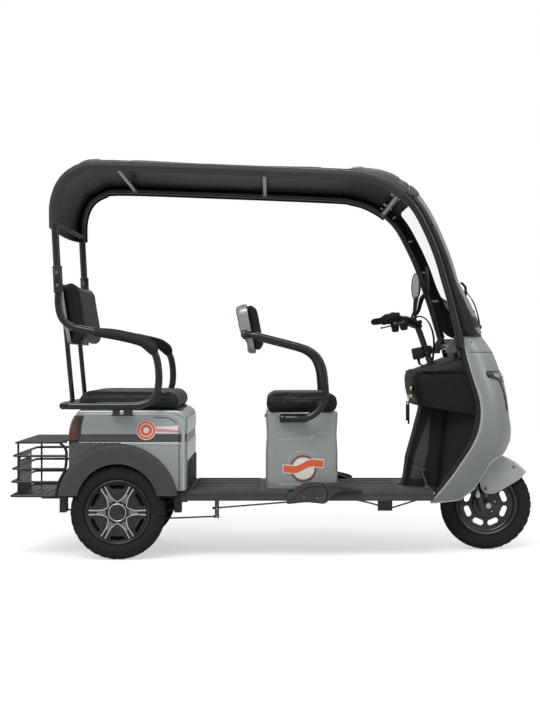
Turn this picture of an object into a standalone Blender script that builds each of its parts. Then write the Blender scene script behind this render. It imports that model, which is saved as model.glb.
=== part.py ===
"""Electric passenger three-wheeler with a canopy, modelled in metres.

+X is forward, +Y is the vehicle's left and +Z is up.  The origin lies on the ground under the
middle of the vehicle.  Each named object is one real piece.  Pieces that move hang from an empty
that sits on their joint.
"""

import math

import bmesh
import bpy
from mathutils import Vector

# ---------------------------------------------------------------- driving sizes

GAP = 0.0003                 # between pieces that touch

# wheels and axles
WHEEL_STEPS = 28             # segments round a wheel
WHEEL_RADIUS = 0.21
TYRE_WIDTH = 0.08
TYRE_SECTION = 0.078         # height of the tyre above its bead
RIM_WIDTH = 0.062
RIM_LIP = 0.010
FRONT_AXLE_X = 0.977
REAR_AXLE_X = -0.702
REAR_TRACK = 0.600           # between the middles of the rear tyres
AXLE_TUBE_RADIUS = 0.024
SPRING_FRONT_X = -0.444
SPRING_REAR_X = -0.960
SPRING_EYE_Z = 0.212
SPRING_WIDTH = 0.036
SPRING_THICK = 0.014
AXLE_STUB_RADIUS = 0.0123
STUB_CLEARANCE = 0.0007
FRONT_AXLE_RADIUS = 0.0065
FRONT_AXLE_HALF = 0.100      # half of the front axle's length
LINKAGE_ROD_RADIUS = 0.004

# chassis and floor
RAIL_SPREAD = 0.400          # between the middles of the two rails
RAIL_WIDTH = 0.030
RAIL_HEIGHT = 0.035
STUB_WIDTH = 0.022           # of the stubs that carry the basket
DOWN_TUBE_RADIUS = 0.021
RAIL_REAR_X = -0.985
RAIL_FRONT_X = 0.640
DECK_TOP = 0.3013
DECK_WIDTH = 0.600
DECK_SHEET = 0.004
DECK_SKIRT = 0.044
DECK_REAR_X = -0.430
DECK_FRONT_X = 0.697

# rear body and its fenders
BODY_WIDTH = 0.650
BODY_REAR_X = -0.918
BODY_FRONT_X = -0.396
BODY_TOP = 0.656
BODY_SKIRT = 0.304
BODY_FLOOR = 0.325
BODY_WALL = 0.004
WELL_DEPTH = 0.080           # how far the wheel wells reach in from the body's sides
FENDER_RADIUS = 0.268
FENDER_ARCH_RADIUS = 0.180
FENDER_CENTRE_Z = 0.245
FENDER_HEM = 0.285
FENDER_WIDTH = 0.105
FENDER_WALL = 0.004
LAMP_INNER_Y = 0.262
LAMP_FRONT_X = -0.857
LAMP_LOW = 0.5115
LAMP_HIGH = 0.6385

# passenger bench
BENCH_REAR_X = -0.888
BENCH_FRONT_X = -0.421
BENCH_WIDTH = 0.680
BENCH_THICK = 0.080
BACKREST_WIDTH = 0.580
BACKREST_THICK = 0.066
BACKREST_LEAN = math.radians(9)
BACKREST_PLANE = (-0.9335, 1.050)   # x and z of a point between its pad and its shell
SHELL_WALL = 0.004

# tubes of the canopy, the bench hoop and the driver's arm frame
CANOPY_HALF_WIDTH = 0.388
CANOPY_TUBE_RADIUS = 0.016
POST_RADIUS = 0.011
SLEEVE_RADIUS = 0.0205
SLEEVE_HEIGHT = 0.090        # above the foot of the canopy tube
ARM_HALF_WIDTH = 0.264
ARM_TUBE_RADIUS = 0.016

# driver's seat
SEAT_BOX_REAR_X = -0.050
SEAT_BOX_FRONT_X = 0.277
SEAT_BOX_WIDTH = 0.400
SEAT_BOX_TOP = 0.646
SEAT_WIDTH = 0.470
SEAT_THICK = 0.083
SEAT_OVERHANG = 0.004
SEAT_BACK_LEAN = math.radians(11)
SEAT_BACK_PLANE = (-0.1249, 1.000)
SEAT_BACK_WIDTH = 0.400
SEAT_BACK_THICK = 0.048

# steering
RAKE = math.radians(19)
FORK_OFFSET = 0.0293         # the axle lies this far ahead of the steering axis
FORK_HALF_WIDTH = 0.075
FORK_LEG_RADIUS = 0.0135
STEERER_RADIUS = 0.0145
HEAD_TUBE_RADIUS = 0.025
HEAD_CLEARANCE = 0.0008
CROWN_LOW = 0.262            # along the steering axis, above the axle
CROWN_HIGH = 0.284
HEAD_LOW = 0.360
HEAD_HIGH = 0.560
STEERER_TOP = 0.740
STEM_RADIUS = 0.0145
MIRROR_STEM_RADIUS = 0.008
BAR_HALF_SPAN = 0.330
MIRROR_X = 0.672
MIRROR_Y = 0.200
MIRROR_Z = 1.240
FENDER_FRONT_RADIUS = 0.238
FENDER_FRONT_WIDTH = 0.1224

# canopy cover and windscreen
COVER_SHEET = 0.004
COVER_CROWN = 0.030
COVER_HEM = 0.034
COVER_GAP = 0.0188            # from the middle of the tube to the middle of the cover
SCREEN_GAP = 0.0203
SCREEN_BULGE = 0.085
SCREEN_SHEET = 0.004
SCREEN_BORDER_SHEET = 0.007

# rear basket
BASKET_WIDTH = 0.560
BASKET_FRONT_X = -0.937
BASKET_LOW = 0.270
BASKET_HIGH = 0.517
BASKET_ROD_RADIUS = 0.0045

# ---------------------------------------------------------------- derived places

AXLE_Z = WHEEL_RADIUS
HALF_TRACK = REAR_TRACK / 2
RAIL_TOP = DECK_TOP - DECK_SHEET - GAP
RAIL_LOW = RAIL_TOP - RAIL_HEIGHT
BENCH_LOW = BODY_TOP + GAP
DASH_BAR_X = 0.812
DASH_BAR_Z = 0.945
LINKAGE_Y = -0.120
PEDAL_Y = -0.168
SEAT_LOW = SEAT_BOX_TOP + GAP
STEER_UP = Vector((-math.sin(RAKE), 0, math.cos(RAKE)))
STEER_FORE = Vector((math.cos(RAKE), 0, math.sin(RAKE)))
STEER_FOOT = Vector((FRONT_AXLE_X, 0, AXLE_Z)) - STEER_FORE * FORK_OFFSET

# Half of the canopy tube, from its foot behind the bench, over the roof, to the dashboard:
# x, half width, z
CANOPY_PATH = (
    (-0.953, 0.388, 1.200),
    (-0.968, 0.388, 1.490),
    (-0.960, 0.388, 1.600),
    (-0.925, 0.388, 1.672),
    (-0.860, 0.388, 1.714),
    (-0.770, 0.388, 1.728),
    (-0.300, 0.388, 1.713),
    (0.280, 0.388, 1.689),
    (0.380, 0.388, 1.678),
    (0.460, 0.387, 1.654),
    (0.540, 0.384, 1.607),
    (0.605, 0.378, 1.540),
    (0.660, 0.370, 1.440),
    (0.705, 0.357, 1.335),
    (0.739, 0.342, 1.229),
    (0.770, 0.325, 1.129),
    (0.818, 0.300, 0.950),
)
COVER_FIRST, COVER_LAST = 1, 10      # stations of CANOPY_PATH that the cover spans
SCREEN_FIRST, SCREEN_LAST = 10, 16   # and those that the windscreen spans

# Side of the bench hoop, from its top sleeve round the armrest to the bar behind the seat: x, z
HOOP_PATH = (
    (-0.953, 1.185),
    (-0.952, 1.120),
    (-0.938, 1.066),
    (-0.900, 1.030),
    (-0.840, 1.014),
    (-0.620, 0.968),
    (-0.562, 0.943),
    (-0.528, 0.900),
    (-0.515, 0.830),
    (-0.518, 0.760),
    (-0.540, 0.712),
    (-0.585, 0.688),
    (-0.650, 0.682),
    (-0.880, 0.682),
)
HOOP_REAR_X = -0.935
HOOP_CORNER = 0.055

# Side of the driver's arm frame, from the seat box up to the bar behind the backrest: x, half width, z
ARM_PATH = (
    (0.060, 0.222, 0.620),
    (0.100, 0.240, 0.620),
    (0.135, 0.262, 0.624),
    (0.174, 0.264, 0.646),
    (0.204, 0.264, 0.680),
    (0.217, 0.264, 0.720),
    (0.214, 0.264, 0.790),
    (0.205, 0.264, 0.845),
    (0.184, 0.264, 0.891),
    (0.148, 0.264, 0.922),
    (0.100, 0.264, 0.941),
    (-0.030, 0.264, 0.975),
    (-0.100, 0.262, 0.992),
    (-0.134, 0.240, 0.9965),
)

# Front cowl and leg shield at each height: z, half width, x of the shared edge, x of the nose
COWL_STATIONS = (
    (0.236, 0.200, 0.690, 0.960),
    (0.300, 0.215, 0.742, 1.000),
    (0.360, 0.226, 0.787, 1.030),
    (0.420, 0.238, 0.826, 1.055),
    (0.480, 0.250, 0.864, 1.074),
    (0.550, 0.262, 0.895, 1.085),
    (0.625, 0.271, 0.908, 1.075),
    (0.700, 0.278, 0.903, 1.066),
    (0.770, 0.283, 0.882, 1.052),
    (0.830, 0.285, 0.862, 1.030),
    (0.920, 0.285, 0.838, 0.995),
    (0.985, 0.282, 0.824, 0.948),
)

ROUND_PIECES = {
    "armrest_hoop",
    "canopy_frame",
    "driver_arm_frame",
    "front_tyre",
    "rear_tyre_right",
    "rear_tyre_left",
    "front_cowl",
    "canopy_cover",
    "windscreen",
    "windscreen_frame",
}

# ---------------------------------------------------------------- modelling helpers


def clear_scene():
    """Removes whatever the file holds."""
    for item in list(bpy.data.objects):
        bpy.data.objects.remove(item, do_unlink=True)


def new_collection(name):
    made = bpy.data.collections.new(name)
    bpy.context.scene.collection.children.link(made)
    return made


def finish(name, colour, roughness, metallic=0.0, alpha=1.0):
    """A plain Principled material."""
    made = bpy.data.materials.new(name)
    made.use_nodes = True
    shader = made.node_tree.nodes["Principled BSDF"]
    shader.inputs["Base Color"].default_value = (*colour, 1.0)
    shader.inputs["Roughness"].default_value = roughness
    shader.inputs["Metallic"].default_value = metallic
    shader.inputs["Alpha"].default_value = alpha
    return made


def keep(item, material=None):
    """Puts a finished piece into the vehicle's collection, with its material."""
    for home in list(item.users_collection):
        home.objects.unlink(item)
    VEHICLE.objects.link(item)
    if material is not None:
        item.data.materials.clear()
        item.data.materials.append(material)
    return item


def as_tool(item):
    """Puts a cutter, or a shape that is joined to another, out of the model."""
    for home in list(item.users_collection):
        home.objects.unlink(item)
    TOOLS.objects.link(item)
    item.hide_render = True
    item.display_type = "WIRE"
    return item


def combine(item, others, operation):
    """Adds one exact Boolean for each other shape."""
    for other in others:
        step = item.modifiers.new(f"{operation.lower()}_{other.name}", "BOOLEAN")
        step.operation = operation
        step.solver = "EXACT"
        step.object = as_tool(other)
    return item


def join(item, *others):
    return combine(item, others, "UNION")


def cut(item, *others):
    return combine(item, others, "DIFFERENCE")


def from_bmesh(name, mesh_data):
    mesh = bpy.data.meshes.new(name)
    mesh_data.to_mesh(mesh)
    mesh_data.free()
    item = bpy.data.objects.new(name, mesh)
    VEHICLE.objects.link(item)
    return item


def box(name, low, high, round_by=0.0, segments=2, only_upright=False):
    """A box between two corners, with all its edges rounded or only the upright ones."""
    low, high = Vector(low), Vector(high)
    shape = bmesh.new()
    bmesh.ops.create_cube(shape, size=1.0)
    bmesh.ops.scale(shape, vec=high - low, verts=shape.verts)
    item = from_bmesh(name, shape)
    item.location = (low + high) / 2
    if round_by:
        rounding = item.modifiers.new("rounding", "BEVEL")
        rounding.width = round_by
        rounding.segments = segments
    if only_upright:
        weights = item.data.attributes.new("bevel_weight_edge", "FLOAT", "EDGE")
        corners = item.data.vertices
        for edge, weight in zip(item.data.edges, weights.data):
            rise = corners[edge.vertices[0]].co - corners[edge.vertices[1]].co
            weight.value = 1.0 if abs(rise.z) > abs(rise.x) + abs(rise.y) else 0.0
        rounding.limit_method = "WEIGHT"
    return item


def cylinder(name, start, end, radius, sides=20):
    """A cylinder from one point to another."""
    start, end = Vector(start), Vector(end)
    shape = bmesh.new()
    bmesh.ops.create_cone(
        shape, cap_ends=True, segments=sides, radius1=radius, radius2=radius, depth=(end - start).length
    )
    item = from_bmesh(name, shape)
    item.location = (start + end) / 2
    item.rotation_mode = "QUATERNION"
    item.rotation_quaternion = (end - start).to_track_quat("Z", "Y")
    return item


def slab(name, outline, y_low, y_high):
    """A flat side outline, given as x and z, that runs across the vehicle from y_low to y_high."""
    curve = bpy.data.curves.new(name, "CURVE")
    curve.dimensions = "2D"
    curve.fill_mode = "BOTH"
    curve.extrude = (y_high - y_low) / 2
    spline = curve.splines.new("POLY")
    spline.points.add(len(outline) - 1)
    for point, (x, z) in zip(spline.points, outline):
        point.co = (x, z, 0, 1)
    spline.use_cyclic_u = True
    item = bpy.data.objects.new(name, curve)
    item.location = (0, (y_low + y_high) / 2, 0)
    item.rotation_euler = (math.pi / 2, 0, 0)
    return mesh_of(item)


def mesh_of(curve_item):
    """The curve object as a mesh object with its caps welded on."""
    VEHICLE.objects.link(curve_item)
    bpy.context.view_layer.update()
    graph = bpy.context.evaluated_depsgraph_get()
    mesh = bpy.data.meshes.new_from_object(curve_item.evaluated_get(graph))
    name, place = curve_item.name, curve_item.matrix_world.copy()
    bpy.data.objects.remove(curve_item)
    shape = bmesh.new()
    shape.from_mesh(mesh)
    bmesh.ops.remove_doubles(shape, verts=shape.verts, dist=1e-6)
    shape.to_mesh(mesh)
    shape.free()
    item = bpy.data.objects.new(name, mesh)
    item.matrix_world = place
    VEHICLE.objects.link(item)
    return item


def smooth(points, steps=3):
    """Points along a soft curve through the given ones."""
    points = [Vector(p) for p in points]
    ends = [points[0] * 2 - points[1]] + points + [points[-1] * 2 - points[-2]]
    route = []
    for before, a, b, after in zip(ends, ends[1:], ends[2:], ends[3:]):
        for step in range(steps):
            t = step / steps
            route.append(
                0.5
                * (
                    2 * a
                    + (b - before) * t
                    + (2 * before - 5 * a + 4 * b - after) * t**2
                    + (3 * a - before - 3 * b + after) * t**3
                )
            )
    route.append(points[-1])
    return route


def tube(name, points, radius, sides=8):
    """A round bar or tube through the given points."""
    curve = bpy.data.curves.new(name, "CURVE")
    curve.dimensions = "3D"
    curve.bevel_depth = radius
    curve.bevel_resolution = (sides - 4) // 2
    curve.use_fill_caps = True
    spline = curve.splines.new("POLY")
    spline.points.add(len(points) - 1)
    for point, place in zip(spline.points, points):
        point.co = (*place, 1)
    return mesh_of(bpy.data.objects.new(name, curve))


def sheet(name, across, along, place, thickness, kept=None):
    """A curved sheet: place gives the point for each column and row, kept tells which cells stay."""
    shape = bmesh.new()
    bmesh.ops.create_grid(shape, x_segments=len(across) - 1, y_segments=len(along) - 1, size=0.5)
    ordered = sorted(shape.verts, key=lambda v: (round(v.co.y, 6), round(v.co.x, 6)))
    for index, vertex in enumerate(ordered):
        row, column = divmod(index, len(across))
        vertex.co = place(across[column], along[row])
    if kept:
        number = {vertex: index for index, vertex in enumerate(ordered)}
        lowest = {face: min(number[v] for v in face.verts) for face in shape.faces}
        gone = [f for f, n in lowest.items() if not kept(n % len(across), n // len(across))]
        bmesh.ops.delete(shape, geom=gone, context="FACES")
    item = from_bmesh(name, shape)
    wall = item.modifiers.new("thickness", "SOLIDIFY")
    wall.thickness = thickness
    wall.offset = 0
    wall.use_even_offset = True
    return item


def turned(name, profile, centre, steps=WHEEL_STEPS, closed=True):
    """A turned shape about an axis that runs across the vehicle: profile gives radius and y."""
    mesh = bpy.data.meshes.new(name)
    ahead = profile[1:] + profile[:1]
    if sum(a[0] * b[1] - b[0] * a[1] for a, b in zip(profile, ahead)) < 0:
        profile = list(reversed(profile))
    edges = [(i, i + 1) for i in range(len(profile) - 1)]
    if closed:
        edges.append((len(profile) - 1, 0))
    mesh.from_pydata([(radius, 0, -y) for radius, y in profile], edges, [])
    item = bpy.data.objects.new(name, mesh)
    VEHICLE.objects.link(item)
    spin = item.modifiers.new("turn", "SCREW")
    spin.steps = spin.render_steps = steps
    spin.use_merge_vertices = True
    spin.merge_threshold = 0.00001
    item.location = centre
    item.rotation_euler = (math.pi / 2, 0, 0)
    return item


def pivot(name, place):
    """An empty on a joint's axis."""
    made = bpy.data.objects.new(name, None)
    made.location = place
    made.empty_display_size = 0.1
    VEHICLE.objects.link(made)
    return made


def carry(carrier, *items):
    """Hangs pieces from an empty and leaves them where they are."""
    bpy.context.view_layer.update()
    for item in items:
        item.parent = carrier
        item.matrix_parent_inverse = carrier.matrix_world.inverted()


def both_sides(build):
    """Builds the right and the left piece: side is -1 on the right and 1 on the left."""
    return [build(name, side) for name, side in (("right", -1), ("left", 1))]


def span(first, last):
    """Two y values in rising order."""
    return min(first, last), max(first, last)


def table_value(table, key, column):
    """A column of a table, at a value of its first column, on straight lines between rows."""
    for low, high in zip(table, table[1:]):
        if key <= high[0] or high is table[-1]:
            share = (key - low[0]) / (high[0] - low[0])
            return low[column] + (high[column] - low[column]) * share


# ---------------------------------------------------------------- chassis


def steer_point(along, across=0.0, ahead=0.0):
    """A point given along the steering axis from the axle's foot, to the left and ahead of it."""
    return STEER_FOOT + STEER_UP * along + STEER_FORE * ahead + Vector((0, across, 0))


def build_frame():
    """Two rails with cross members and hangers, the down tube, head tube and dashboard post."""
    half = RAIL_SPREAD / 2
    rails = [
        box(
            f"rail_{side}",
            (RAIL_REAR_X, side * half - RAIL_WIDTH / 2, RAIL_LOW),
            (RAIL_FRONT_X, side * half + RAIL_WIDTH / 2, RAIL_TOP),
        )
        for side in (-1, 1)
    ]
    # cross members: x of the middle, half length
    members = (
        (-0.965, 0.205),
        (-0.500, 0.205),
        (-0.273, 0.205),
        (0.000, 0.290),
        (0.260, 0.290),
        (0.600, 0.290),
    )
    crosses = [
        box(f"cross_{x}", (x - 0.014, -reach, RAIL_LOW + 0.006), (x + 0.014, reach, RAIL_TOP - 0.001))
        for x, reach in members
    ]
    # the bars that carry the rear body, and the stubs that carry the basket
    bars = [
        box(f"body_bar_{x}", (x - 0.013, -0.215, RAIL_TOP - 0.004), (x + 0.013, 0.215, BODY_FLOOR - GAP))
        for x in (-0.870, -0.465)
    ]
    stubs = [
        box(
            f"basket_stub_{side}",
            (-1.060, side * half - STUB_WIDTH / 2, 0.257),
            (-0.950, side * half + STUB_WIDTH / 2, BASKET_LOW),
        )
        for side in (-1, 1)
    ]
    down_path = ((0.600, 0, 0.281), (0.632, 0, 0.345), (0.668, 0, 0.425), (0.720, 0, 0.525))
    down_path += (steer_point(0.44),)
    down = tube("down_tube", smooth(down_path), DOWN_TUBE_RADIUS, 10)
    head = cylinder("head_tube", steer_point(HEAD_LOW), steer_point(HEAD_HIGH), HEAD_TUBE_RADIUS)
    post_path = (steer_point(0.49, 0, 0.012), steer_point(0.52, 0, 0.050))
    post_path += ((0.846, 0, 0.790), (0.836, 0, 0.924))
    post = tube("dash_post", smooth(post_path), POST_RADIUS)
    saddle_top = DASH_BAR_Z - CANOPY_TUBE_RADIUS - GAP
    saddle = box("dash_saddle", (0.798, -0.030, 0.919), (0.846, 0.030, saddle_top))
    hangers = []
    for x in (SPRING_FRONT_X, SPRING_REAR_X):
        for side in (-1, 1):
            y = side * half
            reach = SPRING_WIDTH / 2 + 0.0055
            low, high = (x - 0.018, y - reach, RAIL_LOW - 0.004), (x + 0.018, y + reach, RAIL_LOW + 0.003)
            hangers.append(box(f"shoe_{x}_{side}", low, high))
            for lip in (-1, 1):
                edges = span(y + lip * reach, y + lip * (reach - 0.004))
                hangers.append(
                    box(
                        f"hanger_{x}_{side}_{lip}",
                        (x - 0.016, edges[0], SPRING_EYE_Z - 0.016),
                        (x + 0.016, edges[1], RAIL_LOW),
                    )
                )
    low, high = (0.462, LINKAGE_Y - 0.014, 0.193), (0.529, LINKAGE_Y - 0.010, RAIL_TOP - 0.001)
    bracket = box("linkage_bracket", low, high)
    tie = box("bracket_tie", (0.475, -0.205, RAIL_LOW + 0.006), (0.500, 0.205, RAIL_TOP - 0.001))
    posts = (down, head, post, saddle, bracket, tie)
    frame = join(rails[0], *rails[1:], *crosses, *bars, *stubs, *posts, *hangers)
    cut(
        frame,
        cylinder(
            "head_bore",
            steer_point(HEAD_LOW - 0.02),
            steer_point(HEAD_HIGH + 0.02),
            STEERER_RADIUS + HEAD_CLEARANCE,
        ),
    )
    frame.name = "frame"
    return keep(frame, BLACK_STEEL)


def build_leaf_spring(side):
    """A stack of leaves under the axle with an eye at each end."""
    y = side * RAIL_SPREAD / 2
    middle_z = AXLE_Z - AXLE_TUBE_RADIUS - SPRING_THICK / 2 + 0.003
    route = smooth(
        (
            (SPRING_FRONT_X - 0.004, y, SPRING_EYE_Z - 0.005),
            (SPRING_FRONT_X - 0.120, y, middle_z + 0.010),
            (REAR_AXLE_X, y, middle_z),
            (SPRING_REAR_X + 0.120, y, middle_z + 0.010),
            (SPRING_REAR_X + 0.004, y, SPRING_EYE_Z - 0.005),
        ),
        2,
    )
    top = [(p.x, p.z + SPRING_THICK / 2) for p in route]
    under = [(p.x, p.z - SPRING_THICK / 2) for p in reversed(route)]
    y_low, y_high = y - SPRING_WIDTH / 2, y + SPRING_WIDTH / 2
    spring = slab(f"leaf_spring_{side}", top + under, y_low, y_high)
    eyes = [
        cylinder(
            f"eye_{side}_{x}", (x, y_low - 0.001, SPRING_EYE_Z), (x, y_high + 0.001, SPRING_EYE_Z), 0.012, 10
        )
        for x in (SPRING_FRONT_X, SPRING_REAR_X)
    ]
    return spring, *eyes


def build_rear_axle():
    """The axle tube with motor, gear case, brake plates, end stubs and the leaf springs."""
    tube_half = HALF_TRACK - TYRE_WIDTH / 2 - 0.012
    x = REAR_AXLE_X
    # along the axle: x, first y, last y, radius, sides
    rounds = (
        (x, -HALF_TRACK - 0.012, HALF_TRACK + 0.012, AXLE_STUB_RADIUS, 20),
        (x, -0.045, 0.045, 0.078, 22),
        (x + 0.005, 0.030, 0.160, 0.070, 22),
        (x, -tube_half, 0.008 - tube_half, 0.070, 20),
        (x, tube_half - 0.008, tube_half, 0.070, 20),
    )
    axle = cylinder("rear_axle", (x, -tube_half, AXLE_Z), (x, tube_half, AXLE_Z), AXLE_TUBE_RADIUS)
    shapes = [
        cylinder(f"axle_round_{index}", (at, low, AXLE_Z), (at, high, AXLE_Z), radius, sides)
        for index, (at, low, high, radius, sides) in enumerate(rounds)
    ]
    for side in (-1, 1):
        shapes.extend(build_leaf_spring(side))
    low, high = (x + 0.004, LINKAGE_Y - 0.004, 0.150), (x + 0.016, LINKAGE_Y + 0.004, 0.200)
    shapes.append(box("brake_arm", low, high))
    return keep(join(axle, *shapes), CAST_METAL)


# ---------------------------------------------------------------- wheels


def build_tyre(name, centre):
    """A tyre, open at its beads and hollow inside."""
    half = TYRE_WIDTH / 2
    bead = WHEEL_RADIUS - TYRE_SECTION
    wall = 0.009
    bead_y = RIM_WIDTH / 2 - 0.0065
    outer = [
        (bead, bead_y),
        (bead + RIM_LIP + 0.0008, bead_y + 0.0015),
        (bead + RIM_LIP + 0.008, 0.88 * half),
        (bead + 0.036, half),
        (WHEEL_RADIUS - 0.022, 0.93 * half),
        (WHEEL_RADIUS - 0.008, 0.70 * half),
        (WHEEL_RADIUS - 0.001, 0.36 * half),
    ]
    inner = [
        (bead, bead_y - 0.010),
        (bead + 0.036, half - wall),
        (WHEEL_RADIUS - 0.018, 0.55 * half),
    ]
    right = [(r, -y) for r, y in outer]
    left = [(r, y) for r, y in reversed(outer)]
    lining = inner + [(r, -y) for r, y in reversed(inner)]
    return keep(turned(name, right + [(WHEEL_RADIUS, 0.0)] + left + lining, centre), TYRE_RUBBER)


def rim_barrel(bead, half):
    """The rim's outer section, from its left lip to its right lip: radius and y."""
    left = [(bead + RIM_LIP, half), (bead + RIM_LIP, half - 0.004), (bead, half - 0.006)]
    return left + [(r, -y) for r, y in reversed(left)]


def build_front_rim():
    """A cast disc rim with eight long holes round its drum."""
    bead = WHEEL_RADIUS - TYRE_SECTION - GAP
    half = RIM_WIDTH / 2
    bore = FRONT_AXLE_RADIUS + STUB_CLEARANCE
    centre = (FRONT_AXLE_X, 0, AXLE_Z)
    # from the right lip inward to the bore; the left side mirrors it
    side = [
        (bead - 0.005, half),
        (bead - 0.010, 0.010),
        (0.062, 0.008),
        (0.058, 0.030),
        (0.020, 0.032),
        (0.018, 0.046),
        (bore, 0.046),
    ]
    profile = rim_barrel(bead, half) + [(r, -y) for r, y in side] + list(reversed(side))
    rim = turned("front_rim", profile, centre)
    holes = []
    for index in range(8):
        turn = math.radians(45 * index + 22.5)
        hole = box(f"rim_hole_{index}", (-0.0125, -0.050, -0.023), (0.0125, 0.050, 0.023))
        hole.location = Vector(centre) + Vector((math.cos(turn), 0, math.sin(turn))) * 0.091
        hole.rotation_euler = (0, -turn, 0)
        rounding = hole.modifiers.new("rounding", "BEVEL")
        rounding.width = 0.0110
        rounding.segments = 2
        holes.append(hole)
    return keep(cut(rim, *holes), BLACK_PAINT)


def build_rear_rim(side_name, side):
    """A pressed rim with its brake drum, hub and round wheel cover."""
    bead = WHEEL_RADIUS - TYRE_SECTION - GAP
    half = RIM_WIDTH / 2
    bore = AXLE_STUB_RADIUS + STUB_CLEARANCE
    section = [(0, 0.016), (bore, 0.016), (bore, -0.012), (0.024, -0.012), (0.030, 0.012), (0.074, 0.012)]
    section += [(0.074, -0.040), (0.081, -0.040), (0.084, 0.018)]
    section += [(bead - 0.005, 0.014), (bead - 0.005, -half)]
    section += list(reversed(rim_barrel(bead, half)))
    section += [(bead - 0.004, half), (0.112, 0.031), (0.040, 0.033), (0.034, 0.039), (0, 0.040)]
    points = [(r, side * y) for r, y in section]
    rim = turned(f"rear_rim_{side_name}", points, (REAR_AXLE_X, side * HALF_TRACK, AXLE_Z), closed=False)
    return keep(rim, BLACK_PAINT)


# ---------------------------------------------------------------- floor


def build_floor_deck():
    """A pressed floor plate with skirts turned down along its edges."""
    half = DECK_WIDTH / 2
    deck = box(
        "floor_deck",
        (DECK_REAR_X, -half, DECK_TOP - DECK_SKIRT),
        (DECK_FRONT_X, half, DECK_TOP),
    )
    inside = box(
        "deck_inside",
        (DECK_REAR_X - 0.02, DECK_SHEET - half, DECK_TOP - DECK_SKIRT - 0.02),
        (DECK_FRONT_X + 0.02, half - DECK_SHEET, DECK_TOP - DECK_SHEET),
    )
    notch = box("deck_notch", (0.566, -0.032, 0.200), (DECK_FRONT_X + 0.02, 0.032, 0.400))
    return keep(cut(deck, inside, notch), BLACK_PLASTIC)


def build_side_step(side_name, side):
    """A lobed moulding clipped over the edge of the deck beside the driver's seat."""
    outline = (
        (0.030, 0.243),
        (0.030, 0.285),
        (0.052, 0.303),
        (0.085, 0.325),
        (0.130, 0.342),
        (0.190, 0.342),
        (0.215, 0.334),
        (0.245, 0.340),
        (0.300, 0.342),
        (0.345, 0.318),
        (0.372, 0.300),
        (0.378, 0.260),
        (0.360, 0.243),
    )
    edge = DECK_WIDTH / 2 + GAP
    step = slab(f"side_step_{side_name}", outline, *span(side * edge, side * (edge + 0.024)))
    low = DECK_TOP + GAP
    ridge = ((0.050, low), (0.085, 0.318), (0.130, 0.330), (0.300, 0.330), (0.345, 0.312), (0.360, low))
    top = slab(f"step_top_{side_name}", ridge, *span(side * (edge - 0.055), side * (edge + 0.004)))
    return keep(join(step, top), SOFT_BLACK)


# ---------------------------------------------------------------- rear body


def fender_shape(name, radius, y_low, y_high, sides=36):
    """A cylinder about the rear fenders' centre."""
    return cylinder(
        name, (REAR_AXLE_X, y_low, FENDER_CENTRE_Z), (REAR_AXLE_X, y_high, FENDER_CENTRE_Z), radius, sides
    )


def build_rear_body():
    """The hollow box under the passenger bench, with wells for the wheels and pockets for the lamps."""
    half = BODY_WIDTH / 2
    well = half - WELL_DEPTH
    inner = half - BODY_WALL
    body = box("rear_body", (BODY_REAR_X, -half, BODY_SKIRT), (BODY_FRONT_X, half, BODY_TOP), 0.020, 3, True)
    low, high = BODY_FLOOR + BODY_WALL, BODY_TOP - BODY_WALL
    back, front = BODY_REAR_X + BODY_WALL, BODY_FRONT_X - BODY_WALL
    cut(
        body,
        box("body_middle", (back, BODY_WALL - well, low), (front, well - BODY_WALL, high)),
        box("body_mouth", (-0.860, -0.270, high - 0.01), (-0.450, 0.270, BODY_TOP + 0.01)),
        box("body_under", (back, -inner, BODY_SKIRT - 0.01), (front, inner, BODY_FLOOR), 0.016, 3, True),
    )
    for side in (-1, 1):
        bay = span(side * (well - 0.026), side * inner)
        chamber = box(f"body_side_{side}", (back, bay[0], low), (front, bay[1], high), 0.016, 3, True)
        wall_radius = FENDER_RADIUS + GAP + BODY_WALL
        cut(chamber, fender_shape(f"well_wall_{side}", wall_radius, *span(side * 0.1, side * 0.5)))
        cut(body, chamber, fender_shape(f"well_{side}", FENDER_RADIUS + GAP, *span(side * well, side * 0.5)))
        block = span(side * (LAMP_INNER_Y - BODY_WALL - GAP), side * (half - 0.001))
        join(body, box(f"lamp_block_{side}", (BODY_REAR_X + 0.001, block[0], LAMP_LOW - 0.005),
                       (LAMP_FRONT_X + 0.005, block[1], LAMP_HIGH + 0.005)))
        pocket = span(side * (LAMP_INNER_Y - GAP), side * 0.4)
        cut(body, box(f"lamp_pocket_{side}", (-1.0, pocket[0], LAMP_LOW - GAP),
                      (LAMP_FRONT_X + GAP, pocket[1], LAMP_HIGH + GAP)))
    return keep(body, GREY_BODY)


def build_tail_lamp(side_name, side):
    """A corner lamp that fills its pocket and stands a little proud."""
    across = span(side * LAMP_INNER_Y, side * (BODY_WIDTH / 2 + 0.003))
    lamp = box(
        f"tail_lamp_{side_name}",
        (BODY_REAR_X - 0.003, across[0], LAMP_LOW),
        (LAMP_FRONT_X, across[1], LAMP_HIGH),
        0.006,
        2,
    )
    return keep(lamp, LAMP_RED)


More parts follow.
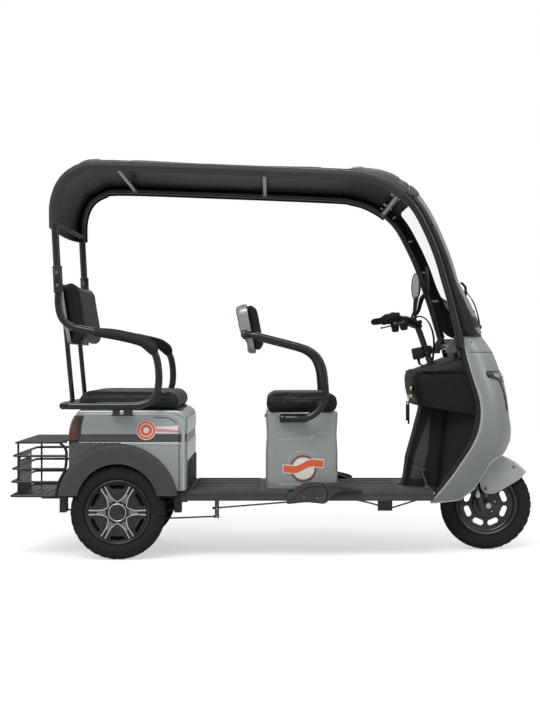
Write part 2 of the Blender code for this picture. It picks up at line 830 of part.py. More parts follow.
def build_rear_fender(side_name, side):
    """An arched fender with a lipped wheel opening."""
    well = BODY_WIDTH / 2 - WELL_DEPTH + GAP
    outer = well + FENDER_WIDTH
    radius, wall = FENDER_RADIUS, FENDER_WALL
    section = (
        (radius, well),
        (radius, outer - 0.018),
        (radius - 0.005, outer - 0.006),
        (radius - 0.018, outer),
        (FENDER_ARCH_RADIUS + 0.010, outer + 0.002),
        (FENDER_ARCH_RADIUS, outer + 0.004),
        (FENDER_ARCH_RADIUS, outer - 0.002),
        (FENDER_ARCH_RADIUS + 0.010, outer - 0.003),
        (radius - 0.020, outer - wall),
        (radius - 0.009, outer - 0.009),
        (radius - wall, outer - 0.020),
        (radius - wall, well),
    )
    fender = turned(
        f"rear_fender_{side_name}",
        [(r, side * y) for r, y in section],
        (REAR_AXLE_X, 0, FENDER_CENTRE_Z),
        36,
    )
    below = box(f"fender_hem_{side}", (-1.2, -0.5, -0.2), (0, 0.5, FENDER_HEM))
    return keep(cut(fender, below), BLACK_PLASTIC)


def build_rear_kick_panel():
    """The black panel that closes the front of the rear body above the deck."""
    front = BODY_FRONT_X + GAP + 0.006
    panel = box(
        "rear_kick_panel", (BODY_FRONT_X + GAP, -0.296, DECK_TOP + GAP), (front, 0.296, 0.430), 0.002, 1
    )
    return keep(panel, BLACK_PLASTIC)


def build_rear_cushion():
    cushion = box(
        "rear_cushion",
        (BENCH_REAR_X, -BENCH_WIDTH / 2, BENCH_LOW),
        (BENCH_FRONT_X, BENCH_WIDTH / 2, BENCH_LOW + BENCH_THICK),
        0.018,
        3,
    )
    return keep(cushion, BLACK_VINYL)


# ---------------------------------------------------------------- bench hoop and backrest


def hoop_side(side):
    return [Vector((x, side * CANOPY_HALF_WIDTH, z)) for x, z in HOOP_PATH]


def leaned(plane, lean, fore, across, up):
    """A point given from a leaning plane: ahead of it, across and up along it."""
    x, z = plane
    return Vector(
        (
            x + fore * math.cos(lean) - up * math.sin(lean),
            across,
            z + fore * math.sin(lean) + up * math.cos(lean),
        )
    )


def leaning_box(name, plane, lean, low, high, round_by=0.0, segments=2):
    """A box between two corners that are given from a leaning plane."""
    item = box(name, low, high, round_by, segments)
    item.location = leaned(plane, lean, *((Vector(low) + Vector(high)) / 2))
    item.rotation_euler = (0, -lean, 0)
    return item


def build_armrest_hoop():
    """One long tube round the bench, with sleeves for the canopy posts and posts for the backrest."""
    right = hoop_side(-1)
    corner = CANOPY_HALF_WIDTH - HOOP_CORNER
    z = HOOP_PATH[-1][1]
    turn = [(HOOP_REAR_X + 0.017, 0.016 - CANOPY_HALF_WIDTH, z), (HOOP_REAR_X, -corner, z)]
    left = [(p.x, -p.y, p.z) for p in reversed(right)]
    route = list(right) + turn + [(x, -y, z) for x, y, z in reversed(turn)] + left
    hoop = tube("armrest_hoop", route, CANOPY_TUBE_RADIUS)
    post_fore = -POST_RADIUS - GAP
    shapes, bores = [], []
    for side in (-1, 1):
        foot = Vector(CANOPY_PATH[0]) * Vector((1, side, 1))
        rise = (Vector(CANOPY_PATH[1]) * Vector((1, side, 1)) - foot).normalized()
        top = foot + rise * SLEEVE_HEIGHT
        shapes.append(cylinder(f"sleeve_{side}", foot - rise * 0.024, top, SLEEVE_RADIUS))
        bores.append(cylinder(f"sleeve_bore_{side}", foot - rise * GAP, top + rise * 0.01, 0.0167))
        y = side * 0.187
        low = leaned(BACKREST_PLANE, BACKREST_LEAN, post_fore, y, -0.120)
        high = leaned(BACKREST_PLANE, BACKREST_LEAN, post_fore, y, 0.100)
        bend = (HOOP_REAR_X, y, low.z - 0.050)
        shapes.append(tube(f"back_post_{side}", [(HOOP_REAR_X, y, z), bend, low, high], POST_RADIUS))
        edges = span(side * (BODY_WIDTH / 2 + GAP), side * (CANOPY_HALF_WIDTH + 0.004))
        shapes.append(box(f"tab_{side}", (-0.735, edges[0], 0.634), (-0.634, edges[1], 0.643)))
        upright = span(side * (CANOPY_HALF_WIDTH - 0.005), side * (CANOPY_HALF_WIDTH + 0.004))
        shapes.append(box(f"tab_web_{side}", (-0.735, upright[0], 0.636), (-0.634, upright[1], 0.675)))
    join(hoop, *shapes)
    return keep(cut(hoop, *bores), GLOSS_TUBE)


def build_armrest_pad(side_name, side):
    """A soft pad moulded round the hoop's armrest."""
    outline = (
        (-0.785, 0.984),
        (-0.793, 1.010),
        (-0.780, 1.036),
        (-0.755, 1.037),
        (-0.620, 1.004),
        (-0.550, 0.984),
        (-0.514, 0.954),
        (-0.500, 0.918),
        (-0.548, 0.902),
        (-0.580, 0.925),
        (-0.630, 0.944),
        (-0.710, 0.963),
    )
    middle = side * CANOPY_HALF_WIDTH
    pad = slab(f"armrest_pad_{side_name}", outline, middle - 0.030, middle + 0.030)
    rounding = pad.modifiers.new("rounding", "BEVEL")
    rounding.width = 0.008
    rounding.segments = 1
    route = hoop_side(side)[3:10]
    cut(pad, tube(f"pad_channel_{side}", route, CANOPY_TUBE_RADIUS + 0.0008))
    return keep(pad, SOFT_BLACK)


def build_rear_backrest():
    """The passengers' backrest: a soft pad and the shell behind it, with the posts between them."""
    half = BACKREST_WIDTH / 2
    plane, lean = BACKREST_PLANE, BACKREST_LEAN
    pad = leaning_box(
        "rear_backrest_pad", plane, lean, (GAP, -half, -0.108), (BACKREST_THICK, half, 0.182), 0.022, 3
    )
    depth = 2 * POST_RADIUS + SHELL_WALL + 2 * GAP
    shell = leaning_box(
        "rear_backrest_shell", plane, lean, (-depth, 0.005 - half, -0.098), (0, half - 0.005, 0.170)
    )
    hollow = leaning_box(
        "rear_shell_hollow",
        plane,
        lean,
        (SHELL_WALL - depth, 0.009 - half, -0.130),
        (0.010, half - 0.009, 0.170 - SHELL_WALL),
    )
    return keep(pad, BLACK_VINYL), keep(cut(shell, hollow), GREY_BODY)


# ---------------------------------------------------------------- canopy


def canopy_route():
    """The canopy tube's middle line in fine steps: x, half width, z."""
    return smooth(CANOPY_PATH, 2)


def build_canopy_frame():
    """One tube over each side, with cross bars between them."""
    end = (DASH_BAR_X, DASH_BAR_Z)
    right = [(x, -y, z) for x, y, z in CANOPY_PATH[:-1]]
    low_turn = [(0.8155, -0.299, 0.962), (end[0], -0.285, end[1])]
    left = [(x, -y, z) for x, y, z in reversed(right)]
    loop = right + low_turn + [(x, -y, z) for x, y, z in reversed(low_turn)] + left
    frame = tube("canopy_frame", loop, CANOPY_TUBE_RADIUS)
    # cross bars: x, z, half length, radius
    bars = (
        (-0.968, 1.490, 0.388, 0.011),
        (-0.702, 1.7270, 0.388, 0.011),
        (-0.055, 1.7035, 0.388, 0.011),
        (0.535, 1.610, 0.384, 0.012),
    )
    crosses = [
        cylinder(f"roof_bar_{x}", (x, -reach, z), (x, reach, z), radius, 12) for x, z, reach, radius in bars
    ]
    return keep(join(frame, *crosses), GLOSS_TUBE)


def roof_frame_at(share):
    """Middle line point and outward direction at a share (0 to 1) of the canopy tube's length."""
    route = canopy_route()
    place = share * (len(route) - 1)
    index = min(int(place), len(route) - 2)
    here = route[index].lerp(route[index + 1], place - index)
    before = route[max(index - 1, 0)]
    after = route[min(index + 2, len(route) - 1)]
    along = after - before
    out = Vector((-along.z, 0, along.x)).normalized()
    return here, out


def station_share(station):
    return station / (len(CANOPY_PATH) - 1)


def build_canopy_cover():
    """The roof cover: crowned between the tubes and turned down over them."""
    edge = CANOPY_HALF_WIDTH + COVER_GAP
    half_row = [(0.130, 0), (0.250, 0), (0.330, 0), (CANOPY_HALF_WIDTH, 0)]
    half_row += [(edge, 0.004), (edge + 0.001, COVER_HEM)]
    row = [(-y, drop) for y, drop in reversed(half_row)] + [(0, 0)] + half_row
    first, last = station_share(COVER_FIRST), station_share(COVER_LAST)
    steps = 2 * (COVER_LAST - COVER_FIRST)

    def place(column, share):
        across, drop = column
        here, out = roof_frame_at(share)
        crown = COVER_CROWN * max(0.0, 1 - (abs(across) / CANOPY_HALF_WIDTH) ** 4)
        narrowing = here.y / CANOPY_HALF_WIDTH if drop == 0 else (here.y + COVER_GAP) / edge
        point = Vector((here.x, across * narrowing, here.z))
        return point + out * (COVER_GAP + crown - drop)

    shares = [first + (last - first) * step / steps for step in range(steps + 1)]
    return keep(sheet("canopy_cover", row, shares, place, COVER_SHEET), SOFT_BLACK)


def screen_point(across, share):
    """A point on the windscreen's middle surface: across from -1 to 1, share of the canopy tube's length."""
    here, out = roof_frame_at(share)
    first, last = station_share(SCREEN_FIRST), station_share(SCREEN_LAST)
    way = min(1.0, max(0.0, (share - first) / (last - first)))
    level = out.lerp(Vector((1, 0, 0)), min(1.0, way * 1.6)).normalized()
    bulge = COVER_CROWN + (SCREEN_BULGE - COVER_CROWN) * min(1.0, way * 3.5) + 0.030 * way**2
    power = 1.0 - 0.45 * way
    shape = (1 - abs(across) ** 2.2) ** power
    return Vector((here.x, across * here.y, here.z)) + level * (SCREEN_GAP + bulge * shape)


def build_windscreen():
    """One curved surface in two pieces: a black border and the clear pane that fills it."""
    half_sides = [0.18, 0.37, 0.56, 0.74, 0.875, 0.955, 1.0]
    sides = [-y for y in reversed(half_sides)] + [0.0] + half_sides
    first = station_share(SCREEN_FIRST) + 0.010
    last = station_share(SCREEN_LAST) - 0.0123
    rows = 14
    shares = [first + (last - first) * step / rows for step in range(rows + 1)]

    def in_border(column, row):
        return not (2 <= column < len(sides) - 3 and 1 <= row < rows - 1)

    border = sheet("windscreen_frame", sides, shares, screen_point, SCREEN_BORDER_SHEET, in_border)
    inset = 0.0022
    pane_sides = sides[2:-2]
    pane_sides[0] += inset
    pane_sides[-1] -= inset
    pane_shares = shares[1:-1]
    pane_shares[0] += inset / 4
    pane_shares[-1] -= inset / 4
    pane = sheet("windscreen", pane_sides, pane_shares, screen_point, SCREEN_SHEET)
    return keep(border, BLACK_PLASTIC), keep(pane, CLEAR_GLASS)


def build_wiper():
    """A pivot nut, an arm and a blade in front of the windscreen."""
    low = 0.973

    def ahead(share, across, out):
        point = screen_point(across, share)
        near = screen_point(across, share - 0.01)
        direction = (near - point).normalized()
        return point + Vector((direction.z, 0, -direction.x)) * out

    nut = cylinder("wiper", ahead(low, 0, SCREEN_BORDER_SHEET / 2 + GAP), ahead(low, 0, 0.026), 0.015, 16)
    arm_path = [ahead(low, 0, 0.018), ahead(0.940, -0.03, 0.028), ahead(0.903, -0.12, 0.018)]
    arm = tube("wiper_arm", arm_path, 0.004)
    blade_path = [ahead(0.880, -0.74, 0.016), ahead(0.893, -0.42, 0.018), ahead(0.903, -0.12, 0.018)]
    blade_path.append(ahead(0.912, 0.02, 0.020))
    blade = tube("wiper_blade", blade_path, 0.005)
    return keep(join(nut, arm, blade), BLACK_PLASTIC)


# ---------------------------------------------------------------- front cowl and leg shield


def cowl_section(z):
    """Half width, x of the rear edge and x of the nose at a height."""
    return [table_value(COWL_STATIONS, z, column) for column in (1, 2, 3)]


def cowl_point(across, z):
    half, edge, nose = cowl_section(z)
    return Vector((edge + (nose - edge) * (1 - abs(across) ** 2.4) ** 0.5, across * half, z))


def build_front_cowl():
    """The nose: a wrapped sheet, open at the rear and cut away over the wheel."""
    turns = [math.radians(-90 + 10 * step) for step in range(19)]
    heights = [row[0] for row in COWL_STATIONS]
    cowl = sheet("front_cowl", [math.sin(turn) for turn in turns], heights, cowl_point, 0.004)
    wheel_zone = slab(
        "wheel_zone",
        (
            (0.700, 0.100),
            (0.735, 0.238),
            (0.827, 0.247),
            (0.893, 0.296),
            (0.920, 0.337),
            (0.945, 0.385),
            (0.975, 0.425),
            (1.030, 0.452),
            (1.200, 0.475),
            (1.200, 0.100),
        ),
        -0.4,
        0.4,
    )
    window = box("lamp_window", (0.900, -0.1700, 0.780), (1.200, 0.1700, 0.834))
    return keep(cut(cowl, wheel_zone, window), GREY_BODY)


def build_headlamp():
    """A wide slit lamp that fills the window in the nose."""
    turns = [math.radians(-60 + 10 * step) for step in range(13)]
    heights = [0.760, 0.790, 0.820, 0.850]
    lamp = sheet("headlamp", [math.sin(turn) for turn in turns], heights, cowl_point, 0.016)
    bounds = box("lamp_bounds", (0.900, -0.1695, 0.7805), (1.200, 0.1695, 0.8335))
    return keep(combine(lamp, [bounds], "INTERSECT"), LAMP_CLEAR)


# The leg shield's spine at each height: z, x of its middle
SPINE_STATIONS = (
    (0.3018, 0.574),
    (0.360, 0.577),
    (0.435, 0.583),
    (0.524, 0.604),
    (0.600, 0.622),
    (0.652, 0.634),
)
# The console above it: z, x of its rear face
CONSOLE_STATIONS = (
    (0.686, 0.634),
    (0.720, 0.622),
    (0.760, 0.615),
    (0.800, 0.613),
    (0.822, 0.620),
)


def shield_edge(z):
    """The flange that lies inside the cowl's rear edge."""
    half, edge, _ = cowl_section(z)
    return half - 0.0058, edge + 0.008


def leg_shield_rows():
    """Rows of the leg shield from the floor up and over the console: half of each, as x, y, z."""
    rows = []
    for z, x in SPINE_STATIONS:
        half, edge, _ = cowl_section(z)
        side = shield_edge(z)
        recess = 0.745 + 0.35 * max(0.0, z - 0.36) * 0.4
        rows.append(
            (
                (x, 0.0, z),
                (x + 0.003, 0.060, z),
                (x + 0.024, 0.084, z),
                (x + 0.066, 0.102, z),
                (min(recess, edge - 0.010), 0.182, z),
                (edge - 0.004, half - 0.018, z),
                (side[1], side[0], z),
            )
        )
    for z, x in CONSOLE_STATIONS:
        side = shield_edge(z)
        rows.append(
            (
                (x, 0.0, z),
                (x + 0.001, 0.090, z),
                (x + 0.004, 0.150, z),
                (x + 0.012, 0.196, z),
                (x + 0.034, 0.226, z),
                (x + 0.090, 0.244, z),
                (side[1], side[0], z),
            )
        )
    # over the top: x and z of the top, x and z of the side below it, z of the edge
    for x, z, side_x, side_z, edge_z in (
        (0.634, 0.831, 0.715, 0.826, 0.836),
        (0.715, 0.863, 0.770, 0.852, 0.864),
        (0.792, 0.893, 0.822, 0.882, 0.894),
    ):
        side = shield_edge(edge_z)
        rows.append(
            (
                (x, 0.0, z),
                (x + 0.001, 0.090, z),
                (x + 0.003, 0.150, z),
                (x + 0.008, 0.196, z),
                (x + 0.020, 0.224, z - 0.003),
                (side_x, 0.244, side_z),
                (side[1], side[0], edge_z),
            )
        )
    return rows


def build_leg_shield():
    """The console and leg shield behind the nose, open towards it."""
    rows = leg_shield_rows()
    last = len(rows[0]) - 1

    def place(column, row):
        x, y, z = rows[row][abs(column)]
        return Vector((x, math.copysign(y, column), z))

    shield = sheet("leg_shield", list(range(-last, last + 1)), list(range(len(rows))), place, 0.004)
    passage = cylinder("steering_passage", steer_point(0.60), steer_point(0.86), 0.030)
    return keep(cut(shield, passage), BLACK_PLASTIC)


# ---------------------------------------------------------------- driver's seat


def build_driver_box():
    """A hollow box with a flanged mouth under the driver's seat."""
    half = SEAT_BOX_WIDTH / 2
    low = DECK_TOP + GAP
    wall = BODY_WALL
    corners = (SEAT_BOX_REAR_X, -half, low), (SEAT_BOX_FRONT_X, half, SEAT_BOX_TOP)
    seat_box = box("driver_box", *corners, 0.016, 3, True)
    hollow = box(
        "seat_box_hollow",
        (SEAT_BOX_REAR_X + wall, wall - half, low + wall),
        (SEAT_BOX_FRONT_X - wall, half - wall, SEAT_BOX_TOP - wall),
        0.012,
        3,
        True,
    )
    mouth = box(
        "seat_box_mouth",
        (SEAT_BOX_REAR_X + 0.022, 0.022 - half, SEAT_BOX_TOP - 0.02),
        (SEAT_BOX_FRONT_X - 0.022, half - 0.022, SEAT_BOX_TOP + 0.02),
    )
    return keep(cut(seat_box, hollow, mouth), GREY_BODY)


def build_battery_box():
    low = DECK_TOP + 0.004 + 2 * GAP
    battery = box("battery_box", (0.000, -0.150, low), (0.225, 0.150, low + 0.190), 0.006, 1)
    return keep(battery, BLACK_PLASTIC)


def build_driver_cushion():
    cushion = box(
        "driver_cushion",
        (SEAT_BOX_REAR_X - SEAT_OVERHANG, -SEAT_WIDTH / 2, SEAT_LOW),
        (SEAT_BOX_FRONT_X + SEAT_OVERHANG, SEAT_WIDTH / 2, SEAT_LOW + SEAT_THICK),
        0.020,
        3,
    )
    return keep(cushion, BLACK_VINYL)


def build_driver_arm_frame():
    """The tube that rises from the seat box, forms both armrests and crosses behind the backrest."""
    right = [(x, -y, z) for x, y, z in ARM_PATH]
    bar = leaned(SEAT_BACK_PLANE, SEAT_BACK_LEAN, -ARM_TUBE_RADIUS - GAP, 0, 0)
    corner = [(bar.x, -0.215, bar.z)]
    left = [(x, -y, z) for x, y, z in reversed(right)]
    frame = tube("driver_arm_frame", right + corner + [(bar.x, 0.215, bar.z)] + left, ARM_TUBE_RADIUS)
    plates = []
    for side in (-1, 1):
        wall = SEAT_BOX_WIDTH / 2 + GAP
        across = span(side * wall, side * (wall + 0.010))
        low, high = (0.016, across[0], 0.5985), (0.134, across[1], 0.640)
        plates.append(box(f"arm_plate_{side}", low, high, 0.004, 2))
    return keep(join(frame, *plates), GLOSS_TUBE)


def build_driver_backrest():
    """The driver's backrest: a pad, and a shell clamped over the arm frame's cross bar."""
    half = SEAT_BACK_WIDTH / 2
    plane, lean = SEAT_BACK_PLANE, SEAT_BACK_LEAN
    pad = leaning_box(
        "driver_backrest_pad", plane, lean, (GAP, -half, -0.087), (SEAT_BACK_THICK, half, 0.137), 0.018, 3
    )
    depth = 2 * ARM_TUBE_RADIUS + SHELL_WALL + 0.003
    wall = SHELL_WALL
    low, high = (-depth, 0.004 - half, -0.080), (0, half - 0.004, 0.128)
    shell = leaning_box("driver_backrest_shell", plane, lean, low, high, 0.006, 2)
    hollow = leaning_box(
        "driver_shell_hollow",
        plane,
        lean,
        (wall - depth, 0.004 + wall - half, wall - 0.080),
        (0.020, half - 0.004 - wall, 0.128 - wall),
    )
    bar = leaned(plane, lean, -ARM_TUBE_RADIUS - GAP, 0, 0)
    bore = cylinder("bar_bore", (bar.x, -0.4, bar.z), (bar.x, 0.4, bar.z), ARM_TUBE_RADIUS + 0.0006)
    slot = leaning_box("bar_slot", plane, lean, (-0.017, -0.4, -0.0165), (0.020, 0.4, 0.0165))
    return keep(pad, BLACK_VINYL), keep(cut(shell, hollow, bore, slot), GREY_BODY)


# ---------------------------------------------------------------- basket


def basket_hoop(name, z, front_x, rear_x, radius=BASKET_ROD_RADIUS):
    """A rod that runs back along one side, across the rear and forward again."""
    half = BASKET_WIDTH / 2
    right = [(front_x, -half, z), (rear_x + 0.030, -half, z), (rear_x + 0.008, 0.010 - half, z)]
    right.append((rear_x, 0.032 - half, z))
    return tube(name, right + [(x, -y, at) for x, y, at in reversed(right)], radius, 6)


def build_basket():
    """The rear rack: a tray on the chassis stubs, three rods round it and a lid on posts."""
    half = BASKET_WIDTH / 2
    low, high = (-1.178, 0.006 - half, BASKET_LOW + GAP), (-0.990, half - 0.006, BASKET_LOW + 0.005)
    tray = box("basket", low, high)
    shapes = [box("basket_lid", (-1.168, -half, BASKET_HIGH - 0.008), (-0.955, half, BASKET_HIGH), 0.003, 1)]
    # rods: z, x of the front ends, x of the rear run
    rods = (
        (BASKET_LOW + 0.006, -0.984, -1.1825),
        (0.339, -0.968, -1.178),
        (0.397, -0.941, -1.174),
        (0.4548, BASKET_FRONT_X, -1.170),
    )
    for z, front_x, rear_x in rods:
        shapes.append(basket_hoop(f"basket_rod_{z}", z, front_x, rear_x))
    for side in (-1, 1):
        y = side * half
        shapes.append(
            tube(
                f"basket_front_post_{side}",
                [
                    (-0.984, y, BASKET_LOW + 0.004),
                    (-0.968, y, 0.339),
                    (-0.945, y, 0.385),
                    (BASKET_FRONT_X, y, 0.420),
                    (BASKET_FRONT_X, y, 0.480),
                    (-0.962, y, BASKET_HIGH - 0.004),
                ],
                0.006,
                6,
            )
        )
        inner_y = y - side * 0.002
        rear_post = [(-1.150, inner_y, BASKET_LOW + 0.004), (-1.150, inner_y, BASKET_HIGH - 0.004)]
        shapes.append(tube(f"basket_rear_post_{side}", rear_post, 0.005, 6))
    shapes.append(box("basket_rear_plate", (-1.1800, -0.140, BASKET_LOW + 0.002), (-1.1680, 0.140, 0.4600)))
    return keep(join(tray, *shapes), BLACK_PAINT)


# ---------------------------------------------------------------- steering


def build_fork():
    """Two legs with axle lugs, a crown and the steerer."""
    y = FORK_HALF_WIDTH
    legs, lugs = [], []
    for side in (-1, 1):
        legs.append(
            cylinder(
                f"fork_leg_{side}", steer_point(-0.020, side * y), steer_point(CROWN_HIGH - 0.002, side * y),
                FORK_LEG_RADIUS,
            )
        )
        lug = cylinder(
            f"fork_lug_{side}",
            (FRONT_AXLE_X, side * (y - 0.011), AXLE_Z),
            (FRONT_AXLE_X, side * (y + 0.011), AXLE_Z),
            0.016,
            16,
        )
        tie = box(f"lug_tie_{side}", (-0.018, -0.009, -0.013), (0.018, 0.009, 0.013))
        tie.location = steer_point(0.0, side * y, FORK_OFFSET / 2)
        tie.rotation_euler = (0, -RAKE, 0)
        lugs.extend((lug, tie))
    half_crown = (CROWN_HIGH - CROWN_LOW) / 2
    crown = box("fork", (-0.021, -0.094, -half_crown), (0.021, 0.094, half_crown), 0.005, 2)
    crown.location = steer_point((CROWN_HIGH + CROWN_LOW) / 2)
    crown.rotation_euler = (0, -RAKE, 0)
    steerer = cylinder("steerer", steer_point(CROWN_LOW + 0.004), steer_point(STEERER_TOP), STEERER_RADIUS)
    race = cylinder("race", steer_point(CROWN_HIGH - 0.004), steer_point(HEAD_LOW - GAP), HEAD_TUBE_RADIUS)
    ends = [(FRONT_AXLE_X, side * FRONT_AXLE_HALF, AXLE_Z) for side in (-1, 1)]
    axle = cylinder("front_axle", *ends, FRONT_AXLE_RADIUS)
    return keep(join(crown, *legs, *lugs, steerer, race, axle), CAST_METAL)


def build_front_fender():
    """A narrow fender over the front wheel, deep at its front end."""
    radius, half, wall = FENDER_FRONT_RADIUS, FENDER_FRONT_WIDTH / 2, 0.0035
    centre = Vector((FRONT_AXLE_X, 0, AXLE_Z))
    across = Vector((0, half, 0))
    fender = cylinder("front_fender", centre - across, centre + across, radius, 36)
    rounding = fender.modifiers.new("rounding", "BEVEL")
    rounding.width = 0.010
    rounding.segments = 2
    inner = across - Vector((0, wall, 0))
    hollow = cylinder("fender_hollow", centre - inner, centre + inner, radius - wall, 36)
    cut(fender, hollow)
    extent = (
        (1.200, 0.386),
        (1.148, 0.357),
        (1.132, 0.336),
        (1.081, 0.303),
        (1.034, 0.276),
        (0.992, 0.262),
        (0.962, 0.268),
        (0.944, 0.300),
        (0.930, 0.372),
        (0.880, 0.398),
        (0.820, 0.378),
        (0.782, 0.338),
        (0.720, 0.318),
        (0.700, 0.480),
        (1.200, 0.480),
    )
    return keep(combine(fender, [slab("fender_extent", extent, -0.2, 0.2)], "INTERSECT"), GREY_BODY)


def build_handlebar():
    """Stem, swept bars, grips, switch housings, levers and the small junction box."""
    half = [
        (0.655, 0.000, 1.046),
        (0.650, 0.040, 1.048),
        (0.612, 0.100, 1.064),
        (0.560, 0.162, 1.074),
        (0.524, 0.224, 1.074),
        (0.468, BAR_HALF_SPAN, 1.069),
    ]
    route = [(x, -y, z) for x, y, z in reversed(half)] + half[1:]
    bar = tube("handlebar", route, 0.011)
    stem_path = [steer_point(STEERER_TOP + GAP), steer_point(0.820), (0.656, 0, 1.046)]
    shapes = [
        tube("stem", stem_path, STEM_RADIUS, 10),
        box("stem_clamp", (0.700, -0.016, 0.908), (0.727, 0.016, 0.950), 0.004, 1),
        box("junction_box", (0.625, -0.034, 0.884), (0.692, 0.034, 0.936), 0.004, 1),
        box("bar_clamp", (0.632, -0.040, 1.030), (0.680, 0.040, 1.066), 0.006, 1),
    ]
    for side in (-1, 1):
        inner = Vector((0.524, side * 0.224, 1.074))
        outer = Vector((0.468, side * BAR_HALF_SPAN, 1.069))
        along = (outer - inner).normalized()
        shapes.append(tube(f"grip_{side}", [inner, outer + along * 0.004], 0.0165, 10))
        flange = (inner - along * 0.004, inner + along * 0.006)
        shapes.append(cylinder(f"grip_flange_{side}", *flange, 0.023, 16))
        shapes.append(cylinder(f"switches_{side}", inner - along * 0.052, inner - along * 0.002, 0.021, 12))
        low, high = (0.577, side * 0.188, 1.016), (0.572, side * 0.188, 1.062)
        shapes.append(cylinder(f"lever_housing_{side}", low, high, 0.021, 12))
        lever = [
            Vector((0.560, side * 0.182, 1.062)),
            Vector((0.574, side * 0.205, 1.056)),
            Vector((0.550, side * 0.262, 1.046)),
            Vector((0.520, side * 0.322, 1.040)),
        ]
        shapes.append(tube(f"lever_{side}", lever, 0.0055, 6))
        foot = mirror_foot(side)
        boss = (foot - Vector((0, 0, 0.020)), foot - Vector((0, 0, GAP)))
        shapes.append(cylinder(f"mirror_boss_{side}", *boss, 0.009, 12))
    return keep(join(bar, *shapes), BLACK_PLASTIC)


def mirror_foot(side):
    return Vector((0.640, side * 0.070, 1.0700))


def build_mirror(side_name, side):
    """A round mirror on a bent stem that is clamped to the bar."""
    centre = Vector((MIRROR_X, side * MIRROR_Y, MIRROR_Z))
    face = Vector((-math.cos(math.radians(10)), -side * math.sin(math.radians(10)), 0))
    disc = cylinder(f"mirror_{side_name}", centre + face * 0.006, centre - face * 0.010, 0.066, 20)
    rounding = disc.modifiers.new("rounding", "BEVEL")
    rounding.width = 0.004
    rounding.segments = 2
    foot = mirror_foot(side)
    stem = tube(
        f"mirror_stem_{side}",
        [foot, foot + Vector((0, 0, 0.012)), (0.652, side * 0.082, 1.115), (0.662, side * 0.120, 1.165),
         centre - face * 0.004 - Vector((0, 0, 0.040))],
        MIRROR_STEM_RADIUS,
        6,
    )
    return keep(join(disc, stem), BLACK_PLASTIC)


# ---------------------------------------------------------------- pedal and linkage


def build_brake_pedal():
    """A pedal plate on an arm that stands on the floor in the right-hand footwell."""
    y = PEDAL_Y
    foot = box("brake_pedal", (0.664, y - 0.016, DECK_TOP + GAP), (0.694, y + 0.016, DECK_TOP + 0.012))
    arm = tube("pedal_arm", [(0.681, y, DECK_TOP + 0.008), (0.672, y, 0.335), (0.650, y, 0.392)], 0.0055)
    low, high = (-0.028, -0.026, -0.003), (0.028, 0.026, 0.004)
    plate = leaning_box("pedal_plate", (0.650, 0.394), math.radians(-14), low, high)
    plate.location.y = y
    return keep(join(foot, arm, plate), CAST_METAL)


def build_brake_linkage():
    """Rods and levers under the floor that run from the front pivot to the rear axle."""
    y = LINKAGE_Y
    linkage = tube(
        "brake_linkage",
        [(0.640, y, 0.240), (0.511, y, 0.206), (0.314, y, 0.248), (-0.273, y, 0.205)],
        LINKAGE_ROD_RADIUS,
        6,
    )
    pin = cylinder("linkage_pin", (0.505, y - 0.0097, 0.206), (0.505, y + 0.010, 0.206), 0.010, 12)
    lever = box("linkage_lever", (-0.283, y - 0.004, 0.158), (-0.263, y + 0.004, RAIL_LOW + 0.006 - GAP))
    rear_path = [(-0.273, y, 0.166), (-0.500, y, 0.158), (REAR_AXLE_X + 0.0163, y, 0.160)]
    rear_rod = tube("linkage_rear_rod", rear_path, LINKAGE_ROD_RADIUS, 6)
    return keep(join(linkage, pin, lever, rear_rod), CAST_METAL)


# ---------------------------------------------------------------- the whole vehicle

clear_scene()
VEHICLE = new_collection("electric_three_wheeler")
TOOLS = new_collection("shaping_tools")

BLACK_STEEL = finish("black_steel", (0.020, 0.020, 0.022), 0.45)
GLOSS_TUBE = finish("gloss_tube", (0.010, 0.010, 0.011), 0.22)
CAST_METAL = finish("cast_metal", (0.060, 0.062, 0.065), 0.50, 0.6)
BLACK_PAINT = finish("black_paint", (0.012, 0.012, 0.013), 0.35)
BLACK_PLASTIC = finish("black_plastic", (0.046, 0.046, 0.047), 0.55)
SOFT_BLACK = finish("soft_black", (0.030, 0.030, 0.032), 0.80)
BLACK_VINYL = finish("black_vinyl", (0.018, 0.018, 0.020), 0.60)
TYRE_RUBBER = finish("tyre_rubber", (0.026, 0.026, 0.026), 0.85)
GREY_BODY = finish("grey_body", (0.262, 0.292, 0.287), 0.28)
CLEAR_GLASS = finish("clear_glass", (0.850, 0.870, 0.870), 0.05, 0.0, 0.25)
LAMP_RED = finish("lamp_red", (0.450, 0.060, 0.030), 0.20)
LAMP_CLEAR = finish("lamp_clear", (0.700, 0.720, 0.740), 0.10)

build_frame()
build_floor_deck()
both_sides(build_side_step)
build_rear_axle()
build_rear_body()
build_rear_kick_panel()
both_sides(build_rear_fender)
both_sides(build_tail_lamp)
rear_cushion = build_rear_cushion()
build_rear_backrest()
build_armrest_hoop()
both_sides(build_armrest_pad)
build_canopy_frame()
build_canopy_cover()
build_windscreen()
build_wiper()
build_front_cowl()
build_headlamp()
build_leg_shield()
build_driver_box()
build_battery_box()
driver_cushion = build_driver_cushion()
build_driver_arm_frame()
build_driver_backrest()
build_basket()
build_brake_pedal()
build_brake_linkage()

fork = build_fork()
front_fender = build_front_fender()
handlebar = build_handlebar()
mirrors = both_sides(build_mirror)
front_tyre = build_tyre("front_tyre", (FRONT_AXLE_X, 0, AXLE_Z))
front_rim = build_front_rim()

steering = pivot("steering", STEER_FOOT)
steering.rotation_euler = (0, -RAKE, 0)
front_wheel = pivot("front_wheel", (FRONT_AXLE_X, 0, AXLE_Z))
carry(front_wheel, front_tyre, front_rim)
carry(steering, fork, front_fender, handlebar, *mirrors, front_wheel)

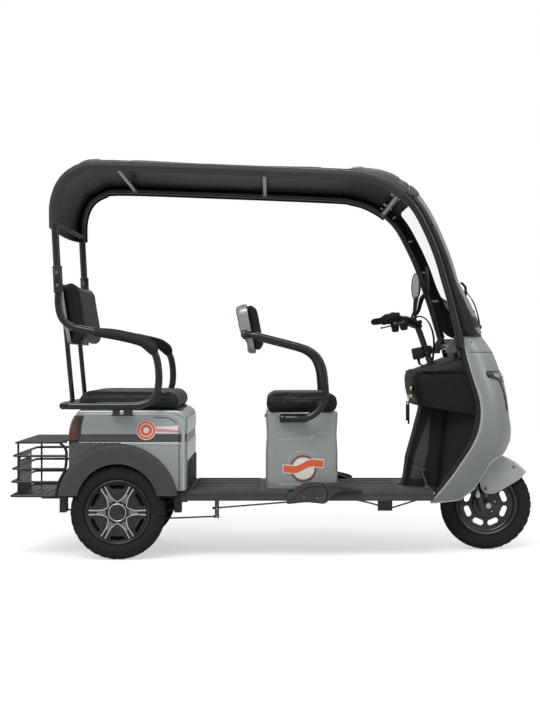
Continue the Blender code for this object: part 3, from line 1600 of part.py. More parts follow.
for side_name, side in (("right", -1), ("left", 1)):
    hub = (REAR_AXLE_X, side * HALF_TRACK, AXLE_Z)
    carry(pivot(f"rear_wheel_{side_name}", hub), build_tyre(f"rear_tyre_{side_name}", hub),
          build_rear_rim(side_name, side))
carry(pivot("driver_seat_lid", (SEAT_BOX_FRONT_X + SEAT_OVERHANG, 0, SEAT_LOW)), driver_cushion)
carry(pivot("rear_seat_lid", (BENCH_FRONT_X, 0, BENCH_LOW)), rear_cushion)

for item in VEHICLE.objects:
    if item.type == "MESH":
        item.data.polygons.foreach_set("use_smooth", [item.name in ROUND_PIECES] * len(item.data.polygons))
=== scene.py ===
"""The looks of an electric passenger three-wheeler with a canopy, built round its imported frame.

+X is forward, +Y is the vehicle's left, +Z is up, and every size is in metres.
"""

import logging
import math
from collections.abc import Callable, Iterable, Sequence
from dataclasses import dataclass
from enum import Enum
from typing import Any

import bmesh
import bpy
from mathutils import Matrix, Vector, noise
from mathutils.bvhtree import BVHTree


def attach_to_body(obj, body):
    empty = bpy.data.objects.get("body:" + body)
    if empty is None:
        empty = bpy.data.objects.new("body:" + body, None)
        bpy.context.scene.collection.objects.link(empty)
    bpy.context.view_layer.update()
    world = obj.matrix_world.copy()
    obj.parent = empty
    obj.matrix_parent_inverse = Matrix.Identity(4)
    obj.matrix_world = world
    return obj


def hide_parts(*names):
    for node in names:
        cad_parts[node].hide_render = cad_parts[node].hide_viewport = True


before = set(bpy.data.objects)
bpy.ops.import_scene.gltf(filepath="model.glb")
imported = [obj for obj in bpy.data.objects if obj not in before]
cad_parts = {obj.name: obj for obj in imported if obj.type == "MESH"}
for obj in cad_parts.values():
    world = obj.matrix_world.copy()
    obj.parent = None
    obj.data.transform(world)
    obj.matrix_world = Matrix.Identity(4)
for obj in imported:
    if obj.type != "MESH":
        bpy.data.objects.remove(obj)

LOG = logging.getLogger("three_wheeler")
Colour = tuple[float, float, float]
Path = Sequence[Sequence[float]]
STEER_UP = Vector((-0.325568, 0.0, 0.945519))
STEER_FORE = Vector((0.945519, 0.0, 0.325568))
STEER_FOOT = Vector((0.9493, 0.0, 0.20046))
FRONT_HUB = (0.977, 0.0, 0.21)
REAR_AXLE_X, REAR_HUB_Y, HUB_Z = -0.702, 0.300, 0.21
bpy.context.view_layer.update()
ACROSS = Vector((0.0, 1.0, 0.0))
AHEAD = Vector((1.0, 0.0, 0.0))
UP = Vector((0.0, 0.0, 1.0))
SIDES = (("right", -1), ("left", 1))


class Slot(Enum):
    """The record's material slots; pieces are built with one, but nothing uses it."""

    FRAME = "frame_black"
    TUBE = "gloss_tube"
    RACK = "basket_black"
    WHEEL = "wheel_black"
    CAST = "cast_metal"
    STEEL = "bare_steel"
    PAINT = "grey_paint"
    GLOSS = "grey_gloss"
    PLASTIC = "black_plastic"
    PAD = "soft_pad"
    STEP = "step_rubber"
    COVER = "cover_vinyl"
    VINYL = "black_vinyl"
    TYRE = "tyre_rubber"
    MIRROR = "mirror_black"
    RED = "lamp_red"
    CLEAR = "lamp_clear"
    PANE = "clear_pane"


# ---------------------------------------------------------------- shading


class Signal:
    """A socket's value over a surface. Arithmetic on it adds Math nodes."""

    def __init__(self, tree: "FinishTree", socket: bpy.types.NodeSocket) -> None:
        """Keeps the socket and the tree that holds it."""
        self.tree = tree
        self.socket = socket

    def _sum(self, operation: str, first: Any, second: Any) -> "Signal":
        """Adds one Math node on two values."""
        return self.tree.node("ShaderNodeMath", {"operation": operation}, {0: first, 1: second})

    def __add__(self, other: Any) -> "Signal":
        """This plus other."""
        return self._sum("ADD", self, other)

    def __radd__(self, other: Any) -> "Signal":
        """Other plus this."""
        return self._sum("ADD", other, self)

    def __sub__(self, other: Any) -> "Signal":
        """This minus other."""
        return self._sum("SUBTRACT", self, other)

    def __rsub__(self, other: Any) -> "Signal":
        """Other minus this."""
        return self._sum("SUBTRACT", other, self)

    def __mul__(self, other: Any) -> "Signal":
        """This times other."""
        return self._sum("MULTIPLY", self, other)

    def __rmul__(self, other: Any) -> "Signal":
        """Other times this."""
        return self._sum("MULTIPLY", other, self)

    def __truediv__(self, other: Any) -> "Signal":
        """This divided by other."""
        return self._sum("DIVIDE", self, other)

    def __pow__(self, other: Any) -> "Signal":
        """This to the power of other."""
        return self._sum("POWER", self, other)

    def under(self, level: float) -> "Signal":
        """1 where this is below the level, else 0."""
        return self._sum("LESS_THAN", self, level)

    def wave(self) -> "Signal":
        """The sine of this."""
        return self._sum("SINE", self, 0.0)

    def size(self) -> "Signal":
        """This without its sign."""
        return self._sum("ABSOLUTE", self, 0.0)

    def rise(self, low: float, high: float) -> "Signal":
        """A soft step from 0 at low to 1 at high."""
        limits = {"Value": self, "From Min": low, "From Max": high}
        return self.tree.node("ShaderNodeMapRange", {"interpolation_type": "SMOOTHSTEP"}, limits)


class FinishTree:
    """The nodes of one material round its Principled shader."""

    def __init__(self, name: str) -> None:
        """Makes the material with an empty tree, its shader and its output.

        Args:
            name: the material's name.
        """
        self.material = bpy.data.materials.new(name)
        self.material.use_nodes = True
        self.links = self.material.node_tree.links
        self.nodes = self.material.node_tree.nodes
        self.nodes.clear()
        self.output = self.nodes.new("ShaderNodeOutputMaterial")
        self.shader = self.nodes.new("ShaderNodeBsdfPrincipled")
        self.links.new(self.shader.outputs[0], self.output.inputs[0])

    def node(
        self, kind: str, settings: dict[str, Any] | None = None, sockets: dict[Any, Any] | None = None,
        output: Any = 0,
    ) -> Signal:
        """Adds a node.

        Args:
            kind: Blender's name of the node's type.
            settings: the node's own settings; "stops" holds a ramp's (position, colour) pairs.
            sockets: a value or a Signal for each named or numbered input.
            output: the name or number of the output that is wanted.

        Returns:
            The wanted output.
        """
        made = self.nodes.new(kind)
        for key, value in (settings or {}).items():
            if key == "stops":
                elements = made.color_ramp.elements
                while len(elements) < len(value):
                    elements.new(1.0)
                for element, (position, colour) in zip(elements, value):
                    element.position = position
                    element.color = (*colour, 1.0)
            else:
                setattr(made, key, value)
        for key, value in (sockets or {}).items():
            self.feed(made.inputs[key], value)
        return Signal(self, made.outputs[output])

    def feed(self, socket: bpy.types.NodeSocket, value: Any) -> None:
        """Links a Signal to a socket, or sets the socket to a value.

        Args:
            socket: the input that is fed.
            value: a Signal, a number or a colour.
        """
        if isinstance(value, Signal):
            self.links.new(value.socket, socket)
        elif isinstance(value, tuple) and socket.type == "RGBA":
            socket.default_value = (*value[:3], 1.0)
        else:
            socket.default_value = value

    def place(self) -> Signal:
        """The point on the piece, in the vehicle's own metres."""
        return self.node("ShaderNodeTexCoord", output="Object")

    def axis(self, name: str) -> Signal:
        """One of the point's X, Y and Z."""
        return self.node("ShaderNodeSeparateXYZ", sockets={0: self.place()}, output=name)

    def moved(
        self, move: Sequence[float] = (0, 0, 0), turn: Sequence[float] = (0, 0, 0),
        size: Sequence[float] = (1, 1, 1),
    ) -> Signal:
        """The point seen from a pattern's own centre and turn."""
        sockets = {
            "Vector": self.place(), "Location": tuple(move), "Rotation": tuple(turn), "Scale": tuple(size)
        }
        return self.node("ShaderNodeMapping", {"vector_type": "TEXTURE"}, sockets)

    def cloud(self, scale: float, detail: float = 3.0, where: Signal | None = None) -> Signal:
        """Soft noise from 0 to 1; scale is its number of blotches to the metre."""
        sockets = {"Vector": where or self.place(), "Scale": scale, "Detail": detail}
        return self.node("ShaderNodeTexNoise", sockets=sockets)

    def cells(self, scale: float, feature: str = "F1", where: Signal | None = None) -> Signal:
        """The distance to the nearest point of a scattered set."""
        return self.node(
            "ShaderNodeTexVoronoi", {"feature": feature}, {"Vector": where or self.place(), "Scale": scale}
        )

    def mixed(self, factor: Any, first: Any, second: Any) -> Signal:
        """A colour that goes from the first to the second."""
        return self.node("ShaderNodeMix", {"data_type": "RGBA"}, {0: factor, 6: first, 7: second}, 2)

    def bump(self, height: Signal, depth: float, strength: float = 1.0) -> Signal:
        """A normal from a height between 0 and 1 that stands for a depth in metres."""
        return self.node(
            "ShaderNodeBump", sockets={"Height": height, "Distance": depth, "Strength": strength}
        )

    def set(self, **values: Any) -> bpy.types.Material:
        """Sets the shader's sockets, named in lower case with underscores, and gives the material.

        Args:
            **values: the sockets' values by name.

        Returns:
            The finished material.
        """
        for key, value in values.items():
            self.feed(self.shader.inputs[key.replace("_", " ").title().replace("Ior", "IOR")], value)
        return self.material

    def dusty(self, colour: Signal | Colour, amount: float) -> Signal:
        """A colour that gets a little dust towards the ground.

        Args:
            colour: the colour before the dust.
            amount: how much dust there is, from 0 to 1.

        Returns:
            The dusted colour.
        """
        height = 1.0 - self.axis("Z").rise(0.02, 0.42)
        patches = self.cloud(9.0, 5.0).rise(0.35, 0.75)
        return self.mixed(height * patches * amount, colour, (0.19, 0.18, 0.165))


@dataclass(frozen=True)
class Lacquer:
    """Paint under a clear coat, on metal or on smooth plastic."""

    name: str
    colour: Colour
    roughness: float = 0.36
    metallic: float = 0.0
    coat: float = 1.0
    coat_roughness: float = 0.05
    mottle: float = 0.06
    peel: float = 0.00012
    dust: float = 0.25
    # below 1, foot darkens the colour towards the ground: painted shade
    foot: float = 1.0
    shine: float = 0.5

    def make(self) -> bpy.types.Material:
        """Builds the material: a slight drift of colour, painted shade low down, orange peel, fine dust and
        rubbed patches.

        Returns:
            The finished material.
        """
        tree = FinishTree(self.name)
        drift = tree.cloud(3.2, 4.0)
        low = tuple(c * (1 - self.mottle) for c in self.colour)
        high = tuple(min(1.0, c * (1 + self.mottle)) for c in self.colour)
        colour = tree.mixed(drift, low, high)
        # painted shade: the colour grows darker towards the ground
        if self.foot < 1.0:
            deep = tuple(c * self.foot for c in self.colour)
            colour = tree.mixed(tree.axis("Z").rise(0.22, 0.80), deep, colour)
        colour = tree.dusty(colour, self.dust)
        rubbed = tree.cloud(26.0, 6.0).rise(0.45, 0.8)
        peel = tree.bump(tree.cloud(210.0, 2.0), self.peel)
        return tree.set(
            base_color=colour,
            roughness=self.roughness + rubbed * 0.10,
            metallic=self.metallic,
            coat_weight=self.coat,
            coat_roughness=self.coat_roughness,
            specular_ior_level=self.shine,
            normal=peel,
        )


@dataclass(frozen=True)
class Moulding:
    """Matt black plastic or foam with a fine grain in its surface."""

    name: str
    colour: Colour
    roughness: float = 0.58
    grain: float = 650.0
    depth: float = 0.00025
    scuff: float = 0.35
    dust: float = 0.35

    def make(self) -> bpy.types.Material:
        """Builds the material: grain, paler scuffs and dust towards the ground.

        Returns:
            The finished material.
        """
        tree = FinishTree(self.name)
        patches = tree.cloud(7.0, 5.0)
        scuffs = tree.cloud(34.0, 8.0).rise(0.55, 0.80)
        pale = tuple(c * (1 + self.scuff) for c in self.colour)
        dark = tuple(c * (1 - self.scuff * 0.4) for c in self.colour)
        colour = tree.mixed(patches, dark, pale)
        colour = tree.dusty(tree.mixed(scuffs * 0.4, colour, pale), self.dust)
        grain = tree.cells(self.grain) * 0.6 + tree.cloud(self.grain * 0.7, 2.0) * 0.4
        rough = self.roughness + patches * 0.10 - scuffs * 0.06
        return tree.set(
            base_color=colour, roughness=rough, specular_ior_level=0.22, normal=tree.bump(grain, self.depth)
        )


@dataclass(frozen=True)
class Vinyl:
    """Grained upholstery vinyl with a soft sheen and faint creases."""

    name: str
    colour: Colour
    roughness: float = 0.44
    grain: float = 420.0
    depth: float = 0.00035

    def make(self) -> bpy.types.Material:
        """Builds the material: pebbled grain over slow creases, shinier where it is sat on.

        Returns:
            The finished material.
        """
        tree = FinishTree(self.name)
        worn = tree.cloud(4.0, 4.0)
        pebble = tree.cells(self.grain, "SMOOTH_F1")
        crease = tree.cloud(16.0, 6.0, tree.moved(size=(1.0, 0.35, 1.0)))
        height = pebble * 0.35 + crease.rise(0.35, 0.75) * 1.4
        dark = tuple(c * 0.82 for c in self.colour)
        pale = tuple(c * 1.28 for c in self.colour)
        colour = tree.mixed(worn * 0.7 + pebble * 0.3, dark, pale)
        return tree.set(
            base_color=colour,
            roughness=self.roughness + worn * 0.12,
            normal=tree.bump(height, self.depth),
            specular_ior_level=0.22,
        )


@dataclass(frozen=True)
class Rubber:
    """Tyre rubber, greyed by dust on its tread and wall."""

    name: str
    colour: Colour

    def make(self) -> bpy.types.Material:
        """Builds the material.

        Returns:
            The finished material.
        """
        tree = FinishTree(self.name)
        blotch = tree.cloud(14.0, 6.0)
        dust = tree.cloud(48.0, 8.0).rise(0.42, 0.78)
        pale = tuple(c * 1.9 for c in self.colour)
        colour = tree.mixed(dust * 0.5 + blotch * 0.2, self.colour, pale)
        fine = tree.cloud(520.0, 3.0)
        rough = 0.72 + blotch * 0.14
        return tree.set(
            base_color=colour, roughness=rough, specular_ior_level=0.25, normal=tree.bump(fine, 0.0002)
        )


@dataclass(frozen=True)
class Metal:
    """Bare or plated metal, bright or dull, brushed or cast."""

    name: str
    colour: Colour
    roughness: float
    grain: float = 300.0
    depth: float = 0.00005
    stain: float = 0.25

    def make(self) -> bpy.types.Material:
        """Builds the material: a little stain in its colour and gloss, and its grain.

        Returns:
            The finished material.
        """
        tree = FinishTree(self.name)
        stain = tree.cloud(30.0, 6.0)
        dull = tuple(c * (1 - self.stain) for c in self.colour)
        rough = self.roughness + stain.rise(0.4, 0.8) * 0.18
        grain = tree.bump(tree.cloud(self.grain, 3.0), self.depth)
        return tree.set(
            base_color=tree.mixed(stain, dull, self.colour), roughness=rough, metallic=1.0, normal=grain
        )


@dataclass(frozen=True)
class Lens:
    """A coloured lamp lens, amber over red over its dark foot, with moulded prisms."""

    name: str
    amber: Colour
    red: Colour
    foot: Colour
    low: float
    high: float

    def make(self) -> bpy.types.Material:
        """Builds the material between the lamp's lowest and highest points.

        Returns:
            The finished material.
        """
        tree = FinishTree(self.name)
        share = (tree.axis("Z") - self.low) / (self.high - self.low)
        warm = tree.mixed(share.rise(0.42, 0.46), self.red, self.amber)
        colour = tree.mixed(share.rise(0.08, 0.12), self.foot, warm)
        colour = tree.mixed(tree.axis("X").rise(-0.885, -0.879), colour, self.foot)
        colour = tree.mixed(tree.cloud(60.0, 2.0) * 0.35, colour, (0.012, 0.008, 0.006))
        prisms = (tree.axis("Z") * 900.0).wave() * 0.5 + (tree.axis("Y") * 900.0).wave() * 0.5
        return tree.set(
            base_color=colour, roughness=0.22 + share * 0.02, coat_weight=1.0, coat_roughness=0.03,
            normal=tree.bump(prisms, 0.0004),
        )


@dataclass(frozen=True)
class ClearLens:
    """A clear lamp lens over a bright reflector, with upright flutes."""

    name: str
    colour: Colour

    def make(self) -> bpy.types.Material:
        """Builds the material.

        Returns:
            The finished material.
        """
        tree = FinishTree(self.name)
        flutes = (tree.axis("Y") * 520.0).wave() * 0.5 + 0.5
        # the flutes' pale and dark stripes are painted light and shade
        shade = tuple(c * 0.35 for c in self.colour)
        colour = tree.mixed(flutes * 0.5 + tree.cloud(70.0) * 0.3, shade, self.colour)
        return tree.set(
            base_color=colour, roughness=0.12 + flutes * 0.1, metallic=0.35, coat_weight=1.0,
            coat_roughness=0.02, normal=tree.bump(flutes, 0.0006),
        )


@dataclass(frozen=True)
class Pane:
    """A thin clear sheet that shows mostly at its edges and where it is seen aslant."""

    name: str
    tint: Colour
    clear: float = 0.03
    slanting: float = 0.97

    def make(self) -> bpy.types.Material:
        """Builds the material: nearly clear face on, smoky grey aslant, with faint wiped haze.

        Returns:
            The finished material.
        """
        tree = FinishTree(self.name)
        aslant = tree.node("ShaderNodeLayerWeight", sockets={"Blend": 0.5}, output="Facing") ** 7.0
        haze = tree.cloud(5.0, 6.0).rise(0.45, 0.85) * 0.03
        alpha = aslant * self.slanting + haze + self.clear
        pale = tuple(min(1.0, c * 1.5) for c in self.tint)
        self_colour = tree.mixed(tree.cloud(3.0, 2.0), self.tint, pale)
        return tree.set(
            base_color=self_colour, roughness=0.05 + haze, alpha=alpha, coat_weight=0.4, coat_roughness=0.02
        )


@dataclass(frozen=True)
class Mirror:
    """Silvered glass."""

    name: str

    def make(self) -> bpy.types.Material:
        """Builds the material, with the faintest smears.

        Returns:
            The finished material.
        """
        tree = FinishTree(self.name)
        smear = tree.cloud(22.0, 6.0).rise(0.5, 0.9)
        colour = tree.mixed(smear * 0.3, (0.82, 0.84, 0.85), (0.66, 0.68, 0.69))
        return tree.set(base_color=colour, roughness=0.03 + smear * 0.05, metallic=1.0)


@dataclass(frozen=True)
class Roundel:
    """A printed disc of rings, seen along +Y: its centre and the outer radius of each colour."""

    name: str
    centre: tuple[float, float]
    rings: tuple[tuple[float, Colour], ...]
    slant: float = 0.0

    def make(self) -> bpy.types.Material:
        """Builds the material from the innermost ring outwards.

        Returns:
            The finished material.
        """
        tree = FinishTree(self.name)
        x = tree.axis("X") - self.centre[0]
        z = tree.axis("Z") - self.centre[1]
        radius = (x * x + z * z) ** 0.5
        colour: Any = self.rings[-1][1]
        for reach, ring in reversed(self.rings[:-1]):
            colour = tree.mixed(radius.under(reach), colour, ring)
        if self.slant:
            band = (z + x * 0.32).size().under(self.slant)
            colour = tree.mixed(band * radius.under(self.rings[-1][0] * 0.97), colour, (0.72, 0.115, 0.012))
        faded = tree.mixed(tree.cloud(60.0, 4.0) * 0.12, colour, (0.45, 0.45, 0.44))
        return tree.set(
            base_color=faded, roughness=0.34 + tree.cloud(90.0) * 0.08, coat_weight=0.6, coat_roughness=0.12
        )


@dataclass(frozen=True)
class Stripes:
    """A printed band of pale stripes that run along X."""

    name: str
    low: float
    high: float
    first: float
    last: float

    def make(self) -> bpy.types.Material:
        """Builds the material between the band's lowest and highest, first and last points.

        Returns:
            The finished material.
        """
        tree = FinishTree(self.name)
        share = (tree.axis("Z") - self.low) / (self.high - self.low)
        along = (tree.axis("X") - self.first) / (self.last - self.first)
        slanted = share + along * 0.22
        pink, rose, white = (0.80, 0.42, 0.46), (0.62, 0.16, 0.19), (0.84, 0.82, 0.82)
        stops = [(0.0, pink), (0.26, white), (0.34, pink), (0.56, rose), (0.64, pink), (0.86, white)]
        ramp = tree.node("ShaderNodeValToRGB", {"stops": stops}, {0: slanted})
        faded = tree.mixed(tree.cloud(60.0, 4.0) * 0.15, ramp, (0.6, 0.5, 0.5))
        return tree.set(
            base_color=faded, roughness=0.34 + tree.cloud(90.0) * 0.08, coat_weight=0.6, coat_roughness=0.12
        )


Finish = Lacquer | Moulding | Vinyl | Rubber | Metal | Lens | ClearLens | Pane | Mirror | Roundel | Stripes

SILVER = Lacquer("silver_paint", (0.300, 0.334, 0.328), roughness=0.38, metallic=0.15, mottle=0.04)
# the rear box's silver: a lighter copy of the silver paint as painted light, with painted shade towards its
# foot
SILVER_BODY_PAINTED_LIGHT_AND_SHADE = Lacquer(
    "silver_body_painted_light_and_shade", (0.440, 0.486, 0.478), roughness=0.38, metallic=0.15, mottle=0.04, foot=0.55
)
# the cowl's silver, with painted shade towards its foot
SILVER_COWL_PAINTED_SHADE = Lacquer(
    "silver_cowl_painted_shade", (0.280, 0.310, 0.304), roughness=0.38, metallic=0.15, mottle=0.04, foot=0.66,
    coat_roughness=0.34
)
# a lighter copy of the silver paint: painted light on the front fender, painted highlights on the box's
# trims and the cowl's rolled edges
SILVER_PAINTED_LIGHT = Lacquer("silver_paint_painted_light", (0.430, 0.460, 0.452), roughness=0.34, metallic=0.15, mottle=0.03)
# the silver paint in painted shade, for the band where the box's side is recessed
BAND_PAINTED_SHADE = Lacquer("band_painted_shade", (0.062, 0.065, 0.066), roughness=0.42, coat=0.6, coat_roughness=0.2)
WEB_GREY = Metal("wheel_web_grey", (0.30, 0.30, 0.31), 0.38, grain=200.0)
TAIL_LENS = Lens(
    "tail_lens", (0.145, 0.050, 0.016), (0.160, 0.008, 0.006), (0.012, 0.012, 0.013), 0.5115, 0.6385
)
GLOSS_BLACK = Lacquer(
    "gloss_black", (0.009, 0.009, 0.010), roughness=0.30, coat=0.7, coat_roughness=0.06, dust=0.10,
    shine=0.3
)
SATIN_BLACK = Lacquer("satin_black", (0.016, 0.016, 0.018), roughness=0.48, coat=0.35, coat_roughness=0.30)
RACK_BLACK = Lacquer("rack_black", (0.011, 0.011, 0.012), roughness=0.42, coat=0.35, coat_roughness=0.22)
WHEEL_BLACK = Lacquer("wheel_black", (0.009, 0.009, 0.010), roughness=0.38, coat=0.45, coat_roughness=0.14)
WHEEL_GREY = Moulding("wheel_cover_grey", (0.022, 0.022, 0.023), roughness=0.46, grain=420.0, scuff=0.15)
PLASTIC = Moulding("black_plastic", (0.030, 0.030, 0.031))
PLASTIC_DARK = Moulding("black_plastic_dark", (0.012, 0.012, 0.013), roughness=0.50)
DECK_PLASTIC = Moulding("deck_plastic", (0.048, 0.048, 0.048), grain=480.0)
FENDER_PLASTIC = Moulding("fender_plastic", (0.056, 0.056, 0.057), roughness=0.55)
FOAM = Moulding("arm_pad_foam", (0.020, 0.020, 0.021), roughness=0.62, grain=900.0)
STEP_RUBBER = Moulding("step_rubber", (0.044, 0.044, 0.045), roughness=0.66, grain=520.0)
GRIP_RUBBER = Moulding("grip_rubber", (0.011, 0.011, 0.011), roughness=0.60, grain=800.0)
# near-black for dark seams and gaps, and as painted shade behind the wheel covers, under the console, in the
# deck's slots and in the step's fold
VOID_BLACK = Moulding("recess_black", (0.006, 0.006, 0.006), roughness=0.85, dust=0.0)
SEAT_VINYL = Vinyl("seat_vinyl", (0.012, 0.012, 0.013))
COVER_VINYL = Vinyl("cover_vinyl", (0.032, 0.032, 0.033), roughness=0.40, grain=900.0, depth=0.0002)
TYRE = Rubber("tyre_rubber", (0.013, 0.013, 0.013))
CHROME = Metal("bright_chrome", (0.78, 0.78, 0.79), 0.12, stain=0.12)
ZINC = Metal("zinc_plate", (0.52, 0.52, 0.50), 0.34)
BRASS = Metal("brass", (0.62, 0.52, 0.30), 0.26)
DARK_ZINC = Metal("dark_zinc", (0.20, 0.20, 0.205), 0.38)
BAR_GREY = Lacquer(
    "bar_grey", (0.09, 0.09, 0.09), roughness=0.36, metallic=0.3, coat=0.6, coat_roughness=0.15
)
CLIP_GREY = Lacquer("clip_grey", (0.42, 0.42, 0.41), roughness=0.38, metallic=0.5, coat=0.2)
BORDER_BLACK = Moulding("screen_border_black", (0.012, 0.012, 0.013), roughness=0.34, scuff=0.15, dust=0.0)
COVER_WELT = Vinyl("cover_welt", (0.055, 0.054, 0.052), roughness=0.36, grain=900.0, depth=0.0002)
CAST = Metal("cast_alloy", (0.11, 0.11, 0.115), 0.48, grain=160.0, depth=0.0003)
LENS_CLEAR = ClearLens("clear_lens", (0.75, 0.77, 0.78))
# a pale finish for the teardrops on the fork legs, painted as a glint
FORK_PAINTED_GLINT = ClearLens("pale_painted_glint", (0.88, 0.85, 0.76))
SCREEN_PANE = Pane("screen_pane", (0.045, 0.046, 0.046))
MIRROR = Mirror("mirror_glass")
SHIELD_BLACK = Moulding("shield_black", (0.006, 0.006, 0.007), roughness=0.50, grain=520.0)
TRIM_BLACK = Moulding("trim_black", (0.020, 0.020, 0.021), roughness=0.46)
SWITCH_GREY = Moulding("switch_grey", (0.16, 0.16, 0.16), roughness=0.45)
LEVER_GREY = Metal("lever_grey", (0.10, 0.10, 0.105), 0.38)
CABLE_BLACK = Moulding("cable_black", (0.012, 0.012, 0.013), roughness=0.42, scuff=0.2)
SPRING_BLACK = Lacquer("spring_black", (0.030, 0.030, 0.031), roughness=0.52, coat=0.2)
SMOKED_LENS = ClearLens("smoked_lens", (0.05, 0.05, 0.052))
PANEL_GREY = Lacquer("screen_panel_grey", (0.200, 0.205, 0.200), roughness=0.34, metallic=0.10, mottle=0.05)
RACK_LID = Lacquer("rack_lid_black", (0.034, 0.034, 0.034), roughness=0.55, coat=0.0, mottle=0.3, shine=0.15)
ORANGE = (0.752, 0.117, 0.012)
WARM_WHITE = (0.80, 0.79, 0.76)
BENCH_DISC_CENTRE = (-0.5757, 0.5720)
BENCH_DISC = Roundel("bench_disc", BENCH_DISC_CENTRE, (
    (0.0130, WARM_WHITE), (0.0260, ORANGE), (0.0300, WARM_WHITE), (0.0395, ORANGE), (0.0425, WARM_WHITE),
    (0.0450, ORANGE)))
DRIVER_BADGE = Roundel(
    "driver_badge", (0.1203, 0.3920),
    (
        (0.0495, WARM_WHITE), (0.0555, (0.40, 0.075, 0.045)), (0.0600, (0.075, 0.012, 0.020)),
        (0.100, WARM_WHITE)
    )
)
RIBBON_EDGE = Lacquer("ribbon_edge", WARM_WHITE, roughness=0.34, mottle=0.05)
RIBBON = Lacquer("ribbon_orange", ORANGE, roughness=0.34, mottle=0.10)
BENCH_STRIPES = Stripes("bench_stripes", 0.556, 0.590, -0.548, -0.427)
_MADE: dict[str, bpy.types.Material] = {}


def material_of(finish: Finish) -> bpy.types.Material:
    """The finish's material, which is made once.

    Args:
        finish: the finish to build.

    Returns:
        The finished material.
    """
    if finish.name not in _MADE:
        _MADE[finish.name] = finish.make()
    return _MADE[finish.name]


# ---------------------------------------------------------------- modelling


def flowing(points: Path, steps: int = 6) -> list[Vector]:
    """Points along a soft curve through the given ones."""
    given = [Vector(p) for p in points]
    return [curve_at(given, index / steps) for index in range((len(given) - 1) * steps + 1)]


def curve_at(given: Sequence[Vector], place: float) -> Vector:
    """The point of a soft curve through the given ones, at a place that counts from 0 at the first.

    Args:
        given: the points that the curve passes.
        place: where on the curve, counted from 0 at the first point.

    Returns:
        The point there.
    """
    index = min(int(place), len(given) - 2)
    t = place - index
    a, b = given[index], given[index + 1]
    before = given[index - 1] if index else a * 2 - b
    after = given[index + 2] if index + 2 < len(given) else b * 2 - a
    return 0.5 * (
        2 * a
        + (b - before) * t
        + (2 * before - 5 * a + 4 * b - after) * t**2
        + (3 * a - before - 3 * b + after) * t**3
    )


def smooth(value: float) -> float:
    """A soft step from 0 at 0 to 1 at 1."""
    value = min(1.0, max(0.0, value))
    return value * value * (3 - 2 * value)


def mirrored(points: Path, side: int) -> list[Vector]:
    """The points with their Y on the given side, where the points give it on the left."""
    return [Vector((x, y * side, z)) for x, y, z in points]


def facing(place: Vector, direction: Vector, up: Vector = UP) -> Matrix:
    """A frame at a place whose Z points along the direction and whose Y lies near up.

    Args:
        place: its origin.
        direction: the way that it points.
        up: the way that Y leans to.

    Returns:
        The frame.
    """
    z = direction.normalized()
    x = up.cross(z)
    if x.length < 1e-6:
        x = ACROSS.cross(z) if abs(z.y) < 0.9 else AHEAD.cross(z)
    x.normalize()
    return Matrix.Translation(place) @ Matrix((x, z.cross(x), z)).transposed().to_4x4()


def circle(radius: float, steps: int, centre: Sequence[float] = (0.0, 0.0)) -> list[tuple[float, float]]:
    """A round outline.

    Args:
        radius: its radius.
        steps: how many corners it has.
        centre: its middle.

    Returns:
        The corners in turn.
    """
    turns = [math.tau * step / steps for step in range(steps)]
    return [(centre[0] + radius * math.cos(turn), centre[1] + radius * math.sin(turn)) for turn in turns]


def rounded_outline(
    low: Sequence[float], high: Sequence[float], radius: float, steps: int = 6,
) -> list[tuple[float, float]]:
    """A rectangle between two corners with its corners rounded.

    Args:
        low: its lowest corner.
        high: its highest corner.
        radius: its radius.
        steps: how many steps it is made in.

    Returns:
        The corners in turn.
    """
    outline = []
    corners = ((high[0] - radius, high[1] - radius), (low[0] + radius, high[1] - radius),
               (low[0] + radius, low[1] + radius), (high[0] - radius, low[1] + radius))
    for number, (x, z) in enumerate(corners):
        for step in range(steps + 1):
            turn = math.pi / 2 * (number + step / steps)
            outline.append((x + radius * math.cos(turn), z + radius * math.sin(turn)))
    return outline


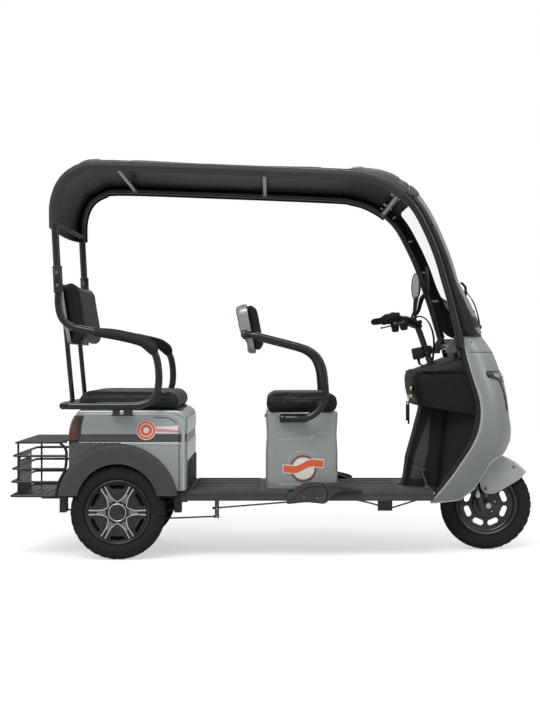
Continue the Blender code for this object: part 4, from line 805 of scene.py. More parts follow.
class Workpiece:
    """A mesh in the making, shaped with the mesh operators."""

    def __init__(self) -> None:
        """Starts with nothing."""
        self.mesh = bmesh.new()

    def _bevel(self, edges: Iterable[bmesh.types.BMEdge], width: float, segments: int) -> None:
        """Rounds edges.

        Args:
            edges: the edges to round.
            width: how wide the rounding is.
            segments: how many segments each rounded edge has.
        """
        bmesh.ops.bevel(
            self.mesh, geom=list(edges), offset=width, segments=segments, profile=0.5, affect="EDGES",
            material=-1, clamp_overlap=True,
        )

    def block(
        self, low: Sequence[float], high: Sequence[float], round_by: float = 0.0, segments: int = 2,
        place: Matrix | None = None,
    ) -> None:
        """A box between two corners, with rounded edges, set at a place.

        Args:
            low: its lowest corner.
            high: its highest corner.
            round_by: the radius of its rounded edges.
            segments: how many segments each rounded edge has.
            place: where it is set.
        """
        low, high = Vector(low), Vector(high)
        shape = Matrix.Translation((low + high) / 2) @ Matrix.Diagonal((high - low)).to_4x4()
        made = bmesh.ops.create_cube(self.mesh, size=1.0, matrix=(place or Matrix()) @ shape)["verts"]
        if round_by:
            self._bevel({edge for vertex in made for edge in vertex.link_edges}, round_by, segments)

    def rod(
        self, start: Sequence[float], end: Sequence[float], radius: float, sides: int = 24,
        round_by: float = 0.0, end_radius: float | None = None,
    ) -> None:
        """A round or many-sided bar from one point to another, with its two rims rounded.

        Args:
            start: where it begins.
            end: where it ends.
            radius: its radius.
            sides: how many sides it has.
            round_by: the radius of its rounded edges.
            end_radius: its radius at the end, if that differs.
        """
        start, end = Vector(start), Vector(end)
        made = bmesh.ops.create_cone(
            self.mesh, cap_ends=True, segments=sides, radius1=radius,
            radius2=radius if end_radius is None else end_radius, depth=(end - start).length,
            matrix=facing((start + end) / 2, end - start),
        )["verts"]
        if round_by:
            rims = {
                e
                for v in made
                for e in v.link_edges
                if any(len(f.verts) > 4 or sides == 4 for f in e.link_faces)
            }
            self._bevel(rims, round_by, 2)

    def sweep(
        self, path: Path, radius: float | Sequence[float], sides: int = 16, flat: float = 1.0,
        closed: bool = False, soft_ends: bool = False, up: Vector = UP,
    ) -> None:
        """A round bar along a path.

        Args:
            path: the points of its middle line.
            radius: its radius, or one for each point.
            sides: how many sides it has.
            flat: how high its section is against its width.
            closed: whether the path closes on itself.
            soft_ends: whether its ends are rounded off.
            up: the direction that the section's height lies near.
        """
        points = [Vector(p) for p in path]
        radii = list(radius) if isinstance(radius, (list, tuple)) else [radius] * len(points)
        if soft_ends:
            ahead, back = (points[1] - points[0]).normalized(), (points[-2] - points[-1]).normalized()
            points = [points[0] - ahead * radii[0] * 0.55, points[0] - ahead * radii[0] * 0.25] + points
            points += [points[-1] - back * radii[-1] * 0.25, points[-1] - back * radii[-1] * 0.55]
            radii = [radii[0] * 0.45, radii[0] * 0.85] + radii + [radii[-1] * 0.85, radii[-1] * 0.45]
        count = len(points)
        frames, reference = [], up
        for index, point in enumerate(points):
            before = points[index - 1] if index or closed else point
            after = points[(index + 1) % count] if index + 1 < count or closed else point
            placed = facing(point, after - before, reference)
            reference = placed.to_3x3().col[1].copy()
            frames.append(placed @ Matrix.Diagonal((radii[index], radii[index] * flat, 1.0, 1.0)))
        ring = bmesh.ops.create_circle(self.mesh, segments=sides, radius=1.0, matrix=frames[0])["verts"]
        first = edges = [e for v in ring for e in v.link_edges if e.verts[0] in ring and e.verts[1] in ring]
        first = edges = list(dict.fromkeys(edges))
        for last_frame, next_frame in zip(frames, frames[1:]):
            made = bmesh.ops.extrude_edge_only(self.mesh, edges=edges)["geom"]
            verts = [g for g in made if isinstance(g, bmesh.types.BMVert)]
            edges = [g for g in made if isinstance(g, bmesh.types.BMEdge)]
            bmesh.ops.transform(self.mesh, matrix=next_frame @ last_frame.inverted(), verts=verts)
        if closed:
            bmesh.ops.bridge_loops(self.mesh, edges=first + edges)
        else:
            bmesh.ops.edgeloop_fill(self.mesh, edges=first)
            bmesh.ops.edgeloop_fill(self.mesh, edges=edges)

    def turned(
        self, profile: Sequence[tuple[float, float]], centre: Vector, steps: int = 64, axis: Vector = ACROSS,
        closed: bool = True,
    ) -> None:
        """A turned shape: the profile gives radius and place along the axis.

        Args:
            profile: pairs of a radius and a place along the axis.
            centre: the point on the axis that it is built about.
            steps: how many steps it is made in.
            axis: the axis.
            closed: whether the profile closes on itself.
        """
        placed = facing(Vector(centre), axis)
        verts = [self.mesh.verts.new(placed @ Vector((radius, 0.0, along))) for radius, along in profile]
        pairs = list(zip(verts, verts[1:])) + ([(verts[-1], verts[0])] if closed else [])
        edges = [self.mesh.edges.new(pair) for pair in pairs]
        bmesh.ops.spin(
            self.mesh, geom=verts + edges, cent=Vector(centre), axis=axis.normalized(), dvec=(0, 0, 0),
            angle=math.tau, steps=steps, use_merge=True, use_duplicate=False,
        )
        bmesh.ops.remove_doubles(self.mesh, verts=self.mesh.verts, dist=1e-6)

    def plate(
        self, outline: Sequence[tuple[float, float]], depth: float, place: Matrix, round_by: float = 0.0,
        segments: int = 2, holes: Sequence[Sequence[tuple[float, float]]] = (),
    ) -> None:
        """A flat outline in a place's X and Y, raised along its Z, with its front rim rounded.

        Args:
            outline: the corners in turn.
            depth: how far it is raised.
            place: where it is set.
            round_by: the radius of its rounded edges.
            segments: how many segments each rounded edge has.
            holes: outlines that are cut out of it.
        """
        rims = []
        for loop in (outline, *holes):
            verts = [self.mesh.verts.new(place @ Vector((x, y, 0.0))) for x, y in loop]
            rims += [self.mesh.edges.new(pair) for pair in zip(verts, verts[1:] + verts[:1])]
        if holes:
            filled = bmesh.ops.triangle_fill(self.mesh, edges=rims, use_beauty=True)["geom"]
        else:
            filled = bmesh.ops.edgeloop_fill(self.mesh, edges=rims)["faces"]
        faces = [g for g in filled if isinstance(g, bmesh.types.BMFace)]
        made = bmesh.ops.extrude_face_region(self.mesh, geom=faces)["geom"]
        verts = [g for g in made if isinstance(g, bmesh.types.BMVert)]
        bmesh.ops.translate(self.mesh, verts=verts, vec=place.to_3x3() @ Vector((0, 0, depth)))
        if round_by:
            top = {g for g in made if isinstance(g, bmesh.types.BMFace)}
            self._bevel(
                [e for f in top for e in f.edges if len(set(e.link_faces) & top) == 1], round_by, segments
            )

    def surface(
        self, columns: int, rows: int, place: Callable[[float, float], Vector],
        kept: Callable[[float, float], bool] | None = None,
    ) -> None:
        """A curved sheet: place gives the point for shares 0 to 1 across and along.

        Args:
            columns: how many columns of faces there are.
            rows: how many rows of faces there are.
            place: gives the point for two shares.
            kept: tells whether the face at two shares stays.
        """
        made = bmesh.ops.create_grid(self.mesh, x_segments=columns, y_segments=rows, size=0.5)["verts"]
        shares = {vertex: (vertex.co.x + 0.5, vertex.co.y + 0.5) for vertex in made}
        if kept:
            faces = {face for vertex in made for face in vertex.link_faces}
            gone = []
            for face in faces:
                across = sum(shares[v][0] for v in face.verts) / len(face.verts)
                along = sum(shares[v][1] for v in face.verts) / len(face.verts)
                if not kept(across, along):
                    gone.append(face)
            bmesh.ops.delete(self.mesh, geom=gone, context="FACES")
        for vertex, (across, along) in shares.items():
            if vertex.is_valid:
                vertex.co = place(across, along)

    def rings(
        self, count: int, rings: int, place: Callable[[float, float], Vector], filled: bool = False,
    ) -> None:
        """A sheet between two closed lines: place gives the point for shares round and inwards.

        Args:
            count: how many points lie round the line.
            rings: how many rings lie between the two lines.
            place: gives the point for two shares.
            filled: whether the inner line is closed by a face.
        """
        made = bmesh.ops.create_circle(self.mesh, segments=count, radius=1.0)["verts"]
        made.sort(key=lambda v: math.atan2(v.co.y, v.co.x) % math.tau)
        edges = list(dict.fromkeys(e for v in made for e in v.link_edges))
        verts = made
        for number in range(rings + 1):
            for index, vertex in enumerate(verts):
                vertex.co = place(index / count, number / rings)
            if number == rings:
                break
            known = {tuple(v.co): i for i, v in enumerate(verts)}
            extruded = bmesh.ops.extrude_edge_only(self.mesh, edges=edges)["geom"]
            fresh = [g for g in extruded if isinstance(g, bmesh.types.BMVert)]
            edges = [g for g in extruded if isinstance(g, bmesh.types.BMEdge)]
            verts = sorted(fresh, key=lambda v: known[tuple(v.co)])
        if filled:
            bmesh.ops.edgeloop_fill(self.mesh, edges=edges)

    def hexagon(
        self, place: Vector, direction: Vector, across: float, height: float, washer: float = 0.0,
    ) -> None:
        """A bolt head on its washer, standing from a place along a direction.

        Args:
            place: the middle of its foot.
            direction: the way that it points.
            across: its size across the flats.
            height: how far it stands out.
            washer: the radius of its washer, or 0 for none.
        """
        direction = direction.normalized()
        foot = Vector(place)
        if washer:
            self.rod(foot, foot + direction * height * 0.22, washer, 20, height * 0.08)
            foot = foot + direction * height * 0.22
        self.rod(foot, foot + direction * height, across / 2, 6, height * 0.16)
        self.rod(
            foot + direction * height * 0.9, foot + direction * height * 1.12, across * 0.28, 14,
            height * 0.06
        )

    def button(self, place: Vector, direction: Vector, radius: float, height: float) -> None:
        """A domed rivet, stud or screw head.

        Args:
            place: where it is set.
            direction: the way that it points.
            radius: its radius.
            height: how far it stands out.
        """
        profile = [(0.0, 0.0), (radius, 0.0), (radius, height * 0.25), (radius * 0.86, height * 0.62),
                   (radius * 0.55, height * 0.9), (radius * 0.25, height), (0.0, height)]
        self.turned(profile, Vector(place), 16, direction, closed=False)

    def round_copies(self, start: int, count: int, centre: Vector, axis: Vector = ACROSS) -> None:
        """Repeats what was added since the mesh had start vertices, evenly round an axis.

        Args:
            start: how many vertices there were before the part to repeat.
            count: how many of it there are at last.
            centre: the point on the axis that it is built about.
            axis: the axis.
        """
        self.mesh.verts.ensure_lookup_table()
        verts = self.mesh.verts[start:]
        edges = list(dict.fromkeys(e for v in verts for e in v.link_edges))
        faces = list(dict.fromkeys(f for v in verts for f in v.link_faces))
        bmesh.ops.spin(
            self.mesh, geom=verts + edges + faces, cent=centre, axis=axis, dvec=(0, 0, 0),
            angle=math.tau * (count - 1) / count, steps=count - 1, use_merge=False, use_duplicate=True,
        )

    def bore(self, centre: Vector, axis: Vector, radius: float) -> None:
        """Opens a round hole through the mesh about an axis and draws its rim round.

        Args:
            centre: the point on the axis that it is built about.
            axis: the axis.
            radius: its radius.
        """
        axis = axis.normalized()

        def away(point: Vector) -> Vector:
            """The way from the bore's axis to a point, square to the axis."""
            return (point - centre) - axis * (point - centre).dot(axis)

        gone = [f for f in self.mesh.faces if away(f.calc_center_median()).length < radius]
        bmesh.ops.delete(self.mesh, geom=gone, context="FACES")
        for vertex in self.mesh.verts:
            reach = away(vertex.co)
            if vertex.is_boundary and reach.length < radius * 1.4:
                vertex.co += reach.normalized() * (radius - reach.length)

    def count(self) -> int:
        """How many vertices there are so far."""
        return len(self.mesh.verts)

    def close_cuts(self) -> None:
        """Fills every open edge loop."""
        bmesh.ops.remove_doubles(self.mesh, verts=self.mesh.verts, dist=1e-6)
        bmesh.ops.holes_fill(self.mesh, edges=[e for e in self.mesh.edges if e.is_boundary], sides=0)

    def clip(self, place: Sequence[float], outward: Sequence[float]) -> None:
        """Cuts away what lies outward of a plane and leaves the cut open."""
        geometry = self.mesh.verts[:] + self.mesh.edges[:] + self.mesh.faces[:]
        bmesh.ops.bisect_plane(self.mesh, geom=geometry, plane_co=place, plane_no=outward, clear_outer=True)


def show(
    work: Workpiece, name: str, finish: Finish, body: str, slot: Slot, stands_for: Sequence[str] = (),
    thickness: float = 0.0, bevel: float = 0.0, levels: int = 0, sharp: float = 40.0, closed: bool = True,
) -> bpy.types.Object:
    """Makes a workpiece a finished piece of the vehicle.

    Args:
        work: the mesh in the making.
        name: the piece's name.
        finish: its finish.
        body: the frame body that it rides on.
        slot: the record's material slot, handed on to attach, which does not use it.
        stands_for: the frame nodes that it stands for.
        thickness: the wall that a sheet is given, half to each side.
        bevel: the width of a live bevel on its sharp edges.
        levels: subdivision levels.
        sharp: edges that turn by more than this many degrees stay crisp.
        closed: whether its normals are recalculated, as for any closed shape or plain sheet.

    Returns:
        The piece.
    """
    shape = work.mesh
    bmesh.ops.remove_doubles(shape, verts=shape.verts, dist=1e-6)
    if closed:
        bmesh.ops.recalc_face_normals(shape, faces=shape.faces)
    limit = math.radians(sharp)
    for face in shape.faces:
        face.smooth = True
    for edge in shape.edges:
        edge.smooth = len(edge.link_faces) == 2 and edge.calc_face_angle(0.0) < limit
    data = bpy.data.meshes.new(name)
    shape.to_mesh(data)
    shape.free()
    data.materials.append(material_of(finish))
    piece = bpy.data.objects.new(name, data)
    bpy.context.scene.collection.objects.link(piece)
    if thickness:
        wall = piece.modifiers.new("wall", "SOLIDIFY")
        wall.thickness = thickness
        wall.offset = 0.0
        wall.use_even_offset = True
    if bevel:
        rounding = piece.modifiers.new("rounding", "BEVEL")
        rounding.width = bevel
        rounding.segments = 2
        rounding.limit_method = "ANGLE"
        rounding.harden_normals = True
    if levels:
        smoothing = piece.modifiers.new("smoothing", "SUBSURF")
        smoothing.levels = smoothing.render_levels = levels
    attach(piece, body, slot, stands_for)
    return piece


def attach(piece: bpy.types.Object, body: str, slot: Slot, stands_for: Sequence[str] = ()) -> None:
    """Hangs a piece on its body, hides the frame nodes that it stands for, and reports it.

    Args:
        piece: the finished piece.
        body: the body that it rides on.
        slot: the material slot; not used.
        stands_for: the frame nodes that it stands for.
    """
    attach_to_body(piece, body)
    if stands_for:
        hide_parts(*stands_for)
    LOG.info(
        "%s rides on %s, %d faces", piece.name, body,
        len(piece.data.polygons) if piece.type == "MESH" else 0
    )


def dress(node: str, finish: Finish) -> None:
    """Gives a frame node that stays in view a better material.

    Args:
        node: the frame node.
        finish: the finish to build.
    """
    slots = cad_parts[node].material_slots
    for slot in slots:
        slot.material = material_of(finish)
    if not slots:
        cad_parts[node].data.materials.append(material_of(finish))
    LOG.info("%s keeps its own shape in %s", node, finish.name)


@dataclass(frozen=True)
class RoundedPlan:
    """A rectangle with round corners, walked by its share of the way round."""

    low: tuple[float, float]
    high: tuple[float, float]
    radius: float

    def at(self, share: float, out: float = 0.0) -> Vector:
        """The point at a share of the way round, moved outwards, as x and y.

        Args:
            share: the share of the way.
            out: how far outwards.

        Returns:
            The point as x and y.
        """
        r = self.radius
        width, depth = self.high[0] - self.low[0] - 2 * r, self.high[1] - self.low[1] - 2 * r
        right, left, far, near = self.high[0] - r, self.low[0] + r, self.high[1] - r, self.low[1] + r
        arc = math.pi * r / 2
        way = share % 1.0 * (2 * (width + depth) + 4 * arc)
        sides = ((depth, (right, far)), (width, (left, far)), (depth, (left, near)), (width, (right, near)))
        for number, (straight, corner) in enumerate(sides):
            if way > straight + arc and number < 3:
                way -= straight + arc
                continue
            turn = math.pi / 2 * (number + max(0.0, way - straight) / arc)
            normal = Vector((math.cos(turn), math.sin(turn)))
            back = max(0.0, straight - way)
            return Vector(corner) + normal * (r + out) - Vector((-normal.y, normal.x)) * back
        return Vector(self.low)


# ---------------------------------------------------------------- studio


@dataclass(frozen=True)
class Studio:
    """The camera, the lamps, the pale floor and the world."""

    eye: tuple[float, float, float] = (-0.030, -5.70, 0.8817)
    lens: float = 60.935
    floor_half: float = 60.0
    sky: float = 0.40

    def build(self) -> None:
        """Makes all four."""
        scene = bpy.context.scene
        scene.view_settings.view_transform = "Standard"
        self.camera(scene)
        self.lamps(scene)
        self.floor(scene)
        self.world(scene)

    def camera(self, scene: bpy.types.Scene) -> None:
        """Looks level across the vehicle's right side.

        Args:
            scene: the scene that it is added to.
        """
        data = bpy.data.cameras.new("camera")
        data.lens = self.lens
        data.clip_end = 400.0
        camera = bpy.data.objects.new("camera", data)
        camera.location = self.eye
        camera.rotation_euler = (math.pi / 2, 0.0, 0.0)
        scene.collection.objects.link(camera)
        scene.camera = camera

    def lamps(self, scene: bpy.types.Scene) -> None:
        """A broad soft key, and long narrow lamps that draw thin lights along the tubes.

        Args:
            scene: the scene that it is added to.
        """
        key = bpy.data.lights.new("key", "SUN")
        key.energy = 1.40
        key.angle = math.radians(38)
        self.hang(scene, key, (-1.6, -3.2, 5.0))
        for name, place, size, power in (
            ("strip_high", (0.2, -2.6, 4.2), (4.6, 0.30), 42.0),
            ("strip_far", (-0.4, 3.4, 3.6), (4.0, 0.45), 30.0),
            ("strip_front", (4.2, -1.6, 2.4), (0.35, 3.0), 22.0),
            ("strip_rear", (-4.4, -1.0, 2.6), (0.35, 3.0), 18.0),
        ):
            data = bpy.data.lights.new(name, "AREA")
            data.shape = "RECTANGLE"
            data.size, data.size_y = size
            data.energy = power
            self.hang(scene, data, place)

    def hang(self, scene: bpy.types.Scene, data: bpy.types.Light, place: Sequence[float]) -> None:
        """Hangs a lamp so that it points at the middle of the vehicle.

        Args:
            scene: the scene that it is added to.
            data: the lamp's data.
            place: where it is set.
        """
        lamp = bpy.data.objects.new(data.name, data)
        lamp.matrix_world = facing(Vector(place), Vector(place) - Vector((0.0, 0.0, 0.8)))
        scene.collection.objects.link(lamp)

    def floor(self, scene: bpy.types.Scene) -> None:
        """A pale floor that shows as white where it is lit and keeps the vehicle's shadow.

        Args:
            scene: the scene that it is added to.
        """
        shape = bmesh.new()
        bmesh.ops.create_grid(shape, x_segments=1, y_segments=1, size=self.floor_half)
        data = bpy.data.meshes.new("floor")
        shape.to_mesh(data)
        shape.free()
        tree = FinishTree("floor")
        seen = tree.node("ShaderNodeLightPath", output="Is Camera Ray")
        grit = tree.mixed(tree.cloud(1.2), (0.60, 0.60, 0.60), (0.62, 0.62, 0.62))
        glow = tree.mixed(seen, (0.0, 0.0, 0.0), (0.56, 0.56, 0.56))
        tree.set(
            base_color=grit, roughness=0.9, specular_ior_level=0.0, emission_color=glow,
            emission_strength=1.0
        )
        data.materials.append(tree.material)
        floor = bpy.data.objects.new("floor", data)
        scene.collection.objects.link(floor)

    def world(self, scene: bpy.types.Scene) -> None:
        """White to the camera and through glass, softer where it lights, and dim near the horizon in gloss.

        Args:
            scene: the scene that it is added to.
        """
        world = bpy.data.worlds.new("studio")
        world.use_nodes = True
        nodes, links = world.node_tree.nodes, world.node_tree.links
        nodes.clear()

        def backdrop(strength: float) -> bpy.types.NodeSocket:
            """A plain white backdrop of one strength.

            Args:
                strength: how bright it is.

            Returns:
                The shader's output.
            """
            node = nodes.new("ShaderNodeBackground")
            node.inputs["Color"].default_value = (1.0, 1.0, 1.0, 1.0)
            node.inputs["Strength"].default_value = strength
            return node.outputs[0]

        def mix(
            factor: bpy.types.NodeSocket, first: bpy.types.NodeSocket, second: bpy.types.NodeSocket
        ) -> bpy.types.NodeSocket:
            """A blend of two shaders.

            Args:
                factor: how much of the second shows.
                first: the first shader.
                second: the second shader.

            Returns:
                The mixed shader's output.
            """
            node = nodes.new("ShaderNodeMixShader")
            for socket, source in zip(node.inputs, (factor, first, second)):
                links.new(source, socket)
            return node.outputs[0]

        path = nodes.new("ShaderNodeLightPath")
        apart = nodes.new("ShaderNodeSeparateXYZ")
        links.new(nodes.new("ShaderNodeTexCoord").outputs["Generated"], apart.inputs[0])
        height = nodes.new("ShaderNodeMapRange")
        height.inputs["From Min"].default_value = -0.05
        height.inputs["From Max"].default_value = 0.85
        links.new(apart.outputs["Z"], height.inputs["Value"])
        clear = nodes.new("ShaderNodeMath")
        clear.operation = "MAXIMUM"
        links.new(path.outputs["Is Camera Ray"], clear.inputs[0])
        links.new(path.outputs["Is Transmission Ray"], clear.inputs[1])
        gloss = mix(height.outputs[0], backdrop(0.22), backdrop(1.0))
        seen = mix(path.outputs["Is Glossy Ray"], backdrop(self.sky), gloss)
        seen = mix(clear.outputs[0], seen, backdrop(1.0))
        links.new(seen, nodes.new("ShaderNodeOutputWorld").inputs[0])
        scene.world = world


# ---------------------------------------------------------------- wheels


@dataclass(frozen=True)
class Wheel:
    """A tyre and its rim: the parts that the front and rear wheels share."""

    centre: Vector
    body: str
    side: int = 1
    radius: float = 0.21
    bead: float = 0.132
    lugs: int = 30

    def spoke(self, radius: float, degrees: float, out: float) -> Vector:
        """A point at a radius and a turn round the wheel, some way out from its middle.

        Args:
            radius: its radius.
            degrees: the turn round the wheel.
            out: how far out from the wheel's middle.

        Returns:
            The point.
        """
        turn = math.radians(degrees)
        across = Vector((math.cos(turn), 0.0, math.sin(turn))) * radius
        return self.centre + across + ACROSS * (out * self.side)

    def tyre(self, name: str) -> None:
        """The rubber: carcass, rib rings and four rows of tread lugs.

        Args:
            name: the name that its pieces carry.
        """
        half = flowing(((0.132, 0.0245, 0), (0.1425, 0.0275, 0), (0.150, 0.0350, 0), (0.160, 0.0385, 0),
                        (0.172, 0.0397, 0), (0.186, 0.0385, 0), (0.196, 0.0345, 0), (0.2022, 0.027, 0),
                        (0.2050, 0.014, 0), (0.2056, 0.0, 0)), 3)
        outer = [(p.x, p.y) for p in half]
        inner = [(0.196, 0.0), (0.192, 0.024), (0.175, 0.031), (0.150, 0.028), (0.134, 0.016)]
        profile = [(r, -y) for r, y in outer[:-1]] + outer[::-1]
        profile += [(r, y) for r, y in inner[::-1]] + [(r, -y) for r, y in inner[1:]]
        work = Workpiece()
        work.turned(profile, self.centre, 96)
        for radius, out, thick in (
            (0.1475, 0.0335, 0.0009), (0.1530, 0.0366, 0.0007), (0.1790, 0.0398, 0.0007),
            (0.1905, 0.0372, 0.0010)
        ):
            for side in (-1, 1):
                ring = [
                    (
                        radius + thick * math.cos(t * math.pi / 3),
                        side * out + thick * math.sin(t * math.pi / 3)
                    )
                    for t in range(6)
                ]
                work.turned(ring, self.centre, 96)
        for out, radial, length, width, tilt, slant, shift in (
            (0.0265, 0.2022, 0.0290, 0.0150, 24, 10, 0.5),
            (-0.0265, 0.2022, 0.0290, 0.0150, -24, -10, 0.0),
            (0.0075, 0.2058, 0.0345, 0.0095, 3, -22, 0.25),
            (-0.0075, 0.2058, 0.0345, 0.0095, -3, 22, 0.75),
        ):
            start = work.count()
            turn = math.tau / self.lugs * shift
            up = Vector((math.cos(turn), 0.0, math.sin(turn)))
            place = facing(self.centre + up * radial + ACROSS * out, up, ACROSS)
            place = (
                place @ Matrix.Rotation(math.radians(-tilt), 4, "X")
                @ Matrix.Rotation(math.radians(slant), 4, "Z")
            )
            work.block((-length / 2, -width / 2, -0.005), (length / 2, width / 2, 0.0040), 0.0012, 1, place)
            work.round_copies(start, self.lugs, self.centre)
        show(work, name, TYRE, self.body, Slot.TYRE, (name,), sharp=50)

    def barrel(self, work: Workpiece, well: float) -> None:
        """Adds the rim's rolled lips and the hollow section between them.

        Args:
            work: the mesh in the making.
            well: how deep the barrel reaches.
        """
        half = [(0.1395, 0.0335), (0.1412, 0.0325), (0.1416, 0.0305), (0.1402, 0.0280), (0.1345, 0.0260),
                (0.1310, 0.0235), (0.1290, 0.0120), (well, 0.0090)]
        back = [
            (well - 0.0030, 0.0090), (0.1255, 0.0120), (0.1265, 0.0240), (0.1290, 0.0290), (0.1330, 0.0318),
            (0.1375, 0.0338)
        ]
        profile = half + [(r, -y) for r, y in half[::-1]] + [(r, -y) for r, y in back[::-1]] + back
        work.turned(profile, self.centre, 96)


@dataclass(frozen=True)
class RearWheel(Wheel):
    """A rear wheel behind a round cover with six windows and bright arcs."""

    name: str = "right"
    face: float = 0.0335
    windows: int = 6
    arc: tuple[tuple[float, float], ...] = (
        (0.1265, 25.6), (0.118, 25.4), (0.100, 25.0), (0.081, 23.8), (0.065, 19.0), (0.0545, 12.0),
        (0.0495, 5.0), (0.0482, 0.0)
    )

    def build(self) -> None:
        """Makes the tyre, rim, cover, bright arcs and cap."""
        self.tyre(f"rear_tyre_{self.name}")
        self.rim()
        self.cover()
        self.brightwork()

    def rim(self) -> None:
        """The black rim with its drum behind the cover."""
        work = Workpiece()
        self.barrel(work, 0.1200)
        out = self.side
        drum = [
            (0.0135, 0.016), (0.108, 0.014), (0.112, 0.010), (0.1190, 0.0085), (0.1190, 0.0045),
            (0.086, 0.004), (0.086, -0.038), (0.081, -0.040), (0.074, -0.038), (0.074, 0.006),
            (0.032, 0.006), (0.030, -0.012), (0.0135, -0.012)
        ]
        work.turned([(r, y * out) for r, y in drum], self.centre, 72)
        show(
            work, f"rear_rim_{self.name}_pressing", WHEEL_BLACK, self.body, Slot.WHEEL,
            (f"rear_rim_{self.name}",)
        )

    def window(self, degrees: float, grow: float = 0.0) -> list[tuple[float, float]]:
        """The outline of one window in the cover, with round corners, in the wheel's plane.

        Args:
            degrees: the turn to the window's middle.
            grow: how far it is grown outwards.

        Returns:
            The corners in turn.
        """
        low, high, reach = 0.1050 - grow, 0.1225 + grow, 17.0 + grow * 480
        corner = 3.0
        line = []
        for step in range(9):
            line.append((high, -reach + corner + (reach - corner) * step / 4))
        line += [(high - 0.002, reach - 0.8), (high - 0.0055, reach)]
        line += [(low + 0.004, reach - 2.0), (low + 0.001, reach - 4.5)]
        for step in range(7):
            line.append((low, (reach - 7.5) * (1 - step / 3)))
        line += [
            (low + 0.001, 4.5 - reach), (low + 0.004, 2.0 - reach), (high - 0.0055, -reach),
            (high - 0.002, 0.8 - reach)
        ]
        return [
            (r * math.cos(math.radians(degrees + t)), r * math.sin(math.radians(degrees + t)))
            for r, t in line
        ]

    def plane(self, out: float) -> Matrix:
        """The wheel's plane: X ahead, Y up, Z out of its outer side."""
        axes = Matrix((AHEAD, UP, ACROSS * self.side)).transposed().to_4x4()
        return Matrix.Translation(self.centre + ACROSS * (out * self.side)) @ axes

    def cover(self) -> None:
        """The dark grey cover with its six windows, its dished rim and its raised middle."""
        work = Workpiece()
        rim = circle(0.1275, 96)
        holes = [self.window(30 + 60 * index) for index in range(self.windows)]
        work.plate(rim, 0.0030, self.plane(self.face - 0.0030), 0.0009, 2, holes)
        out = self.side
        ring = [
            (0.1285, 0.0290), (0.1285, 0.0345), (0.1272, 0.0358), (0.1245, 0.0350), (0.1240, 0.0325),
            (0.1240, 0.029)
        ]
        work.turned([(r, y * out) for r, y in ring], self.centre, 96)
        middle = [(0.0, 0.0300), (0.0475, 0.0300), (0.0470, 0.0350), (0.0440, 0.0368), (0.0, 0.0368)]
        work.turned([(r, y * out) for r, y in middle], self.centre, 72, closed=False)
        show(work, f"rear_wheel_cover_{self.name}", WHEEL_GREY, self.body, Slot.WHEEL, sharp=32)
        # a near-black disc behind the cover: painted shade that shows through its windows
        dark = Workpiece()
        dark.turned(
            [(0.030, 0.0175 * out), (0.1265, 0.0175 * out), (0.1265, 0.0150 * out), (0.030, 0.0150 * out)],
            self.centre, 72
        )
        show(dark, f"rear_wheel_shade_{self.name}", VOID_BLACK, self.body, Slot.WHEEL)

    def brightwork(self) -> None:
        """The bright arcs round the windows, the ring, the webs between the arcs, and the cap."""
        bright = Workpiece()
        webs = Workpiece()
        for index in range(self.windows):
            middle = 30 + 60 * index
            line = [(r, -t) for r, t in self.arc] + list(reversed(self.arc[:-1]))
            route = flowing([self.spoke(r, middle + t, self.face + 0.0014) for r, t in line], 4)
            radii = [0.0030 + 0.0016 * abs(2 * i / (len(route) - 1) - 1) ** 2 for i in range(len(route))]
            bright.sweep(route, radii, 8, 0.8, up=ACROSS * self.side)
            apart = [
                (0.0515, 17.5), (0.063, 20.6), (0.079, 24.6), (0.090, 25.8), (0.090, 34.2), (0.079, 35.4),
                (0.063, 39.4), (0.0515, 42.5)
            ]
            web = [
                (r * math.cos(math.radians(middle + t)), r * math.sin(math.radians(middle + t)))
                for r, t in apart
            ]
            webs.plate(web, 0.0016, self.plane(self.face), 0.0005, 1)
        ring = [
            (
                0.0375 + 0.0024 * math.cos(t * math.pi / 5),
                (0.0372 + 0.0020 * math.sin(t * math.pi / 5)) * self.side
            )
            for t in range(10)
        ]
        bright.turned(ring, self.centre, 64)
        show(bright, f"rear_wheel_arcs_{self.name}", CHROME, self.body, Slot.WHEEL)
        show(webs, f"rear_wheel_webs_{self.name}", WEB_GREY, self.body, Slot.WHEEL)
        cap = Workpiece()
        dome = [
            (0.0, 0.0362), (0.0345, 0.0362), (0.0342, 0.0385), (0.0325, 0.0396), (0.024, 0.0402),
            (0.0, 0.0405)
        ]
        cap.turned([(r, y * self.side) for r, y in dome], self.centre, 56, closed=False)
        show(cap, f"rear_wheel_cap_{self.name}", WHEEL_GREY, self.body, Slot.WHEEL)


